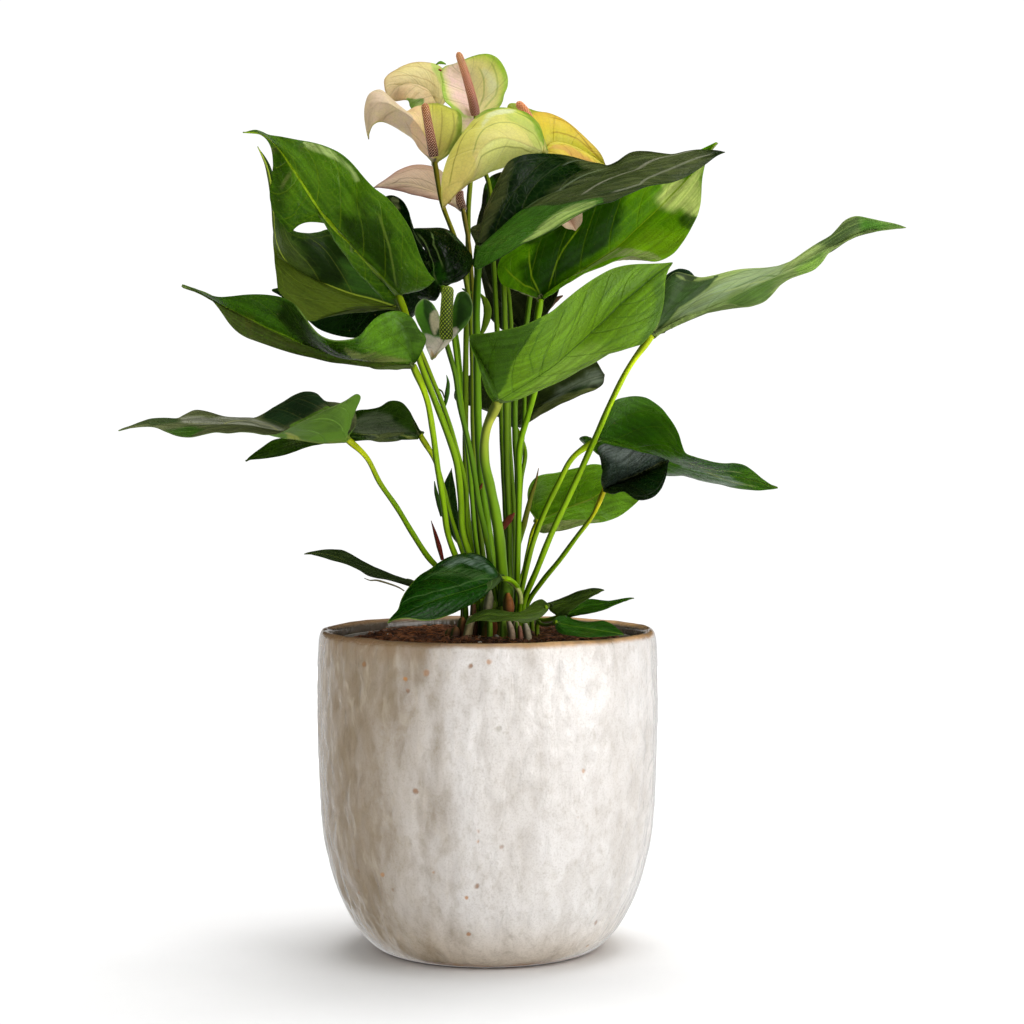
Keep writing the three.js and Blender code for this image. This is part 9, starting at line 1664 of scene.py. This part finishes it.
# ---------------------------------------------------------------------------
# flowers
# ---------------------------------------------------------------------------
SPATHE = {
    "flower_1": dict(slot="spathe_gold", a=((232, 206, 146), (232, 212, 142), (216, 194, 118)), b=((234, 200, 152), (230, 190, 144), (214, 164, 122)),
                     back=(206, 196, 120), edge=(186, 150, 104), tips=[("both", 0.6, 0.95, (224, 190, 150), 0.7)], veins=5,
                     marks=dict(rim=dict(col=(150, 190, 56), amt=0.8, soft=1.0), lowgreen=dict(col=(66, 124, 18), amt=0.92, soft=0.6), v1=dict(col=(176, 140, 84), amt=0.6, w=0.7),
                                v2=dict(col=(176, 140, 84), amt=0.6, w=0.7), v3=dict(col=(176, 140, 84), amt=0.6, w=0.7)),
                     geo=dict(camber=1.6, wave=0.8), stalk=((150, 160, 40), (110, 146, 20), (96, 130, 20))),
    "flower_2": dict(slot="spathe_pink", a=((240, 222, 164), (240, 226, 136), (192, 214, 70)), b=((244, 206, 200), (244, 204, 196), (208, 214, 106)),
                     back=(196, 206, 96), edge=(140, 186, 34), veins=5,
                     marks=dict(pink=dict(col=(250, 204, 206), amt=0.88, soft=2.5), rim=dict(col=(140, 190, 46), amt=0.85, soft=1.0), rim2=dict(col=(146, 196, 44), amt=0.85, soft=1.4),
                                white=dict(col=(240, 244, 200), amt=0.7, soft=2.0), v1=dict(col=(140, 152, 66), amt=0.6, w=0.65), v2=dict(col=(140, 160, 60), amt=0.6, w=0.65)),
                     geo=dict(camber=1.0, wave=0.6, curl=1.6), stalk=((150, 160, 40), (116, 146, 20), (96, 134, 18))),
    "flower_3": dict(slot="spathe_gold", leftward=(-34.5, -27.5, (250, 202, 160), 0.88), a=((248, 228, 122), (246, 236, 116), (226, 226, 78)), b=((255, 206, 186), (255, 204, 182), (240, 192, 156)),
                     back=(208, 190, 150), edge=(160, 176, 60), veins=6, vein_dark=0.14,
                     marks=dict(green=dict(col=(240, 240, 100), amt=0.7, soft=3.0), redge=dict(col=(104, 148, 20), amt=0.85, soft=1.2), flap=dict(col=(216, 190, 168), amt=0.92, soft=0.7, wob=0.6, both=True),
                                v1=dict(col=(170, 158, 60), amt=0.6, w=0.6), v2=dict(col=(160, 156, 56), amt=0.6, w=0.6), v3=dict(col=(190, 140, 90), amt=0.55, w=0.6)),
                     geo=dict(camber=1.2, wave=0.6, curl=1.0), stalk=((170, 156, 40), (124, 146, 24), (100, 132, 20))),
    "flower_4": dict(slot="spathe_green", a=((224, 214, 120), (222, 218, 104), (190, 212, 66)), b=((238, 242, 136), (238, 242, 128), (222, 232, 112)),
                     back=(196, 190, 90), edge=(190, 196, 90), veins=6, vein_dark=0.1,
                     marks=dict(green2=dict(col=(160, 190, 72), amt=0.65, soft=3.0), white=dict(col=(240, 246, 206), amt=0.8, soft=1.4, streak=0.3), right=dict(col=(98, 150, 12), amt=0.88, soft=1.4),
                                flap=dict(col=(216, 206, 92), amt=0.6, soft=0.6, wob=0.5, both=True), ridge=dict(col=(90, 138, 12), amt=0.9, soft=1.0, both=True),
                                v1=dict(col=(124, 138, 38), amt=0.7, w=0.65), v2=dict(col=(134, 144, 46), amt=0.7, w=0.6), v3=dict(col=(84, 138, 14), amt=0.75, w=1.0),
                                v4=dict(col=(124, 112, 26), amt=0.75, w=0.65), v5=dict(col=(130, 124, 34), amt=0.6, w=0.6)),
                     tips=[("both", 0.58, 0.98, (236, 188, 130), 0.95)], geo=dict(camber=2.6, wave=0.8, quilt=0.5), stalk=((150, 170, 34), (116, 150, 20), (96, 134, 18))),
    "flower_5": dict(slot="spathe_gold", a=((226, 220, 60), (232, 200, 54), (218, 168, 48)), b=((230, 220, 76), (232, 202, 62), (220, 162, 60)),
                     back=(176, 160, 56), edge=(190, 168, 54), tips=[("both", 0.88, 1.0, (118, 146, 30), 0.75)], veins=6, vein_dark=0.1,
                     marks=dict(low=dict(col=(212, 140, 84), amt=0.7, soft=1.5), green=dict(col=(104, 150, 20), amt=0.88, soft=1.4), v1=dict(col=(146, 104, 14), amt=0.75, w=0.75),
                                v2=dict(col=(156, 114, 20), amt=0.75, w=0.7), v3=dict(col=(168, 124, 34), amt=0.6, w=0.6)),
                     geo=dict(camber=2.0, wave=0.8, quilt=0.55), stalk=((110, 144, 24), (104, 144, 20), (96, 130, 18))),
    "flower_6": dict(slot="spathe_pink", a=((224, 194, 166), (216, 180, 156), (180, 134, 120)), b=((224, 198, 158), (214, 176, 154), (178, 130, 118)),
                     back=(190, 164, 142), edge=(156, 112, 104), veins=6, vein_dark=0.12,
                     marks=dict(v1=dict(col=(142, 106, 88), amt=0.65, w=0.6), v2=dict(col=(146, 112, 92), amt=0.6, w=0.55), v3=dict(col=(142, 106, 88), amt=0.65, w=0.6), fold=dict(col=(208, 194, 150), amt=0.6, soft=1.5)),
                     geo=dict(camber=1.4, wave=0.7), stalk=((170, 150, 60), (132, 150, 34), (100, 134, 20))),
    "flower_7": dict(slot="spathe_pink", a=((236, 176, 150), (236, 196, 170), (230, 200, 170)), b=((236, 176, 150), (236, 196, 170), (226, 196, 160)),
                     back=(206, 176, 140), edge=(226, 200, 160), veins=3,
                     geo=dict(camber=0.8, wave=0.3, nt=60, nv=14), stalk=((120, 146, 30), (108, 144, 20), (96, 130, 18))),
    "flower_8": dict(slot="spathe_green", a=((50, 100, 20), (56, 116, 14), (70, 140, 18)), b=((40, 80, 20), (40, 84, 16), (60, 110, 30)),
                     back=(70, 130, 24), edge=(150, 170, 110), veins=4, vein_dark=0.12, fine_veins=0.1,
                     marks=dict(in1=dict(col=(14, 40, 8), amt=0.92, soft=0.8), in2=dict(col=(12, 34, 8), amt=0.92, soft=1.0), beige=dict(col=(206, 194, 160), amt=0.9, soft=0.8, both=True),
                                tip=dict(col=(226, 214, 200), amt=0.96, soft=0.8, both=True), spot=dict(col=(160, 116, 62), amt=0.8, soft=0.6, both=True)),
                     geo=dict(camber=1.2, wave=0.7, curl=1.2), stalk=((104, 146, 14), (96, 138, 14), (92, 124, 18))),
}

for i, (name, k) in enumerate(SPATHE.items()):
    k = dict(k)
    geo = k.pop("geo")
    slot_name = k.pop("slot")
    top, middle, low = k.pop("stalk")
    m = spathe_material(name, **k)
    one = name == "flower_7"
    geo = dict(dict(nt=84, nv=20, thick=0.7, groove=0.3, quilt=0.2, veins=k.get("veins", 5), bend=-0.6), **geo)
    blade(name, m, slot_name, name if one else name + "_spathe", seed=40 + i, **geo)
    stalk(name, top, middle, low, name if one else name + "_stalk", swell=0.15, joint=[0.85 * c for c in top], extra=0.8)


def spadix_material(name, tip, middle, base, dot=(236, 190, 160)):
    s = Nodes(name)
    a, u = s.uv("UVMap")
    k = s.attr("dot")
    n = s.noise(300.0, 3.0)
    col = s.mix(s.smooth(u, 0.02, 0.45), lin(base), lin(middle))
    col = s.mix(s.smooth(u, 0.45, 0.95), col, lin(tip))
    col = s.mix(s.math("MULTIPLY", s.smooth(k, 0.50, 0.92), 0.95), col, lin(dot))
    col = s.mix(s.smooth(k, 0.05, 0.50, 0.85, 0.0), col, lin([0.40 * c for c in base]))
    col = s.mix(s.math("MULTIPLY", s.smooth(n, 0.45, 0.7), 0.25), col, lin([0.6 * c for c in middle]))
    s.set(Base_Color=col, Roughness=s.math("ADD", 0.36, s.math("MULTIPLY", n, 0.16)), Normal=s.bump(n, 0.3, 0.0003))
    s.bsdf.inputs["Subsurface Weight"].default_value = 0.1
    s.bsdf.inputs["Subsurface Scale"].default_value = 0.4
    s.bsdf.inputs["Subsurface Radius"].default_value = (0.002, 0.001, 0.0006)
    return s.mat


SPADIX_LOOK = {
    "flower_2": ((186, 116, 56), (170, 84, 58), (110, 26, 26)),
    "flower_3": ((166, 96, 22), (128, 56, 34), (72, 14, 18)),
    "flower_5": ((218, 126, 66), (200, 108, 56), (150, 70, 50)),
    "flower_6": ((96, 24, 28), (80, 18, 24), (64, 12, 20)),
    "flower_8": ((66, 84, 4), (38, 56, 2), (20, 34, 0)),
}


def spadix(name):
    (r0, r1), path = SPADICES[name]
    c = dense(path, 30)
    length = c[2]
    big = name == "flower_8"
    rows = int(length / (0.42))
    sides = 48
    u = np.linspace(0, 1, rows + 1)
    p = at(c, u)
    tan = unit(np.gradient(p, axis=0))
    x = unit(np.cross(tan[0], [0.3, 1, 0.1]))
    V, UV, D = [], [], []
    pitch = 1.9 if big else 1.25
    around = 11 if big else 10
    for k in range(rows + 1):
        x = unit(x - tan[k] * np.dot(x, tan[k]))
        y = np.cross(tan[k], x)
        d = u[k] * length
        r = r0 + (r1 - r0) * u[k]
        r *= (1 - max(0.0, (u[k] - 0.90) / 0.10) ** 2.2 * 0.97) ** 0.5 if u[k] > 0.90 else 1.0
        r *= 0.84 + 0.16 * min(1, d / 2.5)
        a = np.linspace(0, 2 * np.pi, sides, endpoint=False)
        # berries in crossing spirals
        f1 = (a * around / (2 * np.pi) + d / pitch)
        f2 = (a * around / (2 * np.pi) - d / pitch)
        bump = np.abs(np.cos(np.pi * f1) * np.cos(np.pi * f2)) ** 0.6
        D += list(bump)
        rr = r * 0.93 + bump * (0.42 if big else 0.26) * min(1.0, r / 1.2)
        V.append(p[k] + rr[:, None] * (np.cos(a)[:, None] * x + np.sin(a)[:, None] * y))
        UV += [(q / (2 * np.pi), u[k]) for q in a]
    V = np.vstack(V)
    faces = grid_faces(rows, sides, wrap=True)
    n0 = len(V)
    V = np.vstack([V, p[:1], p[-1:] + tan[-1] * 0.1])
    UV += [(0.5, 0), (0.5, 1)]
    D += [0, 1]
    for j in range(sides):
        faces.append(((j + 1) % sides, j, n0))
        faces.append((rows * sides + j, rows * sides + (j + 1) % sides, n0 + 1))
    tip, middle, base = SPADIX_LOOK[name]
    ob = mesh_object("look_" + name + "_spadix", V, faces, {"UVMap": np.array(UV)},
                     spadix_material("spadix_" + name, tip, middle, base, (166, 190, 44) if big else (250, 206, 168)), attrs={"dot": D})
    fix_outward(ob)
    own(ob, name + "_spadix")


for name in SPADICES:
    spadix(name)

# ---------------------------------------------------------------------------
# studio: pale floor sweeping into a white backdrop, soft box at the right front, soft light overhead
# ---------------------------------------------------------------------------
def floor_material():
    s = Nodes("studio_floor")
    d = s.n("VectorMath", operation="LENGTH")
    s.link(s.obj(), d.inputs[0])
    far = s.smooth(d.outputs["Value"], 0.27, 1.1)
    grain = s.noise(40.0, 2.0)
    s.set(Base_Color=s.mix(grain, (0.885, 0.885, 0.885, 1), (0.905, 0.905, 0.905, 1)), Roughness=0.9)
    s.bsdf.inputs["Specular IOR Level"].default_value = 0.0
    s.put(s.bsdf.inputs["Emission Color"], (1, 1, 1, 1))
    s.put(s.bsdf.inputs["Emission Strength"], s.math("ADD", FLOOR_GLOW, s.math("MULTIPLY", far, 0.95)))
    return s.mat


def plain_mesh(name, verts, faces, material):
    me = bpy.data.meshes.new(name)
    me.from_pydata(verts, [], faces)
    ob = bpy.data.objects.new(name, me)
    me.materials.append(material)
    bpy.context.scene.collection.objects.link(ob)
    return ob


def white(name, strength):
    s = Nodes(name)
    em = s.n("Emission")
    em.inputs["Color"].default_value = (1, 1, 1, 1)
    em.inputs["Strength"].default_value = strength
    s.link(em.outputs[0], s.out.inputs[0])
    return s.mat


def only_camera(ob):
    ob.visible_diffuse = False
    ob.visible_glossy = False
    ob.visible_transmission = False
    ob.visible_volume_scatter = False
    ob.visible_shadow = False


FLOOR_GLOW = 0.0
nf = 64
disc = [(math.sin(2 * math.pi * k / nf) * 1.4, math.cos(2 * math.pi * k / nf) * 1.4, -0.0001) for k in range(nf)]
ground = plain_mesh("floor", disc, [tuple(range(nf - 1, -1, -1))], floor_material())
ground.visible_glossy = False
outer = [(math.sin(2 * math.pi * k / nf) * 7.9, math.cos(2 * math.pi * k / nf) * 7.9, -0.0001) for k in range(nf)]
only_camera(plain_mesh("floor_far", disc + outer, [(k, (k + 1) % nf, nf + (k + 1) % nf, nf + k) for k in range(nf)], white("far_white", 1.05)))

R0, NA, NB = 8.0, 48, 16
V, F = [], []
for b in range(NB + 1):
    e = -0.15 + (math.pi / 2 + 0.15) * b / NB
    for a in range(NA):
        w = 2 * math.pi * a / NA
        V.append((R0 * math.cos(e) * math.cos(w), R0 * math.cos(e) * math.sin(w), R0 * math.sin(e)))
for b in range(NB):
    for a in range(NA):
        F.append((b * NA + a, (b + 1) * NA + a, (b + 1) * NA + (a + 1) % NA, b * NA + (a + 1) % NA))
only_camera(plain_mesh("surround", V, F, white("surround_white", 1.05)))


def soft_box(name, centre, target, width, height, watts, colour=(1, 1, 1)):
    ld = bpy.data.lights.new(name, "AREA")
    ld.shape = "RECTANGLE"
    ld.size, ld.size_y = width, height
    ld.energy = watts
    ld.color = colour
    ob = bpy.data.objects.new(name, ld)
    ob.location = centre
    d = Vector(target) - Vector(centre)
    ob.rotation_euler = d.to_track_quat("-Z", "Y").to_euler()
    bpy.context.scene.collection.objects.link(ob)
    return ob


az = math.radians(60)
soft_box("key", (1.15 * math.sin(az), -1.15 * math.cos(az), 0.61), (0, 0, 0.30), 0.95, 1.15, 8.6, (1.0, 0.99, 0.985))
top = soft_box("top", (0.12, 0.25, 1.70), (0.02, 0, 0.2), 1.3, 1.1, 25.0)
top.visible_glossy = False
fill = soft_box("fill", (-1.3, -1.4, 0.9), (0, 0, 0.30), 1.2, 1.2, 9.0)
fill.visible_glossy = False
behind = soft_box("backdrop", (0.0, 2.2, 1.0), (0, 0, 0.45), 3.0, 1.7, 9.0)
behind.visible_glossy = False


def reflector(name, strength, a0, a1, r, z0, z1):
    """A bright card standing beside the pot that only shows in reflections."""
    n = 24
    V = []
    for k in range(n + 1):
        w = math.radians(a0 + (a1 - a0) * k / n)
        V += [(r * math.sin(w), -r * math.cos(w), z0), (r * math.sin(w), -r * math.cos(w), z1)]
    ob = plain_mesh(name, V, [(2 * k, 2 * k + 2, 2 * k + 3, 2 * k + 1) for k in range(n)], white(name, strength))
    ob.visible_camera = False
    ob.visible_diffuse = False
    ob.visible_transmission = False
    ob.visible_shadow = False
    return ob


back = reflector("card_back", 0.5, 80, 280, 2.2, -2.2, 0.40)
fade = Nodes("card_back_fade")
em = fade.n("Emission")
em.inputs["Color"].default_value = (1, 1, 1, 1)
sep = fade.n("SeparateXYZ")
fade.link(fade.obj(), sep.inputs[0])
fade.link(fade.smooth(sep.outputs[1], 0.35, 2.1, 0.0, 0.62), em.inputs["Strength"])
fade.link(em.outputs[0], fade.out.inputs[0])
back.data.materials[0] = fade.mat
reflector("card_window", 1.6, 32.5, 77, 0.35, 0.074, 0.136)
reflector("card_window_low", 1.8, 51, 76, 0.35, 0.002, 0.022)

# even white surround for diffuse light only, so that gloss shows the soft boxes and not a grey haze
world = bpy.data.worlds.new("studio")
world.use_nodes = True
bg = world.node_tree.nodes["Background"]
bg.inputs[0].default_value = (1, 1, 1, 1)
bg.inputs[1].default_value = 0.35
world.cycles_visibility.glossy = False
bpy.context.scene.world = world
bpy.context.scene.view_settings.view_transform = "Standard"
bpy.context.scene.view_settings.look = "None"
bpy.context.scene.view_settings.exposure = 0.0
bpy.context.scene.view_settings.gamma = 1.0
